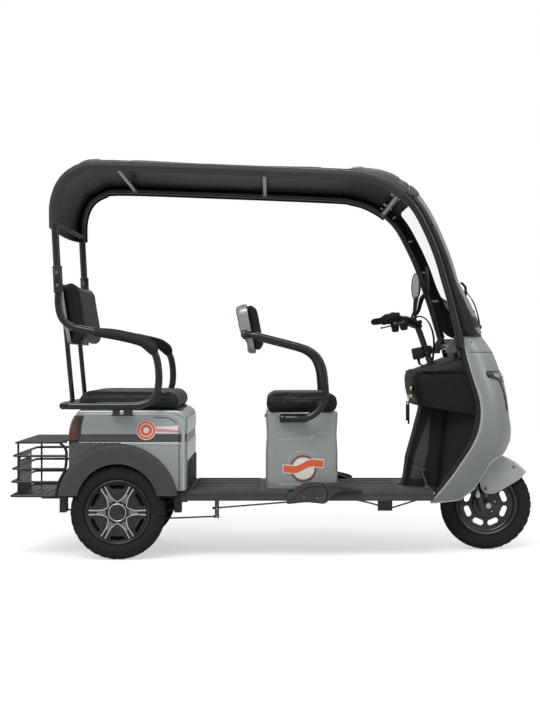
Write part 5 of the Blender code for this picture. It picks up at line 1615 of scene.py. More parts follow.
@dataclass(frozen=True)
class FrontWheel(Wheel):
    """The front wheel: a cast disc with eight long holes round its drum."""

    holes: int = 8
    hole_radius: float = 0.0905
    hole_long: float = 0.0265
    hole_wide: float = 0.0130

    def build(self) -> None:
        """Makes the tyre and the rim."""
        self.tyre("front_tyre")
        work = Workpiece()
        self.barrel(work, 0.1225)
        for side in (-1, 1):
            axes = Matrix((AHEAD, UP, ACROSS * side)).transposed().to_4x4()
            rim = circle(0.1235, 96)
            holes = [self.hole(index) for index in range(self.holes)]
            work.plate(rim, 0.0085, Matrix.Translation(self.centre) @ axes, 0.0028, 3, holes)
        show(work, "front_rim_web", WHEEL_BLACK, self.body, Slot.WHEEL, ("front_rim",), sharp=35)
        hub = Workpiece()
        half = [
            (0.0660, 0.0080), (0.0650, 0.0180), (0.0610, 0.0285), (0.0560, 0.0310), (0.0500, 0.0316),
            (0.0490, 0.0296), (0.0300, 0.0302), (0.0285, 0.0340), (0.0215, 0.0352), (0.0200, 0.0440),
            (0.0185, 0.0458), (0.0075, 0.0460)
        ]
        hub.turned(half + [(r, -y) for r, y in half[::-1]], self.centre, 72)
        show(hub, "front_rim_drum", WHEEL_BLACK, self.body, Slot.WHEEL, sharp=32)
        bolts = Workpiece()
        for side in (-1, 1):
            for index in range(5):
                turn = math.radians(72 * index + 18)
                place = (
                    self.centre + Vector((math.cos(turn) * 0.0400, side * 0.0298, math.sin(turn) * 0.0400))
                )
                bolts.hexagon(place, ACROSS * side, 0.0085, 0.0035)
        show(bolts, "front_rim_bolts", ZINC, self.body, Slot.STEEL)

    def hole(self, index: int) -> list[tuple[float, float]]:
        """The outline of one long hole: a curved slot with round ends.

        Args:
            index: which of them it is, from 0.

        Returns:
            The corners in turn.
        """
        middle = math.tau * (index + 0.5) / self.holes
        reach = (self.hole_long - self.hole_wide) / self.hole_radius
        line = []
        for end, first in ((1, -math.pi / 2), (-1, math.pi / 2)):
            for step in range(9):
                turn = first + math.pi * step / 8
                along = end * reach + self.hole_wide / self.hole_radius * math.cos(turn)
                radius = self.hole_radius + self.hole_wide * math.sin(turn)
                line.append((radius * math.cos(middle + along), radius * math.sin(middle + along)))
        return line


# ---------------------------------------------------------------- rear body


@dataclass(frozen=True)
class RearBody:
    """The painted box under the bench with its fenders, lamps, band, trims and kick panel."""

    low: tuple[float, float] = (-0.918, -0.325)
    high: tuple[float, float] = (-0.396, 0.325)
    top: float = 0.656
    skirt: float = 0.304
    corner: float = 0.020
    axle_x: float = REAR_AXLE_X
    fender_z: float = 0.245
    fender_radius: float = 0.268
    arch_radius: float = 0.180
    well_y: float = 0.245
    roll: float = 0.046
    rows: tuple[tuple[float, float], ...] = (
        (0.650, -0.0045), (0.6545, -0.0040), (0.6560, -0.0022), (0.6535, -0.0004), (0.6480, 0.0),
        (0.6405, 0.0), (0.6388, -0.0008), (0.6378, -0.0030), (0.6352, -0.0030), (0.6342, -0.0012),
        (0.600, -0.0010), (0.5570, -0.0012), (0.5555, -0.0020), (0.5545, -0.0060), (0.5180, -0.0060),
        (0.5170, -0.0018), (0.5155, -0.0008), (0.5060, -0.0006), (0.5050, -0.0022), (0.5035, -0.0022),
        (0.5025, -0.0010), (0.480, -0.0010), (0.460, -0.0010), (0.440, -0.0010), (0.420, -0.0010),
        (0.400, -0.0012), (0.380, -0.0014), (0.360, -0.0016), (0.345, -0.0018), (0.332, -0.0020),
        (0.320, -0.0024), (0.310, -0.0034), (0.304, -0.0070)
    )

    @property
    def plan(self) -> RoundedPlan:
        """The outline from above."""
        return RoundedPlan(self.low, self.high, self.corner)

    def build(self) -> None:
        """Makes every piece."""
        self.shell()
        self.inside()
        self.band_and_trims()
        self.kick_panel()
        for name, side in SIDES:
            self.fender(name, side)
            self.lamp(name, side)
        self.prints()

    def leaned(self, point: Vector) -> Vector:
        """The point where the box's form takes it: its rear leans in and its front edge rolls down.

        Args:
            point: the point on the upright box.

        Returns:
            The point where the form takes it.
        """
        rear = smooth((-0.800 - point.x) / 0.118)
        ahead = 0.038 * max(0.0, (point.z - 0.507) / 0.145) ** 3 * rear
        over = max(0.0, point.x - (self.high[0] - self.roll))
        fall = self.roll - math.sqrt(max(0.0, self.roll**2 - over**2))
        share = min(1.0, max(0.0, (point.z - 0.560) / 0.096))
        return Vector((point.x + ahead, point.y, point.z - fall * share))

    def wall(
        self, rows: Sequence[tuple[float, float]], around: tuple[float, float], columns: int,
        grow: float = 0.0, cut_wells: bool = True,
    ) -> Workpiece:
        """A sheet that follows the plan through rows of height and offset, without the wheel wells.

        Args:
            rows: pairs of a height and an offset.
            around: the first and last share of the plan.
            columns: how many columns of faces there are.
            grow: how far it is grown outwards.
            cut_wells: whether the wheel wells are left open.

        Returns:
            The mesh in the making.
        """
        work = Workpiece()
        plan, last = self.plan, len(rows) - 1

        def place(across: float, along: float) -> Vector:
            """The point of the wall on its plan and row.

            Args:
                across: the share across, from 0 to 1.
                along: the share along, from 0 to 1.

            Returns:
                The point.
            """
            z, out = rows[round(along * last)]
            point = plan.at(around[0] + (around[1] - around[0]) * across, out + grow)
            return self.leaned(Vector((point.x, point.y, z)))

        def kept(across: float, along: float) -> bool:
            """Keeps what lies outside the wheel wells.

            Args:
                across: the share across, from 0 to 1.
                along: the share along, from 0 to 1.

            Returns:
                Whether the face stays.
            """
            z = rows[int(along * last)][0]
            point = plan.at(around[0] + (around[1] - around[0]) * across)
            return math.hypot(point.x - self.axle_x, z - self.fender_z) > 0.235 or abs(point.y) < 0.30

        work.surface(columns, last, place, kept if cut_wells else None)
        return work

    def shell(self) -> None:
        """The painted walls, their rolled lip and the flange round the mouth."""
        work = self.wall(self.rows, (0.0, 1.0), 220)
        mouth = RoundedPlan((-0.860, -0.270), (-0.450, 0.270), 0.030)
        plan = self.plan

        def flange(across: float, along: float) -> Vector:
            """The point of the flat top, which rolls down at its mouth.

            Args:
                across: the share across, from 0 to 1.
                along: the share along, from 0 to 1.

            Returns:
                The point.
            """
            rim, hole = plan.at(across, -0.0022), mouth.at(across)
            point = rim.lerp(hole, min(1.0, along / 0.8))
            return self.leaned(
                Vector((point.x, point.y, 0.6558 - (0.014 * (along - 0.8) / 0.2 if along > 0.8 else 0.0)))
            )

        work.surface(220, 5, flange)
        # the shell's silver is painted lighter, with painted shade towards its foot
        show(
            work, "rear_body_shell", SILVER_BODY_PAINTED_LIGHT_AND_SHADE, "chassis", Slot.PAINT, ("rear_body",), thickness=0.0028,
            sharp=34
        )

    def inside(self) -> None:
        """The box's dark inner walls, its floor and the humps over the wheels."""
        work = Workpiece()
        plan = RoundedPlan((-0.912, -0.319), (-0.402, 0.319), 0.016)
        work.surface(
            96, 14, lambda across, along: self.leaned(Vector((*plan.at(across), 0.330 + 0.308 * along))),
            lambda across, along: math.hypot(
                plan.at(across).x - self.axle_x, 0.085 + 0.318 * along
            ) > 0.262 or abs(plan.at(across).y) < 0.30
        )
        show(work, "rear_body_lining", PLASTIC_DARK, "chassis", Slot.PAINT, thickness=0.002)
        floor = Workpiece()
        floor.block((-0.914, -0.244, 0.3255), (-0.400, 0.244, 0.3290), 0.001, 1)
        for x in (-0.80, -0.66, -0.52):
            floor.block((x - 0.02, -0.235, 0.3290), (x + 0.02, 0.235, 0.3325), 0.0015, 2)
        show(floor, "rear_body_floor", PLASTIC_DARK, "chassis", Slot.PAINT)
        humps = Workpiece()
        for _, side in SIDES:
            radius = self.fender_radius + 0.0040
            humps.turned(
                [
                    (radius, 0.0), (radius, 0.072), (radius - 0.003, 0.072), (radius - 0.003, 0.003),
                    (0.030, 0.003), (0.030, 0.0)
                ],
                Vector((self.axle_x, side * (self.well_y - 0.0025), self.fender_z)), 72, ACROSS * side
            )
        humps.clip((0, 0, 0.306), (0, 0, -1))
        show(humps, "rear_wheel_wells", PLASTIC_DARK, "chassis", Slot.PAINT)

    def band_and_trims(self) -> None:
        """The band round the box, its colour painted shade, and the upright trims at its corners, pale as
        painted highlights.
        """
        band = self.wall(
            ((0.5540, -0.0040), (0.5536, -0.0026), (0.5360, -0.0022), (0.5190, -0.0026), (0.5184, -0.0040)),
            (0.0, 1.0), 200, cut_wells=False
        )
        show(band, "rear_body_band", BAND_PAINTED_SHADE, "chassis", Slot.PAINT, thickness=0.0012)
        # behind the fenders the band's colour, painted shade, runs on down to the skirt
        rows = tuple(
            (z, 0.0006)
            for z in (0.5172, 0.506, 0.494, 0.480, 0.460, 0.440, 0.420, 0.400, 0.380, 0.360, 0.340)
        )
        for first, last in ((0.3960, 0.5044), (0.7597, 0.8680)):
            tail = self.wall((*rows, (0.320, 0.0), (0.308, -0.0035)), (first, last), 70)
            name = "left" if first < 0.5 else "right"
            show(tail, f"rear_body_tail_{name}", BAND_PAINTED_SHADE, "chassis", Slot.PAINT, thickness=0.0030)
        trims, lines = Workpiece(), Workpiece()
        bead = ((-0.850, 0.6405), (-0.520, 0.6405), (-0.472, 0.6375), (-0.440, 0.6235), (-0.4200, 0.5990),
                (-0.4130, 0.5660), (-0.4125, 0.500), (-0.4125, 0.311))
        inner = ((-0.540, 0.6280), (-0.484, 0.6255), (-0.455, 0.6130), (-0.4380, 0.5920), (-0.4315, 0.5640),
                 (-0.4310, 0.500), (-0.4310, 0.312))
        for _, side in SIDES:
            trims.sweep(
                flowing([(x, side * 0.3250, z) for x, z in bead], 8), 0.0070, 12, 0.36, soft_ends=True,
                up=ACROSS
            )
            lines.sweep(
                flowing([(x, side * 0.3254, z) for x, z in inner], 8), 0.0016, 8, 0.6, soft_ends=True,
                up=ACROSS
            )
        # the pale trims are painted highlights on the box's rounded front corners
        show(trims, "rear_body_trims", SILVER_PAINTED_LIGHT, "chassis", Slot.PAINT)
        show(lines, "rear_body_trim_lines", VOID_BLACK, "chassis", Slot.PAINT)

    def kick_panel(self) -> None:
        """The black panel above the floor, with a raised border, ribs and screws."""
        work = Workpiece()
        front = Matrix((ACROSS, UP, AHEAD)).transposed().to_4x4()
        place = Matrix.Translation((-0.3957, 0, 0)) @ front
        work.plate(rounded_outline((-0.296, 0.3020), (0.296, 0.4300), 0.010), 0.0045, place, 0.0012)
        for height in (0.335, 0.360, 0.385):
            work.block((-0.3914, -0.262, height), (-0.3894, 0.262, height + 0.010), 0.0009, 2)
        show(work, "rear_kick_plate", PLASTIC, "chassis", Slot.PLASTIC, ("rear_kick_panel",))
        screws = Workpiece()
        for y in (-0.280, 0.0, 0.280):
            for z in (0.316, 0.417):
                screws.button((-0.3912, y, z), AHEAD, 0.0045, 0.0018)
        show(screws, "rear_kick_screws", ZINC, "chassis", Slot.PLASTIC)

    def fender(self, name: str, side: int) -> None:
        """An arched black fender with a rolled outer shoulder, a lipped opening and a bead above it.

        Args:
            name: the name that its pieces carry.
            side: -1 on the right and 1 on the left.
        """
        radius, arch = self.fender_radius, self.arch_radius
        well = self.well_y + 0.0003
        outer = well + 0.105
        section = [
            (radius, well), (radius, outer - 0.022), (radius - 0.0016, outer - 0.012),
            (radius - 0.0060, outer - 0.005), (radius - 0.0125, outer - 0.0012), (radius - 0.020, outer),
            (arch + 0.050, outer + 0.0012), (arch + 0.0165, outer + 0.0016),
            (arch + 0.0150, outer + 0.0036), (arch + 0.0120, outer + 0.0040),
            (arch + 0.0105, outer + 0.0022), (arch + 0.004, outer + 0.0032), (arch, outer + 0.0040),
            (arch, outer - 0.0020), (arch + 0.010, outer - 0.0030), (radius - 0.020, outer - 0.004),
            (radius - 0.009, outer - 0.010), (radius - 0.004, outer - 0.022), (radius - 0.004, well)
        ]
        work = Workpiece()
        work.turned([(r, side * y) for r, y in section], Vector((self.axle_x, 0, self.fender_z)), 128)
        work.clip((0, 0, 0.285), (0, 0, -1))
        work.close_cuts()
        show(
            work, f"rear_fender_{name}_shell", FENDER_PLASTIC, "chassis", Slot.PLASTIC,
            (f"rear_fender_{name}",), sharp=50
        )
        screws = Workpiece()
        for degrees in (16, 164):
            turn = math.radians(degrees)
            place = (
                self.axle_x + math.cos(turn) * 0.2475, side * (outer + 0.0002),
                self.fender_z + math.sin(turn) * 0.2475
            )
            screws.button(place, ACROSS * side, 0.0045, 0.0020)
        show(screws, f"rear_fender_{name}_screws", FENDER_PLASTIC, "chassis", Slot.PLASTIC)

    def lamp(self, name: str, side: int) -> None:
        """A corner lamp: its lens wraps the box's corner and stands in a gloss black housing.

        Args:
            name: the name that its pieces carry.
            side: -1 on the right and 1 on the left.
        """
        cut = (Vector((-0.856, 0.0, 0.5760)), Vector((0.93, 0.0, -0.366)))

        def skin(plan: RoundedPlan, low: float, high: float) -> Workpiece:
            """A leaning block on a plan, closed with a rounded top.

            Args:
                plan: the plan that it follows.
                low: the height of its foot.
                high: the height of its top.

            Returns:
                The mesh in the making.
            """

            def at(share: float, way: float) -> Vector:
                """The point on the leaning block, which rounds over at its top.

                Args:
                    share: the share of the way round the plan.
                    way: the share of the way up and over.

                Returns:
                    The point.
                """
                over = max(0.0, way - 0.75) / 0.25
                point = plan.at(share, -0.020 * over**1.6)
                z = (
                    low + (high - low) * min(1.0, way / 0.75)
                    - 0.004 * max(0.0, 1 - over * 2.5) * (way > 0.70)
                )
                return self.leaned(Vector((point.x, point.y * side, z)))

            work = Workpiece()
            work.rings(72, 16, at, True)
            work.clip(*cut)
            work.close_cuts()
            return work

        lens = skin(RoundedPlan((-0.921, 0.262), (-0.857, 0.328), 0.016), 0.5300, 0.6380)
        show(lens, f"tail_lamp_{name}_lens", TAIL_LENS, "chassis", Slot.RED, (f"tail_lamp_{name}",))
        housing = skin(RoundedPlan((-0.9195, 0.263), (-0.8580, 0.3268), 0.014), 0.5118, 0.5360)
        backing = skin(RoundedPlan((-0.9150, 0.266), (-0.8600, 0.3225), 0.012), 0.5200, 0.6340)
        show(housing, f"tail_lamp_{name}_housing", GLOSS_BLACK, "chassis", Slot.RED)
        show(backing, f"tail_lamp_{name}_backing", PLASTIC_DARK, "chassis", Slot.RED)

    def prints(self) -> None:
        """A plain ringed disc and a striped band beside it on each side of the box."""
        for name, side in SIDES:
            face = Matrix((AHEAD, UP, ACROSS * side)).transposed().to_4x4()
            plane = Matrix.Translation((0, side * 0.3257, 0)) @ face
            disc = Workpiece()
            disc.plate(circle(0.0445, 64, BENCH_DISC_CENTRE), 0.0007, plane)
            show(disc, f"rear_disc_{name}", BENCH_DISC, "chassis", Slot.PAINT)
            band = Workpiece()
            band.plate(
                [
                    (-0.5480, 0.5575), (-0.4330, 0.5575), (-0.4330, 0.5965), (-0.4600, 0.5900),
                    (-0.5480, 0.5880)
                ],
                0.0005, plane
            )
            show(band, f"rear_stripes_{name}", BENCH_STRIPES, "chassis", Slot.PAINT)


# ---------------------------------------------------------------- upholstery


@dataclass(frozen=True)
class Cushion:
    """A padded piece: a rounded and crowned block that is blown up as cloth, then seamed and piped.

    It is described in its own box: X towards its front, Y across, Z out of its soft face.
    """

    name: str
    low: tuple[float, float, float]
    high: tuple[float, float, float]
    body: str
    stands_for: str
    place: Matrix
    round_by: float = 0.024
    crown: float = 0.008
    pull: float = 0.010
    swell: float = 0.009
    channels: tuple[tuple[str, float], ...] = ()
    seam_up: float = 0.62
    fill: float = 0.75
    voxel: float = 0.0055

    def base(self) -> Workpiece:
        """The block before it swells: round edges, crowned top, sides pulled in between the corners.

        Returns:
            The mesh in the making.
        """
        work = Workpiece()
        low, high = Vector(self.low), Vector(self.high)
        middle, half = (low + high) / 2, (high - low) / 2 - Vector((0.004, 0.004, 0.003))
        bmesh.ops.create_cube(work.mesh, size=2.0)
        bmesh.ops.subdivide_edges(work.mesh, edges=work.mesh.edges[:], cuts=23, use_grid_fill=True)
        round_by = min(self.round_by, half.z * 0.98)
        for vertex in work.mesh.verts:
            unit = vertex.co.copy()
            # points crowd towards the edges, so that the rounding is smooth
            eased = Vector(math.copysign(1 - (1 - abs(c)) ** 1.5, c) for c in unit)
            full = Vector(c * h for c, h in zip(eased, half))
            core = Vector(max(round_by - h, min(h - round_by, c)) for c, h in zip(full, half))
            away = full - core
            point = core + away.normalized() * round_by if away.length > 1e-9 else full
            x, y = unit.x, unit.y
            point.x *= 1 - self.pull / half.x * (1 - y * y) * abs(x) ** 3 * (1 - unit.z) * 0.5
            point.y *= 1 - self.pull / half.y * (1 - x * x) * abs(y) ** 3
            if unit.z > 0:
                point.z += (self.crown * (1 - x**4) * (1 - y**4) - 0.003) * unit.z
            vertex.co = middle + point
        return work

    def inflate(self, data: bpy.types.Mesh) -> bpy.types.Mesh:
        """Blows the block up as cloth under pressure, and keeps each point near where it began.

        Args:
            data: the lamp's data.

        Returns:
            The swollen mesh.
        """
        piece = bpy.data.objects.new(f"{self.name}_swelling", data)
        bpy.context.scene.collection.objects.link(piece)
        remesh = piece.modifiers.new("even", "REMESH")
        remesh.mode = "VOXEL"
        remesh.voxel_size = self.voxel
        graph = bpy.context.evaluated_depsgraph_get()
        even = bpy.data.meshes.new_from_object(piece.evaluated_get(graph))
        piece.modifiers.clear()
        piece.data = even
        starts = [vertex.co.copy() for vertex in even.vertices]
        cloth = piece.modifiers.new("cloth", "CLOTH")
        cloth.settings.quality = 5
        cloth.settings.use_pressure = True
        cloth.settings.uniform_pressure_force = 4.0
        cloth.settings.effector_weights.gravity = 0.0
        cloth.settings.tension_stiffness = cloth.settings.compression_stiffness = 22.0
        cloth.settings.bending_stiffness = 0.6
        scene = bpy.context.scene
        for number in range(1, 17):
            scene.frame_set(number)
        graph = bpy.context.evaluated_depsgraph_get()
        swollen = bpy.data.meshes.new_from_object(piece.evaluated_get(graph))
        scene.frame_set(1)
        floor = self.low[2] + 0.001
        limit_low, limit_high = (
            Vector(self.low) - Vector((0.004,) * 3), Vector(self.high) + Vector((0.004, 0.004, 0.010))
        )
        for vertex, start in zip(swollen.vertices, starts):
            move = vertex.co - start
            if move.length > self.swell:
                move *= self.swell / move.length
            point = start + move
            point = Vector(max(a, min(b, c)) for a, b, c in zip(limit_low, limit_high, point))
            point.z = max(point.z, floor)
            vertex.co = point
        bpy.data.objects.remove(piece)
        return swollen

    def groove(self, point: Vector) -> float:
        """How deep the sewn channels and the side seam press in at a point.

        Args:
            point: the point.

        Returns:
            The depth of the groove there.
        """
        depth = 0.0
        middle = (self.low[2] + self.high[2]) / 2
        for axis, at in self.channels:
            away = abs(point.x - at if axis == "x" else point.y - at)
            if point.z > middle:
                depth = max(depth, 0.0065 * math.exp(-((away / 0.006) ** 2)))
        seam = self.low[2] + (self.high[2] - self.low[2]) * self.seam_up
        away = abs(point.z - seam)
        depth = max(depth, 0.0022 * math.exp(-((away / 0.0035) ** 2)))
        return depth

    def build(self) -> bpy.types.Object:
        """Makes the cushion with its channels, and the piping that follows its seam.

        Returns:
            The finished piece.
        """
        work = self.base()
        data = bpy.data.meshes.new(self.name)
        work.mesh.to_mesh(data)
        work.mesh.free()
        work = Workpiece()
        work.mesh.from_mesh(self.inflate(data))
        bmesh.ops.smooth_vert(work.mesh, verts=work.mesh.verts, factor=0.5, use_axis_x=True, use_axis_y=True,
                              use_axis_z=True)
        work.mesh.normal_update()
        moves = [(v, v.normal * self.groove(v.co)) for v in work.mesh.verts]
        for vertex, move in moves:
            wrinkle = noise.noise(vertex.co * 22.0) * 0.0010 + noise.noise(vertex.co * 60.0) * 0.0004
            vertex.co += vertex.normal * wrinkle - move
        self.piping(work)
        bmesh.ops.transform(work.mesh, matrix=self.place, verts=work.mesh.verts)
        piece = show(
            work, self.name, SEAT_VINYL, self.body, Slot.VINYL, (self.stands_for,), levels=1, sharp=180
        )
        return piece

    def piping(self, work: Workpiece) -> None:
        """Makes the welt that follows the seam round the cushion.

        Args:
            work: the mesh in the making.
        """
        tree = BVHTree.FromBMesh(work.mesh)
        seam = self.low[2] + (self.high[2] - self.low[2]) * self.seam_up
        middle = (Vector(self.low) + Vector(self.high)) / 2
        route = []
        for step in range(72):
            turn = math.tau * step / 72
            out = Vector((math.cos(turn), math.sin(turn), 0.0))
            hit = tree.ray_cast(Vector((middle.x, middle.y, seam)) + out * 2.0, -out)
            if hit[0] is not None:
                route.append(self.place @ (hit[0] - out * 0.0002))
        welt = Workpiece()
        welt.sweep(route, 0.0021, 8, closed=True)
        show(welt, f"{self.name}_piping", SEAT_VINYL, self.body, Slot.VINYL)


def leaning(plane: tuple[float, float], lean: float) -> Matrix:
    """A frame on a leaning plane: X across to the left, Y up along it, Z ahead of it."""
    up = Vector((-math.sin(lean), 0.0, math.cos(lean)))
    return facing(Vector((plane[0], 0.0, plane[1])), Vector((math.cos(lean), 0.0, math.sin(lean))), up)


@dataclass(frozen=True)
class Backrest:
    """A backrest: a pad in front of a sculpted shell, on a leaning plane."""

    prefix: str
    plane: tuple[float, float]
    lean: float
    half: float
    low: float
    high: float
    thick: float
    depth: float
    lip: float = 0.012

    def build(self) -> None:
        """Makes the pad and the shell."""
        place = leaning(self.plane, self.lean)
        Cushion(
            f"{self.prefix}_backrest_cushion", (-self.half, self.low, 0.0005),
            (self.half, self.high, self.thick), "chassis", f"{self.prefix}_backrest_pad", place,
            round_by=0.028, crown=0.006, pull=0.006, swell=0.008, seam_up=0.40
        ).build()
        self.shell(place)

    def shell(self, place: Matrix) -> None:
        """The silver shell: deep and rounded above, dished behind, and drawn thin towards its foot.

        Args:
            place: where the backrest stands and how it leans.
        """
        work = Workpiece()
        grow = 0.001 if self.lip > 0.01 else -0.010
        half, low, high, depth = self.half + grow, self.low - grow, self.high + grow, self.depth
        plan = RoundedPlan((-half, low), (half, high), 0.052)
        middle = Vector((0.0, (low + high) / 2))

        def at(share: float, inwards: float) -> Vector:
            """The point of the shell between its rim and its middle.

            Args:
                share: the share of the way round.
                inwards: the share of the way inwards, from 0 to 1.

            Returns:
                The point.
            """
            inwards = inwards**1.5
            rim = plan.at(share, -0.022 * min(1.0, inwards / 0.34) ** 3)
            deep = max(0.0, inwards - 0.34) / 0.66
            point = rim.lerp(middle, deep * 0.985)
            height = (point.y - low) / (high - low)
            full = depth * (0.44 + 0.56 * smooth((height - 0.16) / 0.36) + 0.16 * (1 - smooth(height / 0.2)))
            rounded = math.sin(min(1.0, inwards / 0.34) * math.pi / 2)
            return (
                place
                @ Vector((point.x, point.y, 0.0026 * deep + self.lip * (1 - rounded) - full * rounded))
            )

        work.rings(160, 30, at, True)
        show(
            work, f"{self.prefix}_backrest_back", SILVER, "chassis", Slot.GLOSS,
            (f"{self.prefix}_backrest_shell",), thickness=0.003, sharp=60
        )
        screws = Workpiece()
        for x in (-0.55, 0.55):
            for y in (0.60, 0.86):
                at_point = place @ Vector((x * half, low + (high - low) * y, -depth - 0.001))
                screws.button(at_point, -(place.to_3x3().col[2]), 0.006, 0.003)
        show(screws, f"{self.prefix}_backrest_screws", ZINC, "chassis", Slot.STEEL)


# ---------------------------------------------------------------- passenger bench


@dataclass(frozen=True)
class Bench:
    """The passengers' cushion, the long tube round it with its sleeves and pads, and their backrest."""

    half: float = 0.388
    tube: float = 0.016
    post_y: float = 0.187
    plane: tuple[float, float] = (-0.9335, 1.050)
    lean: float = math.radians(9)
    hoop: tuple[tuple[float, float], ...] = (
        (-0.953, 1.185), (-0.952, 1.120), (-0.938, 1.066), (-0.900, 1.030), (-0.840, 1.014), (-0.620, 0.968),
        (-0.562, 0.943), (-0.528, 0.900), (-0.515, 0.830), (-0.518, 0.760), (-0.540, 0.712), (-0.585, 0.688),
        (-0.650, 0.682), (-0.880, 0.682),
    )

    def build(self) -> None:
        """Makes every piece."""
        Cushion(
            "bench_cushion", (-0.888, -0.340, 0.6566), (-0.421, 0.340, 0.7363), "rear_seat_lid",
            "rear_cushion", Matrix(), round_by=0.034, crown=0.007, pull=0.008,
            channels=(("x", -0.500), ("y", 0.0)), voxel=0.0065, seam_up=0.66
        ).build()
        board = Workpiece()
        board.plate(
            rounded_outline((-0.872, -0.322), (-0.437, 0.322), 0.03), 0.0075,
            Matrix.Translation((0, 0, 0.6566))
        )
        show(board, "bench_board", PLASTIC_DARK, "rear_seat_lid", Slot.VINYL)
        Backrest("rear", self.plane, self.lean, 0.290, -0.108, 0.182, 0.066, 0.026, 0.004).build()
        self.tubes()
        for name, side in SIDES:
            self.pad(name, side)
            self.fittings(name, side)

    def side_route(self, side: int) -> list[Vector]:
        """The tube's middle line on one side."""
        return [Vector((x, side * self.half, z)) for x, z in self.hoop]

    def tubes(self) -> None:
        """The long tube and the two posts of the backrest."""
        z = self.hoop[-1][1]
        turn = [(-0.918, 0.372, z), (-0.935, 0.333, z)]
        route = self.side_route(-1) + mirrored(turn, -1) + mirrored(turn[::-1], 1) + self.side_route(1)[::-1]
        work = Workpiece()
        work.sweep(flowing(route, 6), self.tube, 24)
        for side in (-1, 1):
            work.rod(
                (-0.9215, side * self.post_y, z), (-0.9571, side * self.post_y, 1.060), 0.011, 20, 0.002
            )
        show(work, "armrest_hoop_tube", GLOSS_BLACK, "chassis", Slot.TUBE, ("armrest_hoop",))

    def pad(self, name: str, side: int) -> None:
        """The moulded foam pad round the armrest.

        Args:
            name: the name that its pieces carry.
            side: -1 on the right and 1 on the left.
        """
        route = [p for p in flowing(self.side_route(side)[3:9], 12) if p.x > -0.800 and p.z > 0.912]
        count = len(route) - 1
        ends = [min(1.0, 7 * i / count, 7 * (1 - i / count)) for i in range(count + 1)]
        lifted = [p + Vector((0, 0, 0.0062)) * end for p, end in zip(route, ends)]
        radii = [
            0.0185 + (0.0045 + 0.0040 * smooth(i / count * 1.3)) * end**0.6 for i, end in enumerate(ends)
        ]
        work = Workpiece()
        work.sweep(lifted, radii, 28, 1.0, soft_ends=True)
        for vertex in work.mesh.verts:
            vertex.co.z += 0.0006 * noise.noise(vertex.co * 30.0)
        piece = show(
            work, f"armrest_pad_{name}_foam", FOAM, "chassis", Slot.PAD, (f"armrest_pad_{name}",), sharp=70
        )
        seam = Workpiece()
        seam.sweep([p + Vector((0, 0, r * 1.0)) for p, r in zip(lifted[2:-2], radii[2:-2])], 0.0009, 6)
        show(seam, f"armrest_pad_{name}_parting_line", FOAM, "chassis", Slot.PAD)

    def fittings(self, name: str, side: int) -> None:
        """The sleeve with its bolts, its clamp ring, and the bracket on the box.

        Args:
            name: the name that its pieces carry.
            side: -1 on the right and 1 on the left.
        """
        foot, head = Vector((-0.953, side * self.half, 1.200)), Vector((-0.968, side * self.half, 1.490))
        rise = (head - foot).normalized()
        sleeve = Workpiece()
        sleeve.rod(foot - rise * 0.024, foot + rise * 0.090, 0.0205, 32, 0.0025)
        sleeve.rod(foot - rise * 0.0245, foot - rise * 0.016, 0.0215, 32, 0.0015)
        sleeve.rod(foot + rise * 0.082, foot + rise * 0.0905, 0.0215, 32, 0.0015)
        show(sleeve, f"post_sleeve_{name}", GLOSS_BLACK, "chassis", Slot.TUBE)
        bolts = Workpiece()
        for up in (0.005, 0.060):
            for out in (-1, 1):
                bolts.hexagon(
                    foot + rise * up + ACROSS * (out * 0.0195), ACROSS * out, 0.011, 0.0055, 0.0075
                )
        for x in (-0.715, -0.654):
            bolts.hexagon((x, side * (self.half - 0.028), 0.6432), UP, 0.011, 0.005, 0.0085)
        show(bolts, f"hoop_bolts_{name}", DARK_ZINC, "chassis", Slot.STEEL)
        bracket = Workpiece()
        y0, y1 = sorted((side * 0.3253, side * 0.392))
        bracket.block((-0.722, y0, 0.6370), (-0.628, y1, 0.6425), 0.0018, 2)
        for start, end in ((-0.716, -0.685), (-0.669, -0.629)):
            y0, y1 = sorted((side * 0.378, side * 0.392))
            bracket.block((start, y0, 0.6390), (end, y1, 0.6720), 0.0030, 2)
        show(bracket, f"hoop_bracket_{name}", SATIN_BLACK, "chassis", Slot.TUBE)


# ---------------------------------------------------------------- canopy


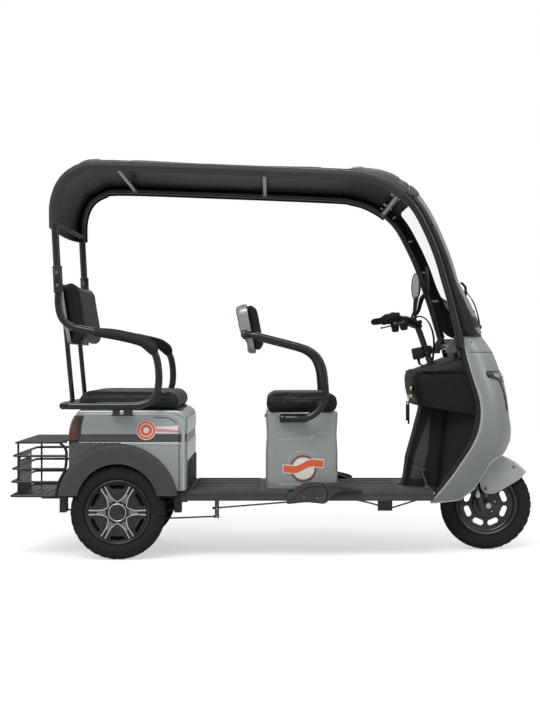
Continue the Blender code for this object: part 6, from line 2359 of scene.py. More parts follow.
@dataclass(frozen=True)
class Canopy:
    """The long tubes over both sides, the stretched cover, its hems and straps, and the windscreen.

    The path gives x, half width and z of the tube from its foot behind the bench to the dashboard.
    """

    tube: float = 0.016
    half: float = 0.388
    gap: float = 0.0188
    screen_gap: float = 0.0203
    path: tuple[tuple[float, float, float], ...] = (
        (-0.953, 0.388, 1.200), (-0.968, 0.388, 1.490), (-0.960, 0.388, 1.600), (-0.925, 0.388, 1.672),
        (-0.860, 0.388, 1.714), (-0.770, 0.388, 1.728), (-0.300, 0.388, 1.713), (0.280, 0.388, 1.689),
        (0.380, 0.388, 1.678), (0.460, 0.387, 1.654), (0.540, 0.384, 1.607), (0.605, 0.378, 1.540),
        (0.660, 0.370, 1.440), (0.705, 0.357, 1.335), (0.739, 0.342, 1.229), (0.770, 0.325, 1.129),
        (0.818, 0.300, 0.950),
    )
    cover_span: tuple[float, float] = (0.92 / 16, 10.12 / 16)
    screen_span: tuple[float, float] = (10 / 16, 1.0)
    bars: tuple[tuple[float, float, float, float], ...] = (
        (-0.968, 1.490, 0.388, 0.011), (-0.702, 1.7270, 0.388, 0.011), (-0.055, 1.7035, 0.388, 0.011),
        (0.535, 1.610, 0.384, 0.012),
    )

    def build(self) -> None:
        """Makes every piece."""
        self.frame_tubes()
        self.cover()
        self.cover_details()
        self.screen()
        self.base_panel()
        self.screen_fittings()

    def at(self, share: float) -> tuple[Vector, Vector]:
        """The tube's middle line and its outward direction at a share of its length.

        Args:
            share: the share of the tube's length.

        Returns:
            The point and the outward direction there.
        """
        given = [Vector(p) for p in self.path]
        place = share * (len(given) - 1)
        step = 0.5
        before, after = max(0.0, place - step), min(len(given) - 1.0, place + step)
        along = curve_at(given, after) - curve_at(given, before)
        return curve_at(given, place), Vector((-along.z, 0.0, along.x)).normalized()

    def frame_tubes(self) -> None:
        """The two long tubes, joined under the windscreen, and the cross bars."""
        low_turn = [
            (0.8155, 0.299, 0.962), (0.813, 0.288, 0.9475), (0.812, 0.268, 0.945), (0.812, 0.235, 0.945),
            (0.812, 0.180, 0.945), (0.812, 0.100, 0.945)
        ]
        half = list(self.path[:-1]) + low_turn
        route = mirrored(half, -1) + mirrored(half[::-1], 1)
        work = Workpiece()
        work.sweep(flowing(route, 5), self.tube, 24)
        show(work, "canopy_tubes", GLOSS_BLACK, "chassis", Slot.TUBE, ("canopy_frame",))
        bars = Workpiece()
        for x, z, reach, radius in self.bars[1:]:
            bars.rod((x, -reach, z), (x, reach, z), radius, 20)
        show(bars, "canopy_cross_bars", BAR_GREY, "chassis", Slot.TUBE)
        x, z, reach, radius = self.bars[0]
        rear = Workpiece()
        rear.rod((x, -reach, z), (x, reach, z), radius, 20)
        show(rear, "canopy_rear_bar", PLASTIC_DARK, "chassis", Slot.TUBE)
        gaskets = Workpiece()
        for side in (-1, 1):
            line = []
            for step in range(61):
                here, out = self.at(0.629 + (0.988 - 0.629) * step / 60)
                line.append(Vector((here.x, (here.y - 0.003) * side, here.z)) + out * 0.0178)
            gaskets.sweep(line, 0.0052, 10, soft_ends=True)
        show(gaskets, "windscreen_gaskets", GRIP_RUBBER, "chassis", Slot.PLASTIC)
        rings = Workpiece()
        for x, z, reach, radius in self.bars[1:]:
            for side in (-1, 1):
                rings.rod(
                    (x, side * (reach - 0.036), z), (x, side * (reach - 0.018), z), radius + 0.0045, 20,
                    0.002
                )
                rings.hexagon((x, side * (reach - 0.027), z - radius - 0.003), -UP, 0.010, 0.005, 0.007)
        show(rings, "canopy_bar_clamps", DARK_ZINC, "chassis", Slot.STEEL)

    def cover_point(self, across: float, share: float, lift: float = 0.0) -> Vector:
        """A point on the cover: across from -1 to 1 at the hems, share of the tube's length.

        Args:
            across: -1 at the right hem, 1 at the left hem; beyond 0.86 the cover turns down.
            share: share of the tube's length.
            lift: how far outside the cover's middle.

        Returns:
            The point, with the cover's sag between its bars and its small folds.
        """
        here, out = self.at(share)
        turn = 0.86
        side = math.copysign(1.0, across)
        flat = min(1.0, abs(across) / turn)
        edge = self.gap + lift
        over = max(0.0, abs(across) - turn) / (1 - turn)
        y = here.y * flat
        drop = 0.0
        if over > 0:
            angle = min(1.0, over / 0.55) * math.pi / 2
            y = here.y + edge * math.sin(angle)
            drop = edge * (1 - math.cos(angle)) + max(0.0, over - 0.55) / 0.45 * 0.021
        along = (share - self.cover_span[0]) / (self.cover_span[1] - self.cover_span[0])
        front = smooth((along - 0.60) / 0.30)
        crown = (0.030 + 0.056 * front) * max(0.0, 1 - flat ** (4.0 - 1.8 * front))
        # the cover lies a little lower between the cross bars, and small folds run across it
        bays = (0.0, 0.46, 0.66, 0.99, 1.01)
        sag = crease = 0.0
        for first, last in zip(bays, bays[1:]):
            if first <= along < last:
                bay = math.sin(math.pi * (along - first) / (last - first))
                sag = 0.0075 * bay**2
                for middle, wide in ((0.50, 0.16), (0.72, 0.07)):
                    crease += (
                        0.0034 * math.exp(-(((flat - middle - wide * bay) / 0.022) ** 2))
                        * min(1.0, bay * 2)
                    )
        for middle in (0.15, 0.22, 0.31):
            crease += (
                0.0030 * math.exp(-(((along - middle + 0.02 * flat) / 0.006) ** 2)) * smooth(flat * 2 - 0.8)
            )
        folds = 0.0016 * noise.noise(Vector((along * 9.0, across * 2.2, 3.1)))
        folds += 0.0009 * noise.noise(Vector((along * 34.0, across * 3.0, 7.7)))
        soft = (1 - flat**6) if over == 0 else 0.0
        level = edge + crown - drop - (sag + crease - folds * 2.4) * soft
        return Vector((here.x, y * side, here.z)) + out * level

    def cover(self) -> None:
        """The stretched vinyl cover with its wall."""
        work = Workpiece()
        first, last = self.cover_span

        def place(across: float, along: float) -> Vector:
            """The point of the cover between its front and rear hems."""
            return self.cover_point(across * 2 - 1, first + (last - first) * along)

        work.surface(96, 150, place)
        piece = show(
            work, "canopy_roof_cover", COVER_VINYL, "chassis", Slot.COVER, ("canopy_cover",),
            thickness=0.0030, sharp=180
        )

    def cover_details(self) -> None:
        """Rolled hems, welted seams and the raised panels between them."""
        first, last = self.cover_span
        hems = Workpiece()
        for side in (-1, 1):
            route = [self.cover_point(side, first + (last - first) * t / 90) for t in range(91)]
            hems.sweep(route, 0.0034, 10, soft_ends=True)
        for share in (first, last):
            route = [self.cover_point(t / 30 - 1, share) for t in range(61)]
            hems.sweep(route, 0.0036, 10, soft_ends=True)
        show(hems, "canopy_hems", COVER_VINYL, "chassis", Slot.COVER)
        welts = Workpiece()
        for side in (-1, 1):
            route = [
                self.cover_point(side * 0.80, first + (last - first) * t / 90, 0.0020) for t in range(91)
            ]
            welts.sweep(route, 0.0022, 8, soft_ends=True)
        for along in (0.46, 0.66):
            share = first + (last - first) * along
            welts.sweep(
                [self.cover_point(t / 25 * 0.84 - 0.84, share, 0.0018) for t in range(51)], 0.0020, 8
            )
        show(welts, "canopy_welts", COVER_WELT, "chassis", Slot.COVER)
        panels = Workpiece()
        for start, end in ((0.235, 0.442), (0.478, 0.642), (0.678, 0.945)):

            def place(across: float, along: float) -> Vector:
                """The point of the patch, which stands a little off the cover.

                Args:
                    across: the share across, from 0 to 1.
                    along: the share along, from 0 to 1.

                Returns:
                    The point.
                """
                rim = min(1.0, 14 * min(across, 1 - across), 22 * min(along, 1 - along))
                share = first + (last - first) * (start + (end - start) * along)
                return self.cover_point((across * 2 - 1) * 0.74, share, 0.0016 + 0.0060 * rim**0.5)

            panels.surface(60, 46, place)
        show(panels, "canopy_roof_panels", COVER_VINYL, "chassis", Slot.COVER, sharp=60)

    def screen_point(self, across: float, share: float, lift: float = 0.0) -> Vector:
        """A point on the windscreen's middle: across from -1 to 1, share of the tube's length.

        Args:
            across: the place across, from -1 to 1.
            share: the share of the tube's length.
            lift: how far it stands off.

        Returns:
            The point.
        """
        here, out = self.at(share)
        first, last = self.screen_span
        way = min(1.0, max(0.0, (share - first) / (last - first)))
        level = out.lerp(AHEAD, min(1.0, way * 1.6)).normalized()
        bulge = 0.080 + 0.008 * max(0.0, 1 - way * 6) + 0.036 * smooth((way - 0.62) / 0.30)
        shape = max(0.0, 1 - abs(across) ** 2.2) ** (1.0 - 0.45 * way)
        return Vector((here.x, across * here.y, here.z)) + level * (self.screen_gap + bulge * shape + lift)

    def screen(self) -> None:
        """The clear pane and the black border round it."""
        first, last = self.screen_span[0] + 0.0062, self.screen_span[1] - 0.0123
        inner, low, high = 0.875, 1 / 14, 12.3 / 14

        def share_of(along: float) -> float:
            """The share of the tube's length at a share of the pane."""
            return first + (last - first) * along

        pane = Workpiece()
        pane.surface(60, 70, lambda across, along: self.screen_point(
            (across * 2 - 1) * (inner + 0.012), share_of(low - 0.008 + (high - low + 0.016) * along)))
        show(
            pane, "windscreen_pane", SCREEN_PANE, "chassis", Slot.PANE, ("windscreen",), thickness=0.0030,
            sharp=180
        )
        border = Workpiece()

        def around(share: float, inwards: float) -> Vector:
            """The point of the border between its outer and inner edges.

            Args:
                share: the share of the way round.
                inwards: the share of the way inwards, from 0 to 1.

            Returns:
                The point.
            """
            # walks the border's rounded rectangle from its outer to its inner edge
            grown = 1 - inwards
            sides = (-inner - (1 - inner) * grown, inner + (1 - inner) * grown)
            ends = (low * (1 - grown), high + (1 - high) * grown)
            plan = RoundedPlan((sides[0], ends[0] * 3), (sides[1], ends[1] * 3), 0.10)
            point = plan.at(share)
            rim = 0.0032 * math.sin(math.pi * inwards) ** 0.5
            return self.screen_point(max(-0.9999, min(0.9999, point.x)), share_of(point.y / 3), rim)

        border.rings(240, 8, around)
        show(
            border, "windscreen_border", BORDER_BLACK, "chassis", Slot.PLASTIC, ("windscreen_frame",),
            thickness=0.0050, sharp=60
        )
        seal = Workpiece()
        seal.sweep([around(t / 200, 0.98) for t in range(200)], 0.0034, 8, closed=True)
        show(seal, "windscreen_seal", GRIP_RUBBER, "chassis", Slot.PLASTIC)
        x, z, reach, radius = self.bars[3]
        header = Workpiece()

        def closing(across: float, along: float) -> Vector:
            """The point of the strip between the cross bar and the pane.

            Args:
                across: the share across, from 0 to 1.
                along: the share along, from 0 to 1.

            Returns:
                The point.
            """
            side = (across * 2 - 1) * 0.985
            bar = Vector((x + radius * 0.5, side * (reach - 0.012), z - radius * 0.7))
            return bar.lerp(self.screen_point(side, first + 0.004, -0.0035), along)

        header.surface(60, 8, closing)
        show(header, "windscreen_header", PLASTIC_DARK, "chassis", Slot.PLASTIC, thickness=0.0030, sharp=60)
        edge = Workpiece()
        edge.sweep([around(t / 200, 0.02) for t in range(200)], 0.0034, 8, closed=True)
        show(edge, "windscreen_edge_trim", BORDER_BLACK, "chassis", Slot.PLASTIC)

    def screen_fittings(self) -> None:
        """Clips and bolts that hold the windscreen to the tubes, its top plates, and the wiper."""
        clips, bolts = Workpiece(), Workpiece()
        for side in (-1, 1):
            for share in (0.655, 0.735, 0.825, 0.915):
                here = self.at(share)[0]
                seat = self.screen_point(side * 0.955, share)
                tube = Vector((here.x, here.y * side, here.z))
                clips.rod(tube.lerp(seat, 0.25), seat, 0.0060, 16, 0.001)
                away = (seat - tube).normalized()
                bolts.hexagon(seat + away * 0.003, away, 0.012, 0.0045, 0.010)
        for side in (-1, 1):
            for y in (0.18, 0.345):
                low, high = (
                    Vector((0.512, side * y - 0.024, 1.600)), Vector((0.560, side * y + 0.024, 1.6035))
                )
                turn = (
                    Matrix.Translation((0.536, 0, 1.620)) @ Matrix.Rotation(0.62, 4, "Y")
                    @ Matrix.Translation((-0.536, 0, -1.6))
                )
                clips.block(low, high, 0.0012, 2, turn)
                bolts.hexagon(
                    turn @ Vector((0.520, side * y, 1.6035)), turn.to_3x3() @ UP, 0.010, 0.004, 0.008
                )
        show(clips, "windscreen_clips", CLIP_GREY, "chassis", Slot.STEEL)
        show(bolts, "windscreen_bolts", DARK_ZINC, "chassis", Slot.STEEL)
        self.wiper()

    def ahead(self, share: float, across: float, out: float) -> Vector:
        """A point out in front of the windscreen.

        Args:
            share: the share of the tube's length.
            across: the place across, from -1 to 1.
            out: how far in front.

        Returns:
            The point.
        """
        point, near = self.screen_point(across, share), self.screen_point(across, share - 0.01)
        direction = (near - point).normalized()
        return point + Vector((direction.z, 0.0, -direction.x)) * out

    def base_panel(self) -> None:
        """The grey panel over the foot of the windscreen, higher at its sides than in the middle."""
        panel = Workpiece()

        def share_at(z: float) -> float:
            """The share of the tube's length at a height, found by halving.

            Args:
                z: the height.

            Returns:
                The share of the tube's length.
            """
            low, high = self.screen_span
            for _ in range(24):
                middle = (low + high) / 2
                low, high = (middle, high) if self.at(middle)[0].z > z else (low, middle)
            return (low + high) / 2

        def place(across: float, along: float) -> Vector:
            """The point of the panel, whose sides stand higher than its middle.

            Args:
                across: the share across, from 0 to 1.
                along: the share along, from 0 to 1.

            Returns:
                The point.
            """
            side = max(-1.0, min(1.0, across * 2 - 1)) * 0.865
            top = 1.040 + 0.150 * abs(side / 0.865) ** 1.7
            z = 0.9970 + (top - 0.9970) * along
            edge = min(along, 1 - along) * 12
            return self.screen_point(
                side, share_at(z),
                0.0042 - 0.0018 * max(0.0, 1 - edge) - 0.0018 * max(0.0, 1 - (1 - abs(across * 2 - 1)) * 20)
            )

        panel.surface(70, 26, place)
        show(panel, "windscreen_base_panel", PANEL_GREY, "chassis", Slot.GLOSS, thickness=0.0026, sharp=60)
        screws = Workpiece()
        for side in (-1, 1):
            for across, z in ((0.80, 1.012), (0.34, 1.010), (0.60, 1.100)):
                at = self.screen_point(side * across, share_at(z), 0.0048)
                out = (at - self.screen_point(side * across, share_at(z), -0.01)).normalized()
                screws.button(at, (out + ACROSS * side * across * 0.8).normalized(), 0.0062, 0.0034)
        show(screws, "windscreen_base_screws", PLASTIC_DARK, "chassis", Slot.STEEL)

    def wiper(self) -> None:
        """The wiper's pivot, its sprung arm and its blade."""
        arm = Workpiece()
        foot = self.ahead(0.973, 0.0, 0.0062)
        direction = (self.ahead(0.973, 0.0, 0.02) - foot).normalized()
        arm.rod(foot, foot + direction * 0.018, 0.0148, 32, 0.003, 0.012)
        arm.rod(foot + direction * 0.016, foot + direction * 0.021, 0.0075, 24, 0.001)
        arm.sweep(
            flowing(
                [
                    self.ahead(0.973, 0.0, 0.0190), self.ahead(0.957, -0.010, 0.0250),
                    self.ahead(0.940, -0.030, 0.0275), self.ahead(0.922, -0.070, 0.0250),
                    self.ahead(0.903, -0.120, 0.0200)
                ],
                5
            ),
            [0.0058] * 6 + [0.0048] * 8 + [0.0036] * 7, 12, 0.6
        )
        arm.rod(self.ahead(0.903, -0.135, 0.0190), self.ahead(0.903, -0.105, 0.0190), 0.0052, 16, 0.001)
        show(arm, "wiper_arm_and_pivot", SATIN_BLACK, "chassis", Slot.PLASTIC, ("wiper",))
        blade = Workpiece()
        line = flowing(
            [
                self.ahead(0.880, -0.740, 0.0165), self.ahead(0.8865, -0.580, 0.0180),
                self.ahead(0.893, -0.420, 0.0185), self.ahead(0.903, -0.120, 0.0175),
                self.ahead(0.912, 0.020, 0.0190)
            ],
            8
        )
        blade.sweep(line, 0.0046, 10, 0.7, soft_ends=True)
        blade.sweep([p + direction * -0.0060 for p in line], 0.0020, 8, 1.6)
        show(blade, "wiper_blade", GRIP_RUBBER, "chassis", Slot.PLASTIC)


# ---------------------------------------------------------------- driver's seat


@dataclass(frozen=True)
class DriverSeat:
    """The painted box over the battery, its cushion, the arm tube and the backrest."""

    low: tuple[float, float] = (-0.050, -0.200)
    high: tuple[float, float] = (0.277, 0.200)
    corner: float = 0.024
    foot: float = 0.3016
    top: float = 0.646
    plane: tuple[float, float] = (-0.1249, 1.0)
    lean: float = math.radians(11)
    arm: tuple[tuple[float, float, float], ...] = (
        (0.036, 0.2195, 0.6195), (0.100, 0.240, 0.620), (0.135, 0.262, 0.624), (0.174, 0.264, 0.646),
        (0.204, 0.264, 0.680), (0.217, 0.264, 0.720), (0.214, 0.264, 0.790), (0.205, 0.264, 0.845),
        (0.184, 0.264, 0.891), (0.148, 0.264, 0.922), (0.100, 0.264, 0.941), (-0.030, 0.264, 0.975),
        (-0.100, 0.262, 0.992), (-0.134, 0.240, 0.9965), (-0.1405, 0.215, 0.9968), (-0.1408, 0.0, 0.9969)
    )

    def build(self) -> None:
        """Makes every piece."""
        self.box()
        self.prints()
        self.arms()
        Cushion(
            "driver_seat_cushion", (-0.054, -0.235, 0.6466), (0.281, 0.235, 0.7293), "driver_seat_lid",
            "driver_cushion", Matrix(), round_by=0.026, crown=0.006, pull=0.006, channels=(("x", 0.235),),
            seam_up=0.70
        ).build()
        Backrest("driver", self.plane, self.lean, 0.200, -0.087, 0.137, 0.048, 0.0375).build()

    def press(self, point: Vector, on_side: bool) -> float:
        """How far the box's wall stands out at a point: its waist, raised side panel, creases and notch.

        Args:
            point: the point.
            on_side: whether the point is on a side wall.

        Returns:
            How far the wall stands out there.
        """
        out = -0.0045 * math.exp(-(((point.z - 0.545) / 0.060) ** 2))
        out -= 0.0030 * max(0.0, (0.330 - point.z) / 0.030)
        if not on_side:
            return out
        inside = min(1.0, max(0.0, min(point.x + 0.002, 0.238 - point.x) / 0.006))
        inside *= min(1.0, max(0.0, min(point.z - 0.318, 0.632 - point.z) / 0.006))
        out -= 0.0022 * inside
        creases = (
            math.exp(-(((point.z - 0.5546) / 0.0030) ** 2))
            + 0.7 * math.exp(-(((point.z - 0.5275) / 0.0028) ** 2))
        )
        away = abs(point.x - 0.1300)
        notch = min(1.0, max(0.0, (0.054 - (0.5546 - point.z) * 0.85 - away) / 0.005))
        notch *= min(1.0, max(0.0, min(point.z - 0.528, 0.554 - point.z) / 0.005))
        return out - 0.0016 * creases * inside - 0.0040 * notch

    def box(self) -> None:
        """The box with its pressed sides, its flanged mouth, dark inside, lock and battery."""
        work = Workpiece()
        plan = RoundedPlan(self.low, self.high, self.corner)
        mouth = RoundedPlan((-0.028, -0.178), (0.255, 0.178), 0.014)

        def wall(across: float, along: float) -> Vector:
            """The point of the pressed wall.

            Args:
                across: the share across, from 0 to 1.
                along: the share along, from 0 to 1.

            Returns:
                The point.
            """
            flat = plan.at(across)
            z = self.foot + (self.top - 0.0005 - self.foot) * along
            on_side = abs(flat.y) > 0.199
            point = plan.at(
                across,
                self.press(Vector((flat.x, flat.y, z)), on_side) - 0.0015
                - 0.0035 * max(0, along - 0.985) / 0.015
            )
            return Vector((point.x, point.y, z))

        def flange(across: float, along: float) -> Vector:
            """The point of the flat top, which rolls down at its mouth.

            Args:
                across: the share across, from 0 to 1.
                along: the share along, from 0 to 1.

            Returns:
                The point.
            """
            rim, hole = plan.at(across, -0.0065), mouth.at(across)
            point = rim.lerp(hole, min(1.0, along / 0.75))
            return Vector((
                point.x, point.y,
                self.top - 0.0006 - (0.012 * (along - 0.75) / 0.25 if along > 0.75 else 0.0)
            ))

        work.surface(280, 120, wall)
        work.surface(280, 4, flange)
        show(
            work, "driver_box_shell", SILVER, "chassis", Slot.PAINT, ("driver_box",), thickness=0.0026,
            sharp=50
        )
        inner = Workpiece()
        lining = RoundedPlan((-0.038, -0.188), (0.265, 0.188), 0.016)
        inner.surface(80, 4, lambda across, along: Vector((*lining.at(across), 0.305 + 0.325 * along)))
        inner.block((-0.037, -0.187, 0.3020), (0.264, 0.187, 0.3050))
        show(inner, "driver_box_lining", PLASTIC_DARK, "chassis", Slot.PAINT, thickness=0.0015)
        lock = Workpiece()
        lock.rod((-0.049, -0.120, 0.628), (-0.0535, -0.120, 0.628), 0.0090, 24, 0.001)
        lock.rod((-0.050, -0.120, 0.628), (-0.0550, -0.120, 0.628), 0.0060, 20, 0.001)
        show(lock, "driver_box_lock", SATIN_BLACK, "chassis", Slot.PLASTIC)
        cells = Workpiece()
        for number in range(4):
            x = 0.0005 + number * 0.0562
            cells.block((x, -0.149, 0.3062), (x + 0.0550, 0.149, 0.4820), 0.004, 2)
            cells.block((x + 0.002, -0.146, 0.4810), (x + 0.053, 0.146, 0.4900), 0.002, 1)
            for side in (-1, 1):
                cells.rod(
                    (x + 0.0275, side * 0.115, 0.489), (x + 0.0275, side * 0.115, 0.4952), 0.0075, 16,
                    0.0008
                )
        show(cells, "battery_cells", PLASTIC, "chassis", Slot.PLASTIC, ("battery_box",))

    def prints(self) -> None:
        """A plain round badge with a ribbon across it on each side of the box."""
        for name, side in SIDES:
            face = Matrix((AHEAD, UP, ACROSS * side)).transposed().to_4x4()
            centre = (0.1203, 0.3920)
            disc = Workpiece()
            disc.plate(circle(0.060, 72, centre), 0.0005, Matrix.Translation((0, side * 0.1979, 0)) @ face)
            for step in range(48):
                turn = math.tau * (step + 0.5) / 48
                if abs(math.sin(turn)) < 0.55:
                    continue
                x, z = centre[0] + 0.078 * math.cos(turn), centre[1] + 0.078 * math.sin(turn)
                if z > 0.324:
                    place = (
                        facing(Vector((x, side * 0.1979, z)), ACROSS * side)
                        @ Matrix.Rotation(-turn * side, 4, "Z")
                    )
                    disc.block((-0.0022, -0.0011, 0.0), (0.0022, 0.0011, 0.0004), place=place)
            show(disc, f"driver_badge_{name}", DRIVER_BADGE, "chassis", Slot.PAINT)
            for grow, lift, finish, kind in (
                (0.004, 0.0006, RIBBON_EDGE, "edge"), (0.0, 0.0009, RIBBON, "face")
            ):
                upper = [
                    (x, 0.018 + 0.22 * x + 0.007 * math.sin(x * 52))
                    for x in [k * 0.01 - 0.09 for k in range(19)]
                ]
                under = [
                    (x, -0.014 + 0.22 * x + 0.007 * math.sin(x * 52))
                    for x in [0.09 - k * 0.01 for k in range(19)]
                ]
                line = [(centre[0] + x * (1 + grow * 8), centre[1] + 0.008 + z + grow) for x, z in upper]
                line += [(centre[0] + x * (1 + grow * 8), centre[1] + 0.008 + z - grow) for x, z in under]
                ribbon = Workpiece()
                ribbon.plate(line, 0.0004, Matrix.Translation((0, side * (0.1979 + lift), 0)) @ face)
                show(ribbon, f"driver_ribbon_{kind}_{name}", finish, "chassis", Slot.PAINT)

    def arms(self) -> None:
        """The long tube of both arms, its flat feet, and the collars at the backrest."""
        route = mirrored(self.arm, -1) + mirrored(self.arm[:-1][::-1], 1)
        work = Workpiece()
        work.sweep(flowing(route, 6), 0.016, 24, soft_ends=True)
        for side in (-1, 1):
            foot = [
                (0.022, side * 0.2120, 0.6192), (0.060, side * 0.2150, 0.6192),
                (0.098, side * 0.2270, 0.6195), (0.128, side * 0.2480, 0.6222)
            ]
            work.sweep(flowing(foot, 4), [0.0172] * 9 + [0.0168] * 4, 20, 1.08, soft_ends=True)
            y0, y1 = sorted((side * 0.1985, side * 0.2125))
            work.block((0.014, y0, 0.5990), (0.136, y1, 0.6395), 0.006, 3)
        show(work, "driver_arm_tube", GLOSS_BLACK, "chassis", Slot.TUBE, ("driver_arm_frame",))
        collars = Workpiece()
        for side in (-1, 1):
            collars.rod(
                (-0.1408, side * 0.1955, 0.9968), (-0.1404, side * 0.2110, 0.9968), 0.0215, 32, 0.004
            )
        show(collars, "driver_arm_collars", PLASTIC_DARK, "chassis", Slot.PLASTIC)


# ---------------------------------------------------------------- nose


@dataclass(frozen=True)
class Nose:
    """The painted cowl with its rolled edge, top panel, seams, headlamp and light strips.

    Its stations give z, half width, x of the rear edge and x of the nose.
    Its cut is the edge over the wheel.
    """

    stations: tuple[tuple[float, float, float, float], ...] = (
        (0.236, 0.200, 0.690, 0.960), (0.300, 0.215, 0.742, 1.000), (0.360, 0.226, 0.787, 1.030),
        (0.420, 0.238, 0.826, 1.055), (0.480, 0.250, 0.864, 1.074), (0.550, 0.262, 0.895, 1.085),
        (0.625, 0.271, 0.908, 1.075), (0.700, 0.278, 0.903, 1.066), (0.770, 0.283, 0.882, 1.052),
        (0.830, 0.285, 0.862, 1.030), (0.920, 0.285, 0.838, 0.995), (0.985, 0.282, 0.824, 0.948),
    )
    cut: tuple[tuple[float, float], ...] = (
        (0.690, 0.230), (0.735, 0.238), (0.827, 0.247), (0.893, 0.296), (0.920, 0.337), (0.945, 0.385),
        (0.975, 0.425), (1.030, 0.452), (1.060, 0.498), (1.084, 0.530), (1.200, 0.560)
    )

    def build(self) -> None:
        """Makes every piece."""
        self.cowl()
        self.edges()
        self.headlamp()

    def section(self, z: float) -> tuple[float, float, float]:
        """Half width, x of the rear edge and x of the nose at a height.

        Args:
            z: the height.

        Returns:
            Half width, x of the rear edge and x of the nose.
        """
        rows = self.stations
        index = next((i for i in range(len(rows) - 1) if z <= rows[i + 1][0]), len(rows) - 2)
        share = (z - rows[index][0]) / (rows[index + 1][0] - rows[index][0])
        here = curve_at([Vector(row[1:]) for row in rows], index + min(1.0, max(0.0, share)))
        return here.x, here.y, here.z

    def at(self, across: float, z: float, lift: float = 0.0) -> Vector:
        """A point of the cowl: across from -1 to 1, some way out along its section.

        Args:
            across: the place across, from -1 to 1.
            z: the height.
            lift: how far it stands off.

        Returns:
            The point.
        """
        half, edge, nose = self.section(z)
        across = max(-1.0, min(1.0, across))
        point = Vector((edge + (nose - edge) * max(0.0, 1 - abs(across) ** 2.4) ** 0.5, across * half, z))
        return point + Vector((max(0.0, 1 - across * across) ** 0.5, across, 0.0)) * lift

    def foot(self, across: float) -> float:
        """The height of the cowl's lower edge at a place across it.

        Args:
            across: the place across, from -1 to 1.

        Returns:
            The height of the edge.
        """
        low, high = self.stations[0][0], 0.60
        for _ in range(24):
            z = (low + high) / 2
            x = self.at(across, z).x
            floor = next(
                (
                    a[1] + (b[1] - a[1]) * (x - a[0]) / (b[0] - a[0])
                    for a, b in zip(self.cut, self.cut[1:])
                    if x <= b[0]
                ),
                self.cut[-1][1]
            )
            low, high = (low, z) if z > floor else (z, high)
        return (low + high) / 2

    def cowl(self) -> None:
        """The painted sheet, with a seam below its top panel and a soft crease along each side."""
        work = Workpiece()
        last = 110

        def place(across: float, along: float) -> Vector:
            """The point of the painted sheet, with its seam and crease.

            Args:
                across: the share across, from 0 to 1.
                along: the share along, from 0 to 1.

            Returns:
                The point.
            """
            turn = math.radians(-90 + 180 * across)
            side = math.sin(turn)
            low = self.foot(side)
            z = low + (0.985 - low) * along
            seam = -0.0024 * math.exp(-(((z - 0.9165) / 0.0022) ** 2))
            crease = (
                -0.0015 * math.exp(-(((abs(side) - 0.80) / 0.055) ** 2))
                * min(1.0, max(0.0, (0.90 - z) / 0.10))
            )
            return self.at(side, z, seam + crease)

        work.surface(140, last, place)
        # the cowl's silver carries painted shade towards its foot
        show(
            work, "cowl_shell", SILVER_COWL_PAINTED_SHADE, "chassis", Slot.GLOSS, ("front_cowl",), thickness=0.0034,
            sharp=70
        )

    def edges(self) -> None:
        """The rolled edges at the rear and over the wheel, pale as painted highlights, and the bolts of the
        top panel.
        """
        edge = Workpiece()
        for side in (-1, 1):
            heights = [0.242 + (0.978 - 0.242) * t / 70 for t in range(71)]
            edge.sweep(
                [self.at(side, z) + Vector((0.0035, 0, 0)) for z in heights], 0.0046, 12, 0.75,
                soft_ends=True
            )
            def band(across: float, along: float) -> Vector:
                """The point of the broad pale band behind the edge, a painted highlight like the edge.

                Args:
                    across: the share across, from 0 to 1.
                    along: the share along, from 0 to 1.

                Returns:
                    The point.
                """
                z = 0.246 + (0.826 - 0.246) * along
                _, rear, nose = self.section(z)
                inwards = (0.001 + 0.017 * across * min(1.0, 6 * (1 - along))) / (nose - rear)
                return self.at(side * (1 - inwards * inwards) ** (1 / 2.4), z, 0.0024 - 0.0012 * across)

            edge.surface(5, 70, band)
        route = []
        for t in range(121):
            side = math.sin(math.radians(-87 + 174 * t / 120))
            route.append(self.at(side, self.foot(side) + 0.0015))
        edge.sweep(route, 0.0032, 10, soft_ends=True)
        # the pale edges and the band behind them are painted highlights
        show(edge, "cowl_rolled_edges", SILVER_PAINTED_LIGHT, "chassis", Slot.GLOSS)
        bolts = Workpiece()
        for side in (-1, 1):
            for across, z in ((0.97, 0.962), (0.74, 0.958)):
                place = self.at(side * across, z, 0.001)
                out = Vector((max(0.12, 1 - across**2) ** 0.5, side * across, 0.0)).normalized()
                bolts.button(place, out, 0.0036, 0.0018)
        show(bolts, "cowl_screws", PLASTIC_DARK, "chassis", Slot.STEEL)
        seam = Workpiece()
        turns = [math.sin(math.radians(-84 + 168 * t / 120)) for t in range(121)]
        seam.sweep([self.at(turn, 0.9165, 0.0012) for turn in turns], 0.0011, 8)
        show(seam, "cowl_seam", VOID_BLACK, "chassis", Slot.GLOSS)

    def headlamp(self) -> None:
        """The wide slit lamp: bezel, fluted lens, bright inserts, and a strip down each side of the nose."""
        bezel = Workpiece()
        half, low, high = 0.2640, 0.7808, 0.8332

        def on_nose(y: float, z: float, lift: float) -> Vector:
            """The point on the nose, where the lamp narrows to its sides."""
            z = high - (high - z) * (1 - 0.37 * smooth((abs(y) - 0.165) / 0.090))
            return self.at(y / self.section(z)[0], z, lift)

        def along_half(share: float) -> float:
            """The place across the nose in even steps along its curve."""
            # even steps along the nose's curve rather than across it
            return half * math.sin(share * 1.25) / math.sin(1.25)

        def frame_point(share: float, inwards: float) -> Vector:
            """The point of the frame between its outer and inner edges.

            Args:
                share: the share of the way round.
                inwards: the share of the way inwards, from 0 to 1.

            Returns:
                The point.
            """
            plan = RoundedPlan((-1.0, low * 10), (1.0, high * 10), 0.14)
            point = plan.at(share, -0.065 * inwards)
            return on_nose(along_half(point.x), point.y / 10, 0.0048 - 0.0030 * inwards**2)

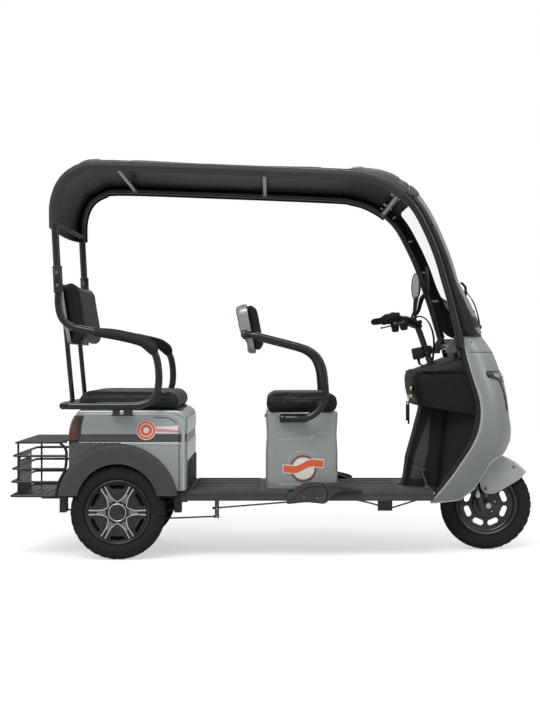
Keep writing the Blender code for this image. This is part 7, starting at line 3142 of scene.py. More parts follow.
        bezel.rings(260, 4, frame_point)
        bezel.surface(
            120, 6,
            lambda across, along: on_nose(
                along_half((across * 2 - 1) * 0.985), 0.7850 + 0.0440 * along, 0.0012
            )
        )
        show(bezel, "headlamp_bezel", GLOSS_BLACK, "chassis", Slot.CLEAR, thickness=0.0016)
        lens = Workpiece()
        lens.surface(
            120, 8,
            lambda across, along: on_nose(
                along_half((across * 2 - 1) * 0.955), 0.7885 + 0.0370 * along,
                0.0030 + 0.0022 * math.sin(math.pi * along)
            )
        )
        show(lens, "headlamp_lens", SMOKED_LENS, "chassis", Slot.CLEAR, ("headlamp",), thickness=0.0016)
        bright = Workpiece()
        for side in (-1, 1):
            for first, last, foot, tall in (
                (0.020, 0.080, 0.801, 0.012), (0.108, 0.150, 0.800, 0.016), (0.196, 0.234, 0.796, 0.020)
            ):
                bright.surface(
                    14, 3,
                    lambda across, along: on_nose(
                        side * (first + (last - first) * across), foot + tall * along, 0.0064
                    )
                )
        show(bright, "headlamp_reflectors", LENS_CLEAR, "chassis", Slot.CLEAR, thickness=0.0012)
        strips, glow = Workpiece(), Workpiece()
        for side in (-1, 1):
            line = flowing([self.at(side * y / self.section(z)[0], z, 0.0015) for y, z in (
                (0.205, 0.790), (0.200, 0.775), (0.190, 0.745), (0.181, 0.700), (0.172, 0.653))], 6)
            strips.sweep(line, 0.0062, 12, 0.6, soft_ends=True)
            glow.sweep([p + Vector((0.0030, side * 0.0022, 0)) for p in line[2:-2]], 0.0020, 8)
        show(strips, "nose_light_strips", GLOSS_BLACK, "chassis", Slot.CLEAR)
        show(glow, "nose_light_guides", LENS_CLEAR, "chassis", Slot.CLEAR)


@dataclass(frozen=True)
class LegShield:
    """The black console, spine and leg shield behind the nose, its trim, lock and keys."""

    nose: Nose
    spine: tuple[tuple[float, float], ...] = (
        (0.3018, 0.585), (0.345, 0.594), (0.400, 0.601), (0.435, 0.606), (0.524, 0.631), (0.600, 0.651),
        (0.652, 0.664)
    )
    console: tuple[tuple[float, float], ...] = (
        (0.684, 0.6345), (0.698, 0.631), (0.722, 0.622), (0.760, 0.615), (0.800, 0.613), (0.822, 0.620),
    )

    def build(self) -> None:
        """Makes every piece."""
        self.lower()
        self.upper()
        self.trim()
        self.lock_and_keys()

    def flange(self, z: float) -> Vector:
        """The inner edge of the cowl at a height, on the left."""
        half, edge, _ = self.nose.section(z)
        return Vector((edge + 0.008, half - 0.0058, z))

    def lower_row(self, z: float, x: float) -> list[Vector]:
        """Half of the spine and the footwell's wall at a height.

        Args:
            z: the height.
            x: the x of the spine there.

        Returns:
            The points of the row.
        """
        half, edge, _ = self.nose.section(z)
        recess = 0.745 + 0.14 * max(0.0, z - 0.36)
        rim = self.flange(z)
        points = [
            (x, 0.0), (x + 0.002, 0.034), (x + 0.006, 0.064), (x + 0.024, 0.082), (x + 0.066, 0.098),
            (min(recess, edge - 0.010) - 0.012, 0.124), (min(recess, edge - 0.010), 0.182),
            (edge - 0.004, half - 0.018)
        ]
        return [Vector((a, b, z)) for a, b in points] + [rim]

    def upper_rows(self) -> list[list[Vector]]:
        """Halves of the console from its underside, up its face and over its top.

        Returns:
            The rows, each as its points.
        """
        rows = []
        for z, x in self.console:
            fade = 1 - smooth((z - 0.684) / 0.076)
            rim = self.flange(z - 0.19 * 0.265 * fade)
            points = [
                (x, 0.0), (x, 0.050), (x + 0.001, 0.090), (x + 0.004, 0.150), (x + 0.012, 0.196),
                (x + 0.034, 0.226), (x + 0.090, 0.244), (x + 0.160, 0.254)
            ]
            rows.append([Vector((a, b, z - 0.19 * max(0.0, a - 0.641) * fade)) for a, b in points] + [rim])
        # the underside turns in towards the spine
        rows.insert(0, [p + Vector((0.030 * (1 - n / 8), 0.0, 0.004)) for n, p in enumerate(rows[0])])
        for x, z in ((0.634, 0.831), (0.715, 0.863), (0.792, 0.893)):
            rim, corner = self.flange(z), Vector((x + 0.034, 0.244, z))
            points = [
                (x, 0.0, z), (x, 0.050, z), (x + 0.001, 0.090, z), (x + 0.004, 0.150, z),
                (x + 0.012, 0.196, z), (x + 0.022, 0.226, z)
            ]
            rows.append([Vector(p) for p in points] + [corner, corner.lerp(rim, 0.5), rim])
        return rows

    def sheet_of(self, rows: list[list[Vector]], columns: int, lines: int) -> Workpiece:
        """A soft sheet through both halves of the rows.

        Args:
            rows: halves of the rows that the sheet passes.
            columns: how many columns of faces there are.
            lines: how many rows of faces there are.

        Returns:
            The mesh in the making.
        """
        full = [[Vector((p.x, -p.y, p.z)) for p in row[:0:-1]] + row for row in rows]

        def place(across: float, along: float) -> Vector:
            """The point of the sheet through the rows.

            Args:
                across: the share across, from 0 to 1.
                along: the share along, from 0 to 1.

            Returns:
                The point.
            """
            place_across = across * (len(full[0]) - 1)
            points = [curve_at(row, place_across) for row in full]
            return curve_at(points, along * (len(points) - 1))

        work = Workpiece()
        work.surface(columns, lines, place)
        return work

    def lower(self) -> None:
        """The spine and the footwells' walls, closed under the console."""
        rows = [self.lower_row(z, x) for z, x in self.spine]
        rows.append(self.lower_row(0.694, 0.668))
        work = self.sheet_of(rows, 110, 60)
        show(work, "leg_shield_lower", SHIELD_BLACK, "chassis", Slot.PLASTIC, thickness=0.0034, sharp=28)
        # lighter panels on the spine's sides: painted light where the facets face the lamps
        lit_facets = Workpiece()
        for side in (-1, 1):
            outline = [
                (0.000, 0.655), (0.040, 0.470), (0.036, 0.335), (-0.040, 0.335), (-0.028, 0.430),
                (-0.010, 0.580)
            ]
            points = []
            for shift, z in outline:
                near = curve_at(self.lower_row(z, self.spine_x(z)), 3.6 + shift * 16)
                points.append(Vector((near.x, near.y * side, near.z)) + Vector((-0.0012, side * 0.0034, 0)))
            lit_facets.mesh.faces.new([lit_facets.mesh.verts.new(p) for p in points])
        bmesh.ops.triangulate(lit_facets.mesh, faces=lit_facets.mesh.faces[:])
        bmesh.ops.subdivide_edges(lit_facets.mesh, edges=lit_facets.mesh.edges[:], cuts=3, use_grid_fill=True)
        show(
            lit_facets, "spine_side_panels_painted_light", DECK_PLASTIC, "chassis", Slot.PLASTIC, thickness=0.0024,
            bevel=0.0008
        )

    def spine_x(self, z: float) -> float:
        """The x of the spine's middle at a height.

        Args:
            z: the height.

        Returns:
            The x there.
        """
        rows = self.spine
        index = next((i for i in range(len(rows) - 1) if z <= rows[i + 1][0]), len(rows) - 2)
        share = (z - rows[index][0]) / (rows[index + 1][0] - rows[index][0])
        return rows[index][1] + (rows[index + 1][1] - rows[index][1]) * share

    def upper(self) -> None:
        """The console with its double lip, and the dark line under it."""
        rows = self.upper_rows()
        work = self.sheet_of(rows, 120, 70)
        work.bore(Vector((0.7475, 0.0, 0.786)), Vector((-0.325568, 0.0, 0.945519)), 0.030)
        show(
            work, "leg_shield_console", SHIELD_BLACK, "chassis", Slot.PLASTIC, ("leg_shield",),
            thickness=0.0034, sharp=50
        )
        lips = Workpiece()
        for row, lift, radius in ((6.3, 0.003, 0.0044), (7.0, 0.0035, 0.0036)):
            line = []
            for t in range(91):
                across = t / 90 * 16
                points = [curve_at([Vector((p.x, -p.y, p.z)) for p in r[:0:-1]] + r, across) for r in rows]
                line.append(curve_at(points, row) + Vector((-0.0012, 0, lift)))
            lips.sweep(line[8:-8], radius, 10, soft_ends=True)
        show(lips, "console_lips", PLASTIC, "chassis", Slot.PLASTIC)
        # a near-black line under the console's lip, painted shadow
        underline = Workpiece()
        line = []
        for t in range(91):
            full = [Vector((p.x, -p.y, p.z)) for p in rows[1][:0:-1]] + rows[1]
            point = curve_at(full, t / 90 * 16)
            line.append(point + Vector((0.001, 0, -0.0035)))
        underline.sweep(line[4:-4], 0.0042, 8, soft_ends=True)
        show(underline, "console_shadow_gap", VOID_BLACK, "chassis", Slot.PLASTIC)
        collar = Workpiece()
        axis = Vector((-0.325568, 0.0, 0.945519))
        collar.turned(
            [(0.0300, -0.004), (0.0345, -0.004), (0.0345, 0.002), (0.0325, 0.0045), (0.0300, 0.002)],
            Vector((0.7225, 0.0, 0.8595)), 48, axis
        )
        show(collar, "console_collar", GRIP_RUBBER, "chassis", Slot.PLASTIC)

    def trim(self) -> None:
        """The broad black trim inside the cowl's rear edge."""
        trims = Workpiece()
        for side in (-1, 1):

            def place(across: float, along: float) -> Vector:
                """The point of the trim along the edge of the cowl.

                Args:
                    across: the share across, from 0 to 1.
                    along: the share along, from 0 to 1.

                Returns:
                    The point.
                """
                z = 0.245 + 0.735 * along
                half, edge, _ = self.nose.section(z)
                width = 0.026 * min(1.0, 0.35 + along * 6)
                out = 0.0022 * math.sin(math.pi * min(1.0, across * 1.15)) - 0.004 * across
                return Vector((edge + 0.0015 - width * across, side * (half - 0.0010 + out), z))

            trims.surface(8, 90, place)
        show(trims, "leg_shield_trim", TRIM_BLACK, "chassis", Slot.PLASTIC, thickness=0.0030)
        gaps, plates = Workpiece(), Workpiece()
        for side in (-1, 1):
            line = [self.flange(0.640 + 0.300 * t / 40) for t in range(41)]
            gaps.sweep([Vector((p.x - 0.030, side * (p.y + 0.0022), p.z)) for p in line], 0.0026, 8)
            face = Matrix((AHEAD, UP, ACROSS * side)).transposed().to_4x4()
            plates.plate(
                [(0.748, 0.914), (0.802, 0.914), (0.812, 0.992), (0.796, 0.990), (0.768, 0.948)], 0.0035,
                Matrix.Translation((0, side * 0.2660, 0)) @ face, 0.0010
            )
        show(gaps, "leg_shield_gaps", VOID_BLACK, "chassis", Slot.PLASTIC)
        show(plates, "dash_brackets", BAR_GREY, "chassis", Slot.STEEL)

    def lock_and_keys(self) -> None:
        """The brass lock in the console's rear face, its key, ring and fob."""
        y = -0.150
        brass, black = Workpiece(), Workpiece()
        brass.rod((0.6185, y, 0.752), (0.6105, y, 0.752), 0.0125, 32, 0.0015)
        brass.rod((0.6110, y, 0.752), (0.6070, y, 0.752), 0.0085, 28, 0.001)
        brass.rod((0.6175, y, 0.716), (0.6095, y, 0.716), 0.0100, 28, 0.0015)
        brass.block((0.5960, y - 0.0015, 0.7080), (0.6105, y + 0.0015, 0.7240), 0.0008, 1)
        ring = [
            (0.0095 + 0.0011 * math.cos(t * math.pi / 4), 0.0011 * math.sin(t * math.pi / 4))
            for t in range(8)
        ]
        brass.turned(ring, Vector((0.5985, y, 0.7010)), 32, Vector((1.0, 0.25, 0.0)))
        show(brass, "ignition_lock", BRASS, "chassis", Slot.STEEL)
        for shift, low in ((-0.0045, 0.6060), (0.0050, 0.5900)):
            black.block(
                (0.5920 + shift, y - 0.0045 + shift, low), (0.6010 + shift, y - 0.0005 + shift, 0.6800),
                0.0018, 2
            )
            black.block(
                (0.5935 + shift, y - 0.0035 + shift, 0.6780), (0.5995 + shift, y - 0.0015 + shift, 0.6950),
                0.0006, 1
            )
        black.turned(
            [(0.0185, -0.002), (0.0240, -0.002), (0.0240, 0.003), (0.0185, 0.0035)],
            Vector((0.6165, y, 0.752)), 32, -AHEAD
        )
        show(black, "ignition_keys", PLASTIC_DARK, "chassis", Slot.PLASTIC)


# ---------------------------------------------------------------- steering


def steer_point(along: float, across: float = 0.0, ahead: float = 0.0) -> Vector:
    """A point by its height along the steering axis, to the left of it and ahead of it."""
    return STEER_FOOT + STEER_UP * along + Vector((0.0, across, 0.0)) + STEER_FORE * ahead


@dataclass(frozen=True)
class Cable:
    """A control cable that hangs between the bar and the top of the console."""

    name: str
    points: tuple[tuple[float, float, float], ...]
    thick: float = 0.0065
    count: int = 34

    def build(self) -> None:
        fine = flowing(self.points, 24)
        steps = [0.0]
        for first, second in zip(fine, fine[1:]):
            steps.append(steps[-1] + (second - first).length)
        line, index = [], 0
        for number in range(self.count):
            want = steps[-1] * number / (self.count - 1)
            while index < len(steps) - 2 and steps[index + 1] < want:
                index += 1
            share = (want - steps[index]) / (steps[index + 1] - steps[index])
            line.append(fine[index].lerp(fine[index + 1], share))
        length = sum((b - a).length for a, b in zip(line, line[1:]))
        data = bpy.data.curves.new(self.name, "CURVE")
        data.dimensions = "3D"
        data.bevel_depth = self.thick / 2
        data.bevel_resolution = 3
        data.use_fill_caps = True
        spline = data.splines.new("POLY")
        spline.points.add(len(line) - 1)
        for point, place in zip(spline.points, line):
            point.co = (*place, 1.0)
        data.materials.append(material_of(CABLE_BLACK))
        piece = bpy.data.objects.new(self.name, data)
        bpy.context.scene.collection.objects.link(piece)
        attach(piece, "steering", Slot.PLASTIC)
        sleeve = Workpiece()
        out = (line[1] - line[0]).normalized()
        ends = [line[0] + out * step for step in (-0.004, 0.0, 0.006, 0.012, 0.018, 0.024)]
        wide = self.thick / 2
        sleeve.sweep(ends, [wide * 1.9, wide * 1.9, wide * 1.7, wide * 1.5, wide * 1.3, wide * 1.12], 14)
        relief = show(sleeve, f"{self.name}_sleeve", GRIP_RUBBER, "steering", Slot.PLASTIC)


CABLES = (
    Cable(
        "throttle_cable",
        (
            (0.622, -0.112, 1.066), (0.640, -0.085, 1.076), (0.662, -0.055, 1.084), (0.690, -0.034, 1.076),
            (0.712, -0.024, 1.050), (0.727, -0.018, 1.010), (0.733, -0.015, 0.965), (0.731, -0.013, 0.920),
            (0.726, -0.012, 0.872)
        )
    ),
    Cable(
        "brake_cable",
        (
            (0.622, 0.112, 1.066), (0.640, 0.085, 1.077), (0.664, 0.052, 1.087), (0.694, 0.026, 1.080),
            (0.718, 0.014, 1.052), (0.734, 0.010, 1.010), (0.740, 0.009, 0.965), (0.738, 0.010, 0.920),
            (0.733, 0.011, 0.872)
        )
    ),
    Cable(
        "switch_cable",
        (
            (0.664, -0.012, 0.884), (0.666, -0.011, 0.874), (0.673, -0.008, 0.862), (0.686, -0.004, 0.854),
            (0.702, 0.000, 0.852)
        ),
        0.0075, 18
    )
)


@dataclass(frozen=True)
class Steering:
    """The fork, its fender, the handlebar with its fittings and the two mirrors."""

    hub: tuple[float, float, float] = FRONT_HUB
    fender_radius: float = 0.238
    fender_half: float = 0.0612
    fender_foot: tuple[tuple[float, float], ...] = (
        (1.157, 0.366), (1.148, 0.357), (1.132, 0.336), (1.081, 0.303), (1.034, 0.276), (1.008, 0.264),
        (0.992, 0.2625), (0.974, 0.2625), (0.962, 0.268), (0.950, 0.282), (0.944, 0.300), (0.938, 0.336),
        (0.926, 0.366), (0.910, 0.384), (0.880, 0.397), (0.850, 0.392), (0.820, 0.378), (0.786, 0.343)
    )
    bar: tuple[tuple[float, float, float], ...] = (
        (0.655, 0.000, 1.046), (0.650, 0.040, 1.048), (0.612, 0.100, 1.064), (0.560, 0.162, 1.074),
        (0.524, 0.224, 1.074), (0.484, 0.316, 1.070)
    )
    mirror_at: tuple[float, float, float] = (0.678, 0.200, 1.236)

    def build(self) -> None:
        """Makes every piece."""
        self.fork()
        self.fender()
        self.handlebar()
        for name, side in SIDES:
            self.grip(name, side)
            self.mirror(name, side)

    def on_axle(self, y: float) -> tuple[float, float, float]:
        """The point of the front axle at a place across the vehicle."""
        return self.hub[0], y, self.hub[2]

    def fork(self) -> None:
        """Two legs with axle lugs, a crown, the steerer with its race, and the axle nuts."""
        work = Workpiece()
        for side in (-1, 1):
            y = side * 0.075
            profile = [-0.020, -0.017, 0.0, 0.105, 0.112, 0.118, 0.262, 0.281]
            radii = [0.0110, 0.0132, 0.0134, 0.0134, 0.0134, 0.0118, 0.0118, 0.0132]
            work.sweep([steer_point(t, y) for t in profile], radii, 28, up=ACROSS)
            work.rod(self.on_axle(side * 0.0642), self.on_axle(side * 0.0858), 0.0158, 32, 0.002)
            turn = facing(steer_point(0.0, y, 0.0146), STEER_UP, STEER_FORE)
            work.block((-0.009, -0.018, -0.013), (0.009, 0.018, 0.013), 0.003, 2, turn)
        crown = facing(steer_point(0.273), STEER_UP, STEER_FORE)
        work.block((-0.0938, -0.0208, -0.0108), (0.0938, 0.0208, 0.0108), 0.006, 3, crown)
        work.rod(steer_point(0.268), steer_point(0.7395), 0.0144, 32, 0.001)
        work.rod(steer_point(0.281), steer_point(0.3590), 0.0246, 40, 0.003)
        for along in (0.30, 0.32, 0.34):
            work.turned(
                [
                    (0.0246, along - 0.003), (0.0252, along - 0.002), (0.0252, along + 0.002),
                    (0.0246, along + 0.003)
                ],
                STEER_FOOT, 40, STEER_UP
            )
        show(work, "fork_legs", SATIN_BLACK, "steering", Slot.FRAME, ("fork",))
        nuts = Workpiece()
        for side in (-1, 1):
            nuts.rod(self.on_axle(side * 0.0855), self.on_axle(side * 0.0880), 0.0125, 32, 0.0006)
            nuts.rod(self.on_axle(side * 0.0880), self.on_axle(side * 0.0950), 0.0098, 6, 0.0010)
            nuts.rod(self.on_axle(side * 0.0945), self.on_axle(side * 0.0998), 0.0062, 24, 0.0012)
        show(nuts, "front_axle_nuts", CHROME, "steering", Slot.FRAME)
        # a pale teardrop on each fork leg, in the form of a small reflector, painted where a glint shows
        reflectors = Workpiece()
        for side in (-1, 1):
            at = steer_point(0.068, side * 0.0884)
            drop = [
                (0.0, 0.020), (0.004, 0.012), (0.0085, 0.003), (0.0105, -0.006), (0.0085, -0.0135),
                (0.0, -0.0170), (-0.0085, -0.0135), (-0.0105, -0.006), (-0.0085, 0.003), (-0.004, 0.012)
            ]
            line = [p.to_tuple() for p in flowing([(x, z, 0.0) for x, z in drop + drop[:1]], 4)[:-1]]
            face = Matrix((AHEAD, UP, ACROSS * side)).transposed().to_4x4()
            reflectors.plate([(x, z) for x, z, _ in line], 0.0030, Matrix.Translation(at) @ face, 0.0010, 2)
        show(reflectors, "front_fork_painted_glints", FORK_PAINTED_GLINT, "steering", Slot.CLEAR)

    def fender(self) -> None:
        """The silver fender: a round-shouldered top and two deep sides that reach down past the axle."""
        centre = Vector(self.hub)
        work = Workpiece()
        half, radius, corner = self.fender_half, self.fender_radius, 0.012
        first, last = 40.2, 146.0

        def place(across: float, along: float) -> Vector:
            """The point of the fender: flat on top, round at its corners.

            Args:
                across: the share across, from 0 to 1.
                along: the share along, from 0 to 1.

            Returns:
                The point.
            """
            turn = math.radians(first + (last - first) * along)
            way = (across * 2 - 1)
            side = 1 if way >= 0 else -1
            flat = half - corner
            bend = corner * math.pi / 2
            walked = abs(way) * (flat + bend + 0.004)
            if walked < flat:
                y, out = walked, 0.0
            elif walked < flat + bend:
                angle = (walked - flat) / corner
                y, out = flat + corner * math.sin(angle), corner * (math.cos(angle) - 1)
            else:
                y, out = half, -corner - (walked - flat - bend)
            out += 0.0016 * (1 - (y / half) ** 2)
            reach = radius - 0.0018 + out
            return (
                centre
                + Vector((
                    reach * math.cos(turn), side * (y - 0.0016 * (y / half) ** 8), reach * math.sin(turn)
                ))
            )

        # the fender is painted lighter than the other silver parts, as painted light
        work.surface(44, 96, place)
        show(
            work, "front_fender_top", SILVER_PAINTED_LIGHT, "steering", Slot.GLOSS, ("front_fender",),
            thickness=0.0032, sharp=60
        )
        sides = Workpiece()
        rim = radius - corner + 0.0012
        for side in (-1, 1):
            arc = [(centre.x + rim * math.cos(math.radians(t)), centre.z + rim * math.sin(math.radians(t)))
                   for t in [last - (last - first) * k / 60 for k in range(61)]]
            foot = [(p.x, p.z) for p in flowing([(x, 0.0, z) for x, z in self.fender_foot[1:-1]], 4)]
            face = Matrix((AHEAD, UP, ACROSS * side)).transposed().to_4x4()
            place_at = Matrix.Translation((0, side * (half - 0.0034), 0)) @ face
            outline = arc + foot
            sides.plate(outline if side > 0 else outline, 0.0032, place_at, 0.0009, 2)
        # the fender's sides are painted lighter too, as painted light
        show(sides, "front_fender_sides", SILVER_PAINTED_LIGHT, "steering", Slot.GLOSS, sharp=35)
        bolts = Workpiece()
        for side in (-1, 1):
            for x, z, size in ((0.967, 0.287, 0.0062), (0.858, 0.402, 0.0042), (1.098, 0.386, 0.0042)):
                bolts.rod((x, side * half, z), (x, side * (half + 0.0012), z), size * 1.45, 24, 0.0005)
                bolts.hexagon((x, side * (half + 0.0010), z), ACROSS * side, size * 1.8, 0.0030)
        show(bolts, "front_fender_bolts", DARK_ZINC, "steering", Slot.STEEL)

    def bar_frame(self, side: int) -> tuple[Vector, Vector]:
        """The inner end of a grip and the direction of the bar there."""
        inner = Vector((0.524, side * 0.224, 1.074))
        return inner, (Vector((0.478, side * 0.330, 1.069)) - inner).normalized()

    def handlebar(self) -> None:
        """The swept bar, the stem with its clamp and bolts, the cable clamp and the junction box."""
        bar = Workpiece()
        route = mirrored(self.bar[::-1], -1) + mirrored(self.bar[1:], 1)
        bar.sweep(flowing(route, 8), 0.0110, 20)
        stem = [
            steer_point(0.7405), steer_point(0.780), steer_point(0.815), Vector((0.672, 0, 1.005)),
            Vector((0.656, 0, 1.046))
        ]
        bar.sweep(flowing(stem, 6), 0.0143, 28, up=ACROSS)
        bar.rod(steer_point(0.7405), steer_point(0.7600), 0.0185, 32, 0.002)
        show(bar, "handlebar_tube", SATIN_BLACK, "steering", Slot.PLASTIC, ("handlebar",))
        clamp = Workpiece()
        clamp.block((0.634, -0.038, 1.032), (0.678, 0.038, 1.048), 0.005, 3)
        clamp.block((0.634, -0.036, 1.0485), (0.678, 0.036, 1.065), 0.006, 3)
        for side in (-1, 1):
            # the tapered arms that run out from the clamp along the bar
            line = flowing(
                [
                    (0.652, side * 0.030, 1.047), (0.640, side * 0.066, 1.053),
                    (0.612, side * 0.100, 1.063), (0.586, side * 0.132, 1.070)
                ],
                5
            )
            clamp.sweep(
                line, [0.0175 - 0.0035 * k / (len(line) - 1) for k in range(len(line))], 20, soft_ends=True
            )
        clamp.block((0.7005, -0.0155, 0.9085), (0.7265, 0.0155, 0.9495), 0.008, 3)
        show(clamp, "handlebar_clamp", PLASTIC_DARK, "steering", Slot.PLASTIC)
        bolts = Workpiece()
        for x in (0.641, 0.671):
            for y in (-0.028, 0.028):
                bolts.rod((x, y, 1.0645), (x, y, 1.0675), 0.0055, 20, 0.0008)
                bolts.rod((x, y, 1.0670), (x, y, 1.0690), 0.0030, 6)
        show(bolts, "handlebar_bolts", DARK_ZINC, "steering", Slot.PLASTIC)
        box = Workpiece()
        tilt = Matrix.Translation((0.661, 0, 0.912)) @ Matrix.Rotation(math.radians(-11), 4, "Y")
        box.block((-0.0235, -0.033, -0.026), (0.0235, 0.033, 0.026), 0.006, 3, tilt)
        box.block((-0.0215, -0.031, 0.0235), (0.0235, 0.031, 0.0275), 0.0015, 2, tilt)
        for z in (-0.012, 0.0, 0.012):
            box.block((-0.0245, -0.026, z - 0.002), (-0.0225, 0.026, z + 0.002), 0.0006, 1, tilt)
        show(box, "junction_box", PLASTIC, "steering", Slot.PLASTIC)
        strap = Workpiece()
        strap.block((0.0225, -0.012, -0.006), (0.0330, 0.012, 0.010), 0.002, 2, tilt)
        show(strap, "junction_box_bracket", SATIN_BLACK, "steering", Slot.PLASTIC)

    def grip(self, name: str, side: int) -> None:
        """A ribbed grip with its flange, the switch housing with its buttons, and the brake lever.

        Args:
            name: the name that its pieces carry.
            side: -1 on the right and 1 on the left.
        """
        inner, along = self.bar_frame(side)
        rubber = Workpiece()
        length = 0.1080
        line, radii = [], []
        for step in range(121):
            t = step / 120
            line.append(inner + along * (0.006 + length * t - 0.006 * t))
            ridge = 0.0011 * max(0.0, math.sin(step * math.tau / 6.0)) if 0.08 < t < 0.93 else 0.0005
            swell = 0.0010 * math.sin(math.pi * t)
            radii.append((0.0144 + ridge + swell) * (1.0 if t < 0.985 else 1 - (t - 0.985) * 14))
        rubber.sweep(line, radii, 28)
        rubber.turned(
            [
                (0.0150, -0.004), (0.0210, -0.004), (0.0226, -0.0015), (0.0228, 0.0020), (0.0215, 0.0048),
                (0.0165, 0.0058), (0.0150, 0.0058)
            ],
            inner, 40, along
        )
        show(rubber, f"grip_{name}", GRIP_RUBBER, "steering", Slot.PLASTIC)
        housing = Workpiece()
        middle = inner - along * 0.027
        place = facing(middle, along, UP)
        housing.sweep([middle + along * t for t in (-0.0245, -0.022, -0.012, 0.0, 0.012, 0.020, 0.0225)],
                      [0.0150, 0.0195, 0.0207, 0.0208, 0.0207, 0.0198, 0.0165], 32)
        # the deep tapered housing of the lever under the bar
        top, low = Vector((0.5725, side * 0.188, 1.062)), Vector((0.5768, side * 0.188, 1.0165))
        housing.sweep([top.lerp(low, t) for t in (0.0, 0.10, 0.35, 0.70, 0.90, 0.97, 1.0)],
                      [0.0200, 0.0208, 0.0206, 0.0180, 0.0160, 0.0140, 0.0105], 32, 1.0, up=ACROSS)
        for t, reach in ((-0.014, 0.0075), (0.0, 0.0065), (0.013, 0.0065)):
            spot = middle + along * t
            housing.block((-reach, -0.0045, 0.0), (reach, 0.0045, 0.0245), 0.0015, 2,
                          facing(spot, Vector((-0.80, 0.0, 0.60)), along))
        housing.block(
            (-0.0215, -0.0008, -0.021), (0.0215, 0.0008, 0.021), 0.0005, 1,
            place @ Matrix.Rotation(math.pi / 2, 4, "X")
        )
        show(housing, f"switch_housing_{name}", PLASTIC_DARK, "steering", Slot.PLASTIC)
        buttons = Workpiece()
        for t, finish_reach in ((-0.014, 0.004), (0.0, 0.0035), (0.013, 0.0035)):
            spot = middle + along * t + Vector((-0.80, 0.0, 0.60)) * 0.0240
            buttons.block((-finish_reach, -0.0032, 0.0), (finish_reach, 0.0032, 0.0022), 0.0009, 2,
                          facing(spot, Vector((-0.80, 0.0, 0.60)), along))
        show(buttons, f"switch_buttons_{name}", SWITCH_GREY, "steering", Slot.PLASTIC)
        lever = Workpiece()
        path = flowing(
            [
                (0.5600, side * 0.182, 1.0620), (0.5740, side * 0.205, 1.0560),
                (0.5645, side * 0.235, 1.0500), (0.5500, side * 0.262, 1.0460),
                (0.5345, side * 0.293, 1.0425), (0.5215, side * 0.3190, 1.0402)
            ],
            5
        )
        count = len(path)
        lever.sweep(
            path, [0.0052 if k > 4 else 0.0062 for k in range(count - 1)] + [0.0054], 14, 0.62,
            soft_ends=True
        )
        lever.turned(
            [
                (0.0, -0.0052), (0.0040, -0.0048), (0.0056, -0.0022), (0.0056, 0.0022), (0.0040, 0.0048),
                (0.0, 0.0052)
            ],
            path[-1], 18, UP, closed=False
        )
        show(lever, f"brake_lever_{name}", LEVER_GREY, "steering", Slot.PLASTIC)

    def mirror(self, name: str, side: int) -> None:
        """A round mirror in its dished housing on a sleeved stem.

        Args:
            name: the name that its pieces carry.
            side: -1 on the right and 1 on the left.
        """
        centre = Vector((self.mirror_at[0], side * self.mirror_at[1], self.mirror_at[2]))
        face = Vector((-math.cos(math.radians(10)), -side * math.sin(math.radians(10)), 0.0))
        housing = Workpiece()
        housing.turned(
            [
                (0.0, -0.0098), (0.020, -0.0097), (0.040, -0.0090), (0.054, -0.0066), (0.0620, -0.0025),
                (0.0655, 0.0015), (0.0660, 0.0040), (0.0652, 0.0058), (0.0630, 0.0060), (0.0618, 0.0050),
                (0.0612, 0.0036), (0.0, 0.0036)
            ],
            centre, 72, face, closed=False
        )
        foot = Vector((0.640, side * 0.070, 1.0700))
        path = flowing(
            [
                foot - UP * 0.0165, foot + UP * 0.012, (0.655, side * 0.080, 1.110),
                (0.666, side * 0.120, 1.165), centre - face * 0.004 - UP * 0.052,
                centre - face * 0.004 - UP * 0.032
            ],
            6
        )
        thin = [0.0052] * len(path)
        housing.sweep(path, thin, 18)
        housing.rod(
            centre - face * 0.0030 - UP * 0.058, centre - face * 0.0030 - UP * 0.040, 0.0078, 24, 0.002
        )
        show(
            housing, f"mirror_housing_{name}", PLASTIC_DARK, "steering", Slot.MIRROR, (f"mirror_{name}",),
            sharp=30
        )
        sleeve = Workpiece()
        sleeve.rod(foot - UP * 0.018, foot - UP * 0.0005, 0.0088, 28, 0.001)
        sleeve.rod(foot, foot + UP * 0.009, 0.0078, 6, 0.0008)
        part = path[9:22]
        sleeve.sweep(part, [0.0074 + 0.0034 * smooth(k / 9) for k in range(len(part))], 22, soft_ends=True)
        show(sleeve, f"mirror_sleeve_{name}", GRIP_RUBBER, "steering", Slot.MIRROR)
        glass = Workpiece()
        glass.turned(
            [
                (0.0, 0.0052), (0.030, 0.0050), (0.0560, 0.0044), (0.0610, 0.0040), (0.0608, 0.0036),
                (0.0, 0.0036)
            ],
            centre, 72, face, closed=False
        )
        show(glass, f"mirror_glass_{name}", MIRROR, "steering", Slot.MIRROR, sharp=30)


# ---------------------------------------------------------------- floor deck and side steps


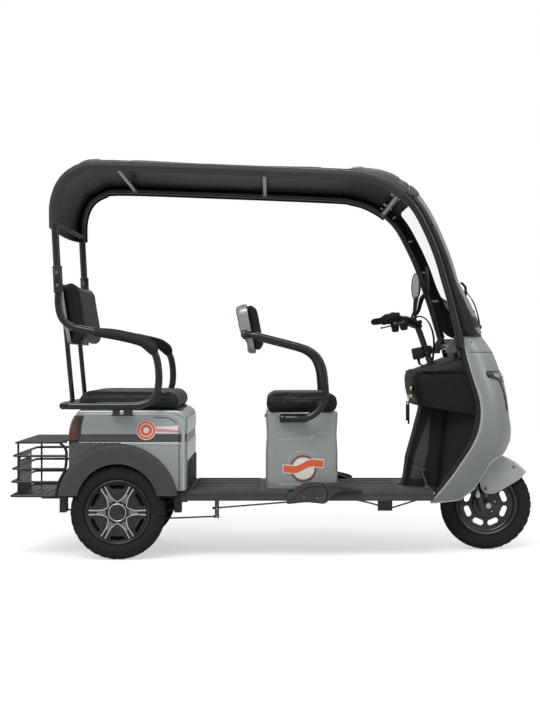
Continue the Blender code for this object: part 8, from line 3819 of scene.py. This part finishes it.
@dataclass(frozen=True)
class FloorDeck:
    """The black floor plate with its ribs, skirts and screws, and the step on each side of it."""

    rear: float = -0.430
    front: float = 0.697
    half: float = 0.300
    top: float = 0.3013
    low: float = 0.2573
    step_side: tuple[tuple[float, float], ...] = (
        (0.046, 0.2448), (0.043, 0.262), (0.052, 0.283), (0.070, 0.303), (0.094, 0.322), (0.115, 0.335),
        (0.137, 0.3405), (0.163, 0.3412), (0.190, 0.3405), (0.212, 0.3365), (0.238, 0.3390),
        (0.266, 0.3400), (0.296, 0.3345), (0.3236, 0.3275), (0.350, 0.321), (0.3715, 0.3125),
        (0.3735, 0.3020), (0.350, 0.2990), (0.3207, 0.3005), (0.290, 0.2995), (0.2647, 0.2935),
        (0.242, 0.2770), (0.2260, 0.2580), (0.208, 0.2470), (0.170, 0.2500), (0.129, 0.2530),
        (0.085, 0.2490)
    )

    def build(self) -> None:
        """Makes every piece."""
        self.plate()
        self.ribs()
        for name, side in SIDES:
            self.step(name, side)

    def plate(self) -> None:
        """The plate with its rounded edges and turned-down skirts, and the notch round the spine."""
        work = Workpiece()
        section = [
            (-0.2982, 0.2575), (-0.2982, 0.2650), (-0.2982, 0.2660), (-0.2978, 0.2790), (-0.2982, 0.2800),
            (-0.2982, 0.2930), (-0.2976, 0.2958), (-0.2960, 0.2980), (-0.2935, 0.2991), (-0.2880, 0.2993)
        ]
        flat = [(-0.288 + 0.576 * k / 48, 0.2993) for k in range(1, 48)]
        full = section + flat + [(-y, z) for y, z in section[::-1]]
        last = len(full) - 1

        def place(across: float, along: float) -> Vector:
            """The point of the floor on its section."""
            y, z = full[round(across * last)]
            return Vector((self.rear + 0.0008 + (self.front - self.rear - 0.0016) * along, y, z))

        def kept(across: float, along: float) -> bool:
            """Leaves the slot for the spine open."""
            y = full[min(last, int(across * last))][0]
            return self.rear + (self.front - self.rear) * along < 0.566 or abs(y + 0.006) > 0.037

        work.surface(last, 60, place, kept)
        show(
            work, "floor_plate", DECK_PLASTIC, "chassis", Slot.PLASTIC, ("floor_deck",), thickness=0.0034,
            sharp=50
        )
        edges = Workpiece()
        for side in (-1, 1):
            y0, y1 = sorted((side * 0.2985, side * 0.3000))
            edges.block((self.rear + 0.001, y0, 0.2690), (self.front - 0.001, y1, 0.2765), 0.0006, 1)
        edges.block((self.rear + 0.0004, -0.294, 0.2590), (self.rear + 0.0030, 0.294, 0.2975), 0.001, 1)
        show(edges, "floor_edge_beads", FENDER_PLASTIC, "chassis", Slot.PLASTIC)

    def ribs(self) -> None:
        """Long round-ended ribs on both foot spaces, and the screws between them."""
        work, channels = Workpiece(), Workpiece()
        for number in range(-9, 10):
            y = number * 0.030
            # every fourth row is a near-black strip: painted shade in a slot of the deck
            if number % 4 == 0:
                for first, last in ((-0.375, -0.080), (0.300, 0.545 if abs(y) < 0.24 else 0.640)):
                    outline = rounded_outline((first, y - 0.0205), (last, y + 0.0205), 0.018)
                    channels.plate(outline, 0.0006, Matrix.Translation((0, 0, self.top - 0.0016)), 0.0002)
                continue
            for first, last in ((-0.375, -0.080), (0.300, 0.545)):
                if first > 0 and abs(y) > 0.24:
                    last = 0.640
                path = [(first + 0.002, y, self.top + 0.0006), (last - 0.002, y, self.top + 0.0006)]
                steps = 10
                line = [Vector(path[0]).lerp(Vector(path[1]), k / steps) for k in range(steps + 1)]
                work.sweep(line, [0.0088] * (steps + 1), 14, 0.40, soft_ends=True)
        show(work, "floor_ribs", FENDER_PLASTIC, "chassis", Slot.PLASTIC)
        show(channels, "floor_slots_painted_shade", VOID_BLACK, "chassis", Slot.PLASTIC)
        screws = Workpiece()
        for x in (-0.4000, -0.0720, 0.2900):
            for y in (-0.2700, -0.0900, 0.0900, 0.2700):
                screws.rod((x, y, self.top - 0.001), (x, y, self.top + 0.0010), 0.0080, 24, 0.0005)
                screws.button((x, y, self.top + 0.0008), UP, 0.0055, 0.0024)
        show(screws, "floor_screws", DARK_ZINC, "chassis", Slot.STEEL)

    def step(self, name: str, side: int) -> None:
        """A lobed side moulding with a rolled upper edge, its ribbed tread and two screws.

        Args:
            name: the name that its pieces carry.
            side: -1 on the right and 1 on the left.
        """
        work = Workpiece()
        face = Matrix((AHEAD, UP, ACROSS * side)).transposed().to_4x4()
        outline = [(p.x, p.z) for p in flowing([(x, 0.0, z) for x, z in self.step_side], 4)]
        work.plate(outline, 0.0232, Matrix.Translation((0, side * 0.3005, 0)) @ face, 0.0060, 4)
        ridge = (
            (0.0500, 0.3030), (0.068, 0.3120), (0.085, 0.3180), (0.110, 0.3255), (0.130, 0.3290),
            (0.170, 0.3297), (0.215, 0.3290), (0.260, 0.3297), (0.300, 0.3290), (0.325, 0.3215),
            (0.345, 0.3120), (0.360, 0.3030)
        )

        def tread(across: float, along: float) -> Vector:
            """The point of the grooved tread.

            Args:
                across: the share across, from 0 to 1.
                along: the share along, from 0 to 1.

            Returns:
                The point.
            """
            point = curve_at([Vector((x, 0.0, z)) for x, z in ridge], along * (len(ridge) - 1))
            y = 0.2462 + (0.3040 - 0.2462) * across
            drop = 0.006 * max(0.0, 0.16 - across) / 0.16
            groove = 0.0012 * max(0.0, math.sin(along * math.tau * 11)) * min(1.0, across * 6)
            return Vector((point.x, side * y, max(0.3022, point.z - 0.0018 - drop - groove)))

        work.surface(14, 120, tread)
        for line in (((0.066, 0.266), (0.090, 0.295), (0.128, 0.320), (0.172, 0.329), (0.196, 0.326)),
                     ((0.232, 0.326), (0.262, 0.3255), (0.300, 0.3185), (0.352, 0.3095))):
            work.sweep(flowing([(x, side * 0.3215, z) for x, z in line], 6), 0.0062, 14, 0.8, soft_ends=True)
        # a near-black line where the step's two lobes meet: painted shade in the crease
        seam = Workpiece()
        fold = ((0.203, 0.3365), (0.212, 0.322), (0.222, 0.304), (0.224, 0.285), (0.216, 0.262))
        seam.sweep(flowing([(x, side * 0.3236, z) for x, z in fold], 6), 0.0020, 8, soft_ends=True)
        show(seam, f"side_step_{name}_fold", VOID_BLACK, "chassis", Slot.STEP)
        show(
            work, f"side_step_{name}_moulding", STEP_RUBBER, "chassis", Slot.STEP, (f"side_step_{name}",),
            sharp=32
        )
        screws = Workpiece()
        for x, z in ((0.120, 0.275), (0.180, 0.270)):
            screws.button((x, side * 0.3236, z), ACROSS * side, 0.0050, 0.0010)
        show(screws, f"side_step_{name}_screws", DARK_ZINC, "chassis", Slot.STEEL)


# ---------------------------------------------------------------- chassis


@dataclass(frozen=True)
class Chassis:
    """The welded frame, the rear axle on its leaf springs, and the brake pedal with its rods."""

    axle_x: float = REAR_AXLE_X
    axle_z: float = 0.21
    front_eye: float = -0.444
    rear_eye: float = -0.960
    eye_z: float = 0.212
    linkage_y: float = -0.120
    pedal_y: float = -0.168

    def build(self) -> None:
        """Makes every piece."""
        dress("frame", SATIN_BLACK)
        self.axle()
        self.springs()
        self.pedal()
        self.linkage()

    def axle(self) -> None:
        """The axle tube, the finned motor, the gear case with its cover bolts, and the brake drums."""
        x, z = self.axle_x, self.axle_z
        work = Workpiece()
        work.rod((x, -0.2475, z), (x, 0.2475, z), 0.0238, 36, 0.002)
        work.rod((x, -0.3115, z), (x, 0.3115, z), 0.0122, 28, 0.001)
        body = []
        for k in range(11):
            y = -0.042 + k * 0.0084
            body += [(0.0700, y - 0.0022), (0.0775, y - 0.0014), (0.0775, y + 0.0014), (0.0700, y + 0.0022)]
        work.turned(
            [(0.020, -0.0448), (0.0620, -0.0448), (0.0695, -0.0440)] + body
            + [(0.0695, 0.0440), (0.0620, 0.0448), (0.020, 0.0448)],
            Vector((x, 0, z)), 72
        )
        case = [
            (0.020, 0.0305), (0.0640, 0.0305), (0.0690, 0.0345), (0.0690, 0.0600), (0.0660, 0.0625),
            (0.0660, 0.0900), (0.0695, 0.0920), (0.0695, 0.1010), (0.0655, 0.1030), (0.0600, 0.1300),
            (0.0480, 0.1500), (0.0340, 0.1590), (0.020, 0.1598)
        ]
        work.turned(case, Vector((x + 0.005, 0, z)), 64)
        for side in (-1, 1):
            edge = 0.248
            drum = [
                (0.020, edge - 0.0078), (0.0660, edge - 0.0078), (0.0692, edge - 0.0062),
                (0.0698, edge - 0.0018), (0.0685, edge - 0.0004), (0.0600, edge - 0.0010),
                (0.0200, edge - 0.0010)
            ]
            work.turned([(r, side * y) for r, y in drum], Vector((x, 0, z)), 64)
            # the seats that carry the springs
            work.block(
                (x - 0.030, side * 0.200 - 0.0175, z - 0.0340),
                (x + 0.030, side * 0.200 + 0.0175, z - 0.0180), 0.002, 2
            )
        work.block(
            (x + 0.0045, self.linkage_y - 0.0038, 0.1505), (x + 0.0155, self.linkage_y + 0.0038, 0.200),
            0.002, 2
        )
        show(work, "rear_axle_castings", CAST, "chassis", Slot.CAST, ("rear_axle",), sharp=32)
        bolts = Workpiece()
        for step in range(8):
            turn = math.tau * (step + 0.5) / 8
            spot = Vector((x + 0.005 + 0.058 * math.cos(turn), 0.1018, z + 0.058 * math.sin(turn)))
            bolts.hexagon(spot, ACROSS, 0.009, 0.0045, 0.006)
        for step in range(6):
            turn = math.tau * step / 6
            bolts.hexagon(
                Vector((x + 0.056 * math.cos(turn), -0.0446, z + 0.056 * math.sin(turn))), -ACROSS, 0.008,
                0.0035
            )
        show(bolts, "rear_axle_bolts", ZINC, "chassis", Slot.STEEL)

    def springs(self) -> None:
        """On each side a pack of four leaves with rolled eyes, and two U-bolts with their plates."""
        leaves, metal = Workpiece(), Workpiece()
        middle = self.axle_z - 0.028
        for _, side in SIDES:
            y0, y1 = sorted((side * 0.1825, side * 0.2175))
            route = flowing(
                [
                    (self.front_eye - 0.004, 0, self.eye_z - 0.005),
                    (self.front_eye - 0.120, 0, middle + 0.010), (self.axle_x, 0, middle),
                    (self.rear_eye + 0.120, 0, middle + 0.010),
                    (self.rear_eye + 0.004, 0, self.eye_z - 0.005)
                ],
                12
            )
            for number, (first, last) in enumerate(((0, 48), (6, 42), (12, 36), (17, 31))):
                drop = 0.0050 - number * 0.0034
                thick = 0.0030

                def place(across: float, along: float) -> Vector:
                    """The point of a leaf along the route.

                    Args:
                        across: the share across, from 0 to 1.
                        along: the share along, from 0 to 1.

                    Returns:
                        The point.
                    """
                    point = curve_at(route, first + (last - first) * along)
                    end = min(along, 1 - along) * (last - first)
                    pinch = 0.0 if number == 0 else max(0.0, 1.0 - end) * 0.006
                    y = y0 + pinch + (y1 - y0 - 2 * pinch) * across
                    return Vector((point.x, y, point.z + drop - thick / 2))

                leaf = Workpiece()
                leaf.surface(2, 60, place)
                bmesh.ops.recalc_face_normals(leaf.mesh, faces=leaf.mesh.faces)
                bmesh.ops.solidify(leaf.mesh, geom=leaf.mesh.faces[:], thickness=thick)
                data = bpy.data.meshes.new("leaf")
                leaf.mesh.to_mesh(data)
                leaf.mesh.free()
                leaves.mesh.from_mesh(data)
                bpy.data.meshes.remove(data)
            for x in (self.front_eye, self.rear_eye):
                leaves.turned(
                    [
                        (0.0062, y0 - 0.0008), (0.0118, y0 - 0.0008), (0.0118, y1 + 0.0008),
                        (0.0062, y1 + 0.0008)
                    ],
                    Vector((x, 0, self.eye_z)), 28
                )
                metal.rod((x, y0 - 0.0009, self.eye_z), (x, y1 + 0.0009, self.eye_z), 0.0058, 20, 0.0006)
            for shift in (-0.022, 0.022):
                x = self.axle_x + shift
                for y in (y0 - 0.0035, y1 + 0.0035):
                    metal.rod((x, y, 0.170), (x, y, 0.234), 0.0030, 14)
                metal.block((x - 0.0055, y0 - 0.0080, 0.1715), (x + 0.0055, y1 + 0.0080, 0.1745), 0.0008, 1)
                metal.rod((x, y0 - 0.0035, 0.2345), (x, y1 + 0.0035, 0.2345), 0.0030, 14)
        show(leaves, "leaf_springs", SPRING_BLACK, "chassis", Slot.CAST, sharp=30)
        show(metal, "spring_bolts", ZINC, "chassis", Slot.CAST)

    def pedal(self) -> None:
        """The brake pedal: a foot bracket, a bent arm, a rubber-faced plate and its pin."""
        y = self.pedal_y
        arm = Workpiece()
        arm.block((0.6645, y - 0.0155, 0.3018), (0.6935, y + 0.0155, 0.3060), 0.0015, 2)
        for shift in (-0.0115, 0.0115):
            arm.block((0.6720, y + shift - 0.0020, 0.3050), (0.6900, y + shift + 0.0020, 0.3132), 0.0010, 1)
        arm.rod((0.6810, y - 0.0150, 0.3092), (0.6810, y + 0.0150, 0.3092), 0.0030, 16)
        arm.sweep(
            flowing(
                [
                    (0.681, y, 0.3090), (0.6775, y, 0.3250), (0.672, y, 0.340), (0.662, y, 0.366),
                    (0.6515, y, 0.391)
                ],
                5
            ),
            0.0070, 16
        )
        lean = math.radians(-14)
        place = facing(Vector((0.650, y, 0.394)), Vector((math.sin(-lean), 0.0, math.cos(lean))), AHEAD)
        arm.plate(rounded_outline((-0.0255, -0.0275), (0.0255, 0.0275), 0.008), 0.0024,
                  place @ Matrix.Translation((0, 0, -0.0028)), 0.0008)
        show(arm, "brake_pedal_arm", DARK_ZINC, "chassis", Slot.STEEL, ("brake_pedal",), sharp=32)
        pad = Workpiece()
        pad.plate(
            rounded_outline((-0.0245, -0.0265), (0.0245, 0.0265), 0.008), 0.0022,
            place @ Matrix.Translation((0, 0, -0.0004)), 0.0008
        )
        for number in range(-3, 4):
            pad.block(
                (-0.0215, number * 0.0072 - 0.0018, 0.0014), (0.0215, number * 0.0072 + 0.0018, 0.0036),
                0.0007, 1, place
            )
        show(pad, "brake_pedal_rubber", GRIP_RUBBER, "chassis", Slot.STEEL)

    def linkage(self) -> None:
        """The brake rods with their clevises, the lever between them and its pivot."""
        y = self.linkage_y
        work = Workpiece()
        front = flowing(
            [
                (0.640, y, 0.240), (0.580, y, 0.2215), (0.511, y, 0.206), (0.420, y, 0.2290),
                (0.314, y, 0.2450), (0.100, y, 0.2345), (-0.273, y, 0.205)
            ],
            6
        )
        work.sweep(front, 0.0038, 14)
        work.sweep(flowing([(-0.273, y, 0.166), (-0.500, y, 0.158), (-0.6855, y, 0.160)], 8), 0.0038, 14)
        for place, ahead in (
            ((-0.262, y, 0.2055), (-0.294, y, 0.2030)), ((-0.290, y, 0.1650), (-0.262, y, 0.1665)),
            ((-0.664, y, 0.1597), (-0.6858, y, 0.1600)), ((0.522, y, 0.2095), (0.496, y, 0.2080))
        ):
            work.rod(place, ahead, 0.0062, 18, 0.0012)
        work.block((-0.2830, y - 0.0038, 0.1585), (-0.2630, y + 0.0038, 0.2655), 0.0015, 2)
        work.rod((0.505, y - 0.0095, 0.206), (0.505, y + 0.0098, 0.206), 0.0098, 28, 0.0012)
        show(work, "brake_rods", DARK_ZINC, "chassis", Slot.STEEL, ("brake_linkage",))
        nuts = Workpiece()
        for x, z in ((-0.273, 0.205), (-0.273, 0.166)):
            nuts.hexagon(Vector((x, y - 0.0036, z)), -ACROSS, 0.011, 0.0050, 0.0070)
        nuts.hexagon(Vector((0.505, y + 0.0096, 0.206)), ACROSS, 0.011, 0.0040)
        show(nuts, "brake_rod_nuts", ZINC, "chassis", Slot.STEEL)


# ---------------------------------------------------------------- rear rack


@dataclass(frozen=True)
class Rack:
    """The rear rack: its ribbed lid, its rods and posts, the tray with its screws, and the rear plate."""

    half: float = 0.280
    rods: tuple[tuple[float, float, float], ...] = (
        (0.276, -0.984, -1.1825), (0.339, -0.968, -1.178), (0.397, -0.941, -1.174), (0.4548, -0.937, -1.170),
    )

    def build(self) -> None:
        """Makes every piece."""
        self.cage()
        self.lid()
        self.tray()

    def cage(self) -> None:
        """The bent rods, the posts and the small welded studs where they meet."""
        work = Workpiece()
        for z, front_x, rear_x in self.rods:
            side = [
                (front_x, self.half, z), (front_x - 0.05, self.half, z), (rear_x + 0.045, self.half, z),
                (rear_x + 0.018, self.half - 0.004, z), (rear_x + 0.004, self.half - 0.020, z),
                (rear_x, self.half - 0.048, z)
            ]
            route = mirrored(side, -1) + mirrored(side[::-1], 1)
            work.sweep(flowing(route, 4), 0.0056, 14, soft_ends=True)
        for side in (-1, 1):
            y = side * self.half
            front = [
                (-0.984, y, 0.274), (-0.968, y, 0.339), (-0.945, y, 0.385), (-0.937, y, 0.420),
                (-0.937, y, 0.480), (-0.962, y, 0.5125)
            ]
            work.sweep(flowing(front, 5), 0.0066, 16)
            work.rod((-1.150, y - side * 0.002, 0.274), (-1.150, y - side * 0.002, 0.5125), 0.0048, 16)
            for z, front_x, rear_x in self.rods:
                work.rod((front_x - 0.006, y, z), (front_x + 0.005, y, z), 0.0056, 14, 0.001)
                work.rod((-1.1555, y - side * 0.001, z), (-1.1445, y - side * 0.001, z), 0.0056, 14, 0.001)
        show(work, "rack_cage", RACK_BLACK, "chassis", Slot.RACK, ("basket",))

    def lid(self) -> None:
        """The flat lid with rolled edges and shallow ribs, and its hinge tabs."""
        work = Workpiece()
        plan = RoundedPlan((-1.1675, -0.2795), (-0.9555, 0.2795), 0.012)

        def rim(share: float, inwards: float) -> Vector:
            """The point of the rolled rim.

            Args:
                share: the share of the way round.
                inwards: the share of the way inwards, from 0 to 1.

            Returns:
                The point.
            """
            angle = inwards * math.pi
            point = plan.at(share, -0.004 + 0.004 * math.sin(angle))
            return Vector((point.x, point.y, 0.5128 - 0.0038 * math.cos(angle)))

        work.rings(160, 10, rim)

        def top(across: float, along: float) -> Vector:
            """The point of the ribbed top.

            Args:
                across: the share across, from 0 to 1.
                along: the share along, from 0 to 1.

            Returns:
                The point.
            """
            x, y = -1.1635 + 0.2040 * across, -0.2755 + 0.5510 * along
            ribs = (
                0.0009 * max(0.0, math.sin((across - 0.06) / 0.88 * math.pi * 5)) ** 0.6
                if 0.06 < across < 0.94 else 0.0
            )
            ends = min(1.0, max(0.0, min(along - 0.05, 0.95 - along) / 0.02))
            return Vector((x, y, 0.5160 + ribs * ends))

        work.surface(90, 60, top)
        work.surface(
            2, 2,
            lambda across, along: Vector((-1.1635 + 0.2040 * across, -0.2755 + 0.5510 * along, 0.5094))
        )
        show(work, "rack_lid", RACK_LID, "chassis", Slot.RACK, sharp=50)
        tabs = Workpiece()
        for y in (-0.200, 0.200):
            tabs.block((-0.9580, y - 0.018, 0.5085), (-0.9480, y + 0.018, 0.5120), 0.001, 1)
            tabs.rod((-0.9500, y - 0.018, 0.5105), (-0.9500, y + 0.018, 0.5105), 0.0035, 16)
        show(tabs, "rack_lid_hinges", SATIN_BLACK, "chassis", Slot.RACK)

    def tray(self) -> None:
        """The tray with its turned edge, the slotted rear plate and the screws to the frame."""
        work = Workpiece()
        work.block((-1.1775, -0.2735, 0.2704), (-0.9905, 0.2735, 0.2725), 0.0006, 1)
        for x0, x1 in ((-1.1775, -1.1755), (-0.9925, -0.9905)):
            work.block((x0, -0.2735, 0.2706), (x1, 0.2735, 0.2748), 0.0005, 1)
        for number in range(5):
            x = -1.150 + number * 0.034
            work.block((x - 0.005, -0.250, 0.2720), (x + 0.005, 0.250, 0.2742), 0.0012, 2)
        face = Matrix((ACROSS, UP, -AHEAD)).transposed().to_4x4()
        holes = [rounded_outline((-0.115, z), (0.115, z + 0.010), 0.005) for z in (0.425,)]
        work.plate(rounded_outline((-0.1395, 0.2730), (0.1395, 0.4590), 0.010), 0.0026,
                   Matrix.Translation((-1.1716, 0, 0)) @ face, 0.0008, 2, holes)
        show(work, "rack_tray_and_plate", RACK_BLACK, "chassis", Slot.RACK, sharp=32)
        screws = Workpiece()
        for side in (-1, 1):
            for x in (-1.040, -1.005):
                screws.hexagon(Vector((x, side * 0.200, 0.2724)), UP, 0.011, 0.0040, 0.008)
            for z in (0.300, 0.400):
                screws.hexagon(Vector((-1.1742, side * 0.118, z)), -AHEAD, 0.010, 0.0035, 0.0075)
        show(screws, "rack_screws", ZINC, "chassis", Slot.STEEL)


# ---------------------------------------------------------------- the whole vehicle


def main() -> None:
    """Builds the studio and every sub-assembly in order."""
    logging.basicConfig(level=logging.INFO, format="%(name)s: %(message)s")
    Studio().build()
    for cable in CABLES:
        cable.build()
    for name, side in SIDES:
        hub = Vector((REAR_AXLE_X, REAR_HUB_Y * side, HUB_Z))
        RearWheel(hub, f"rear_wheel_{name}", side, name=name).build()
    FrontWheel(Vector(FRONT_HUB), "front_wheel").build()
    RearBody().build()
    Bench().build()
    Canopy().build()
    DriverSeat().build()
    nose = Nose()
    nose.build()
    LegShield(nose).build()
    Steering().build()
    FloorDeck().build()
    Chassis().build()
    Rack().build()
    LOG.info("the vehicle is complete")


if __name__ == "__main__":
    main()
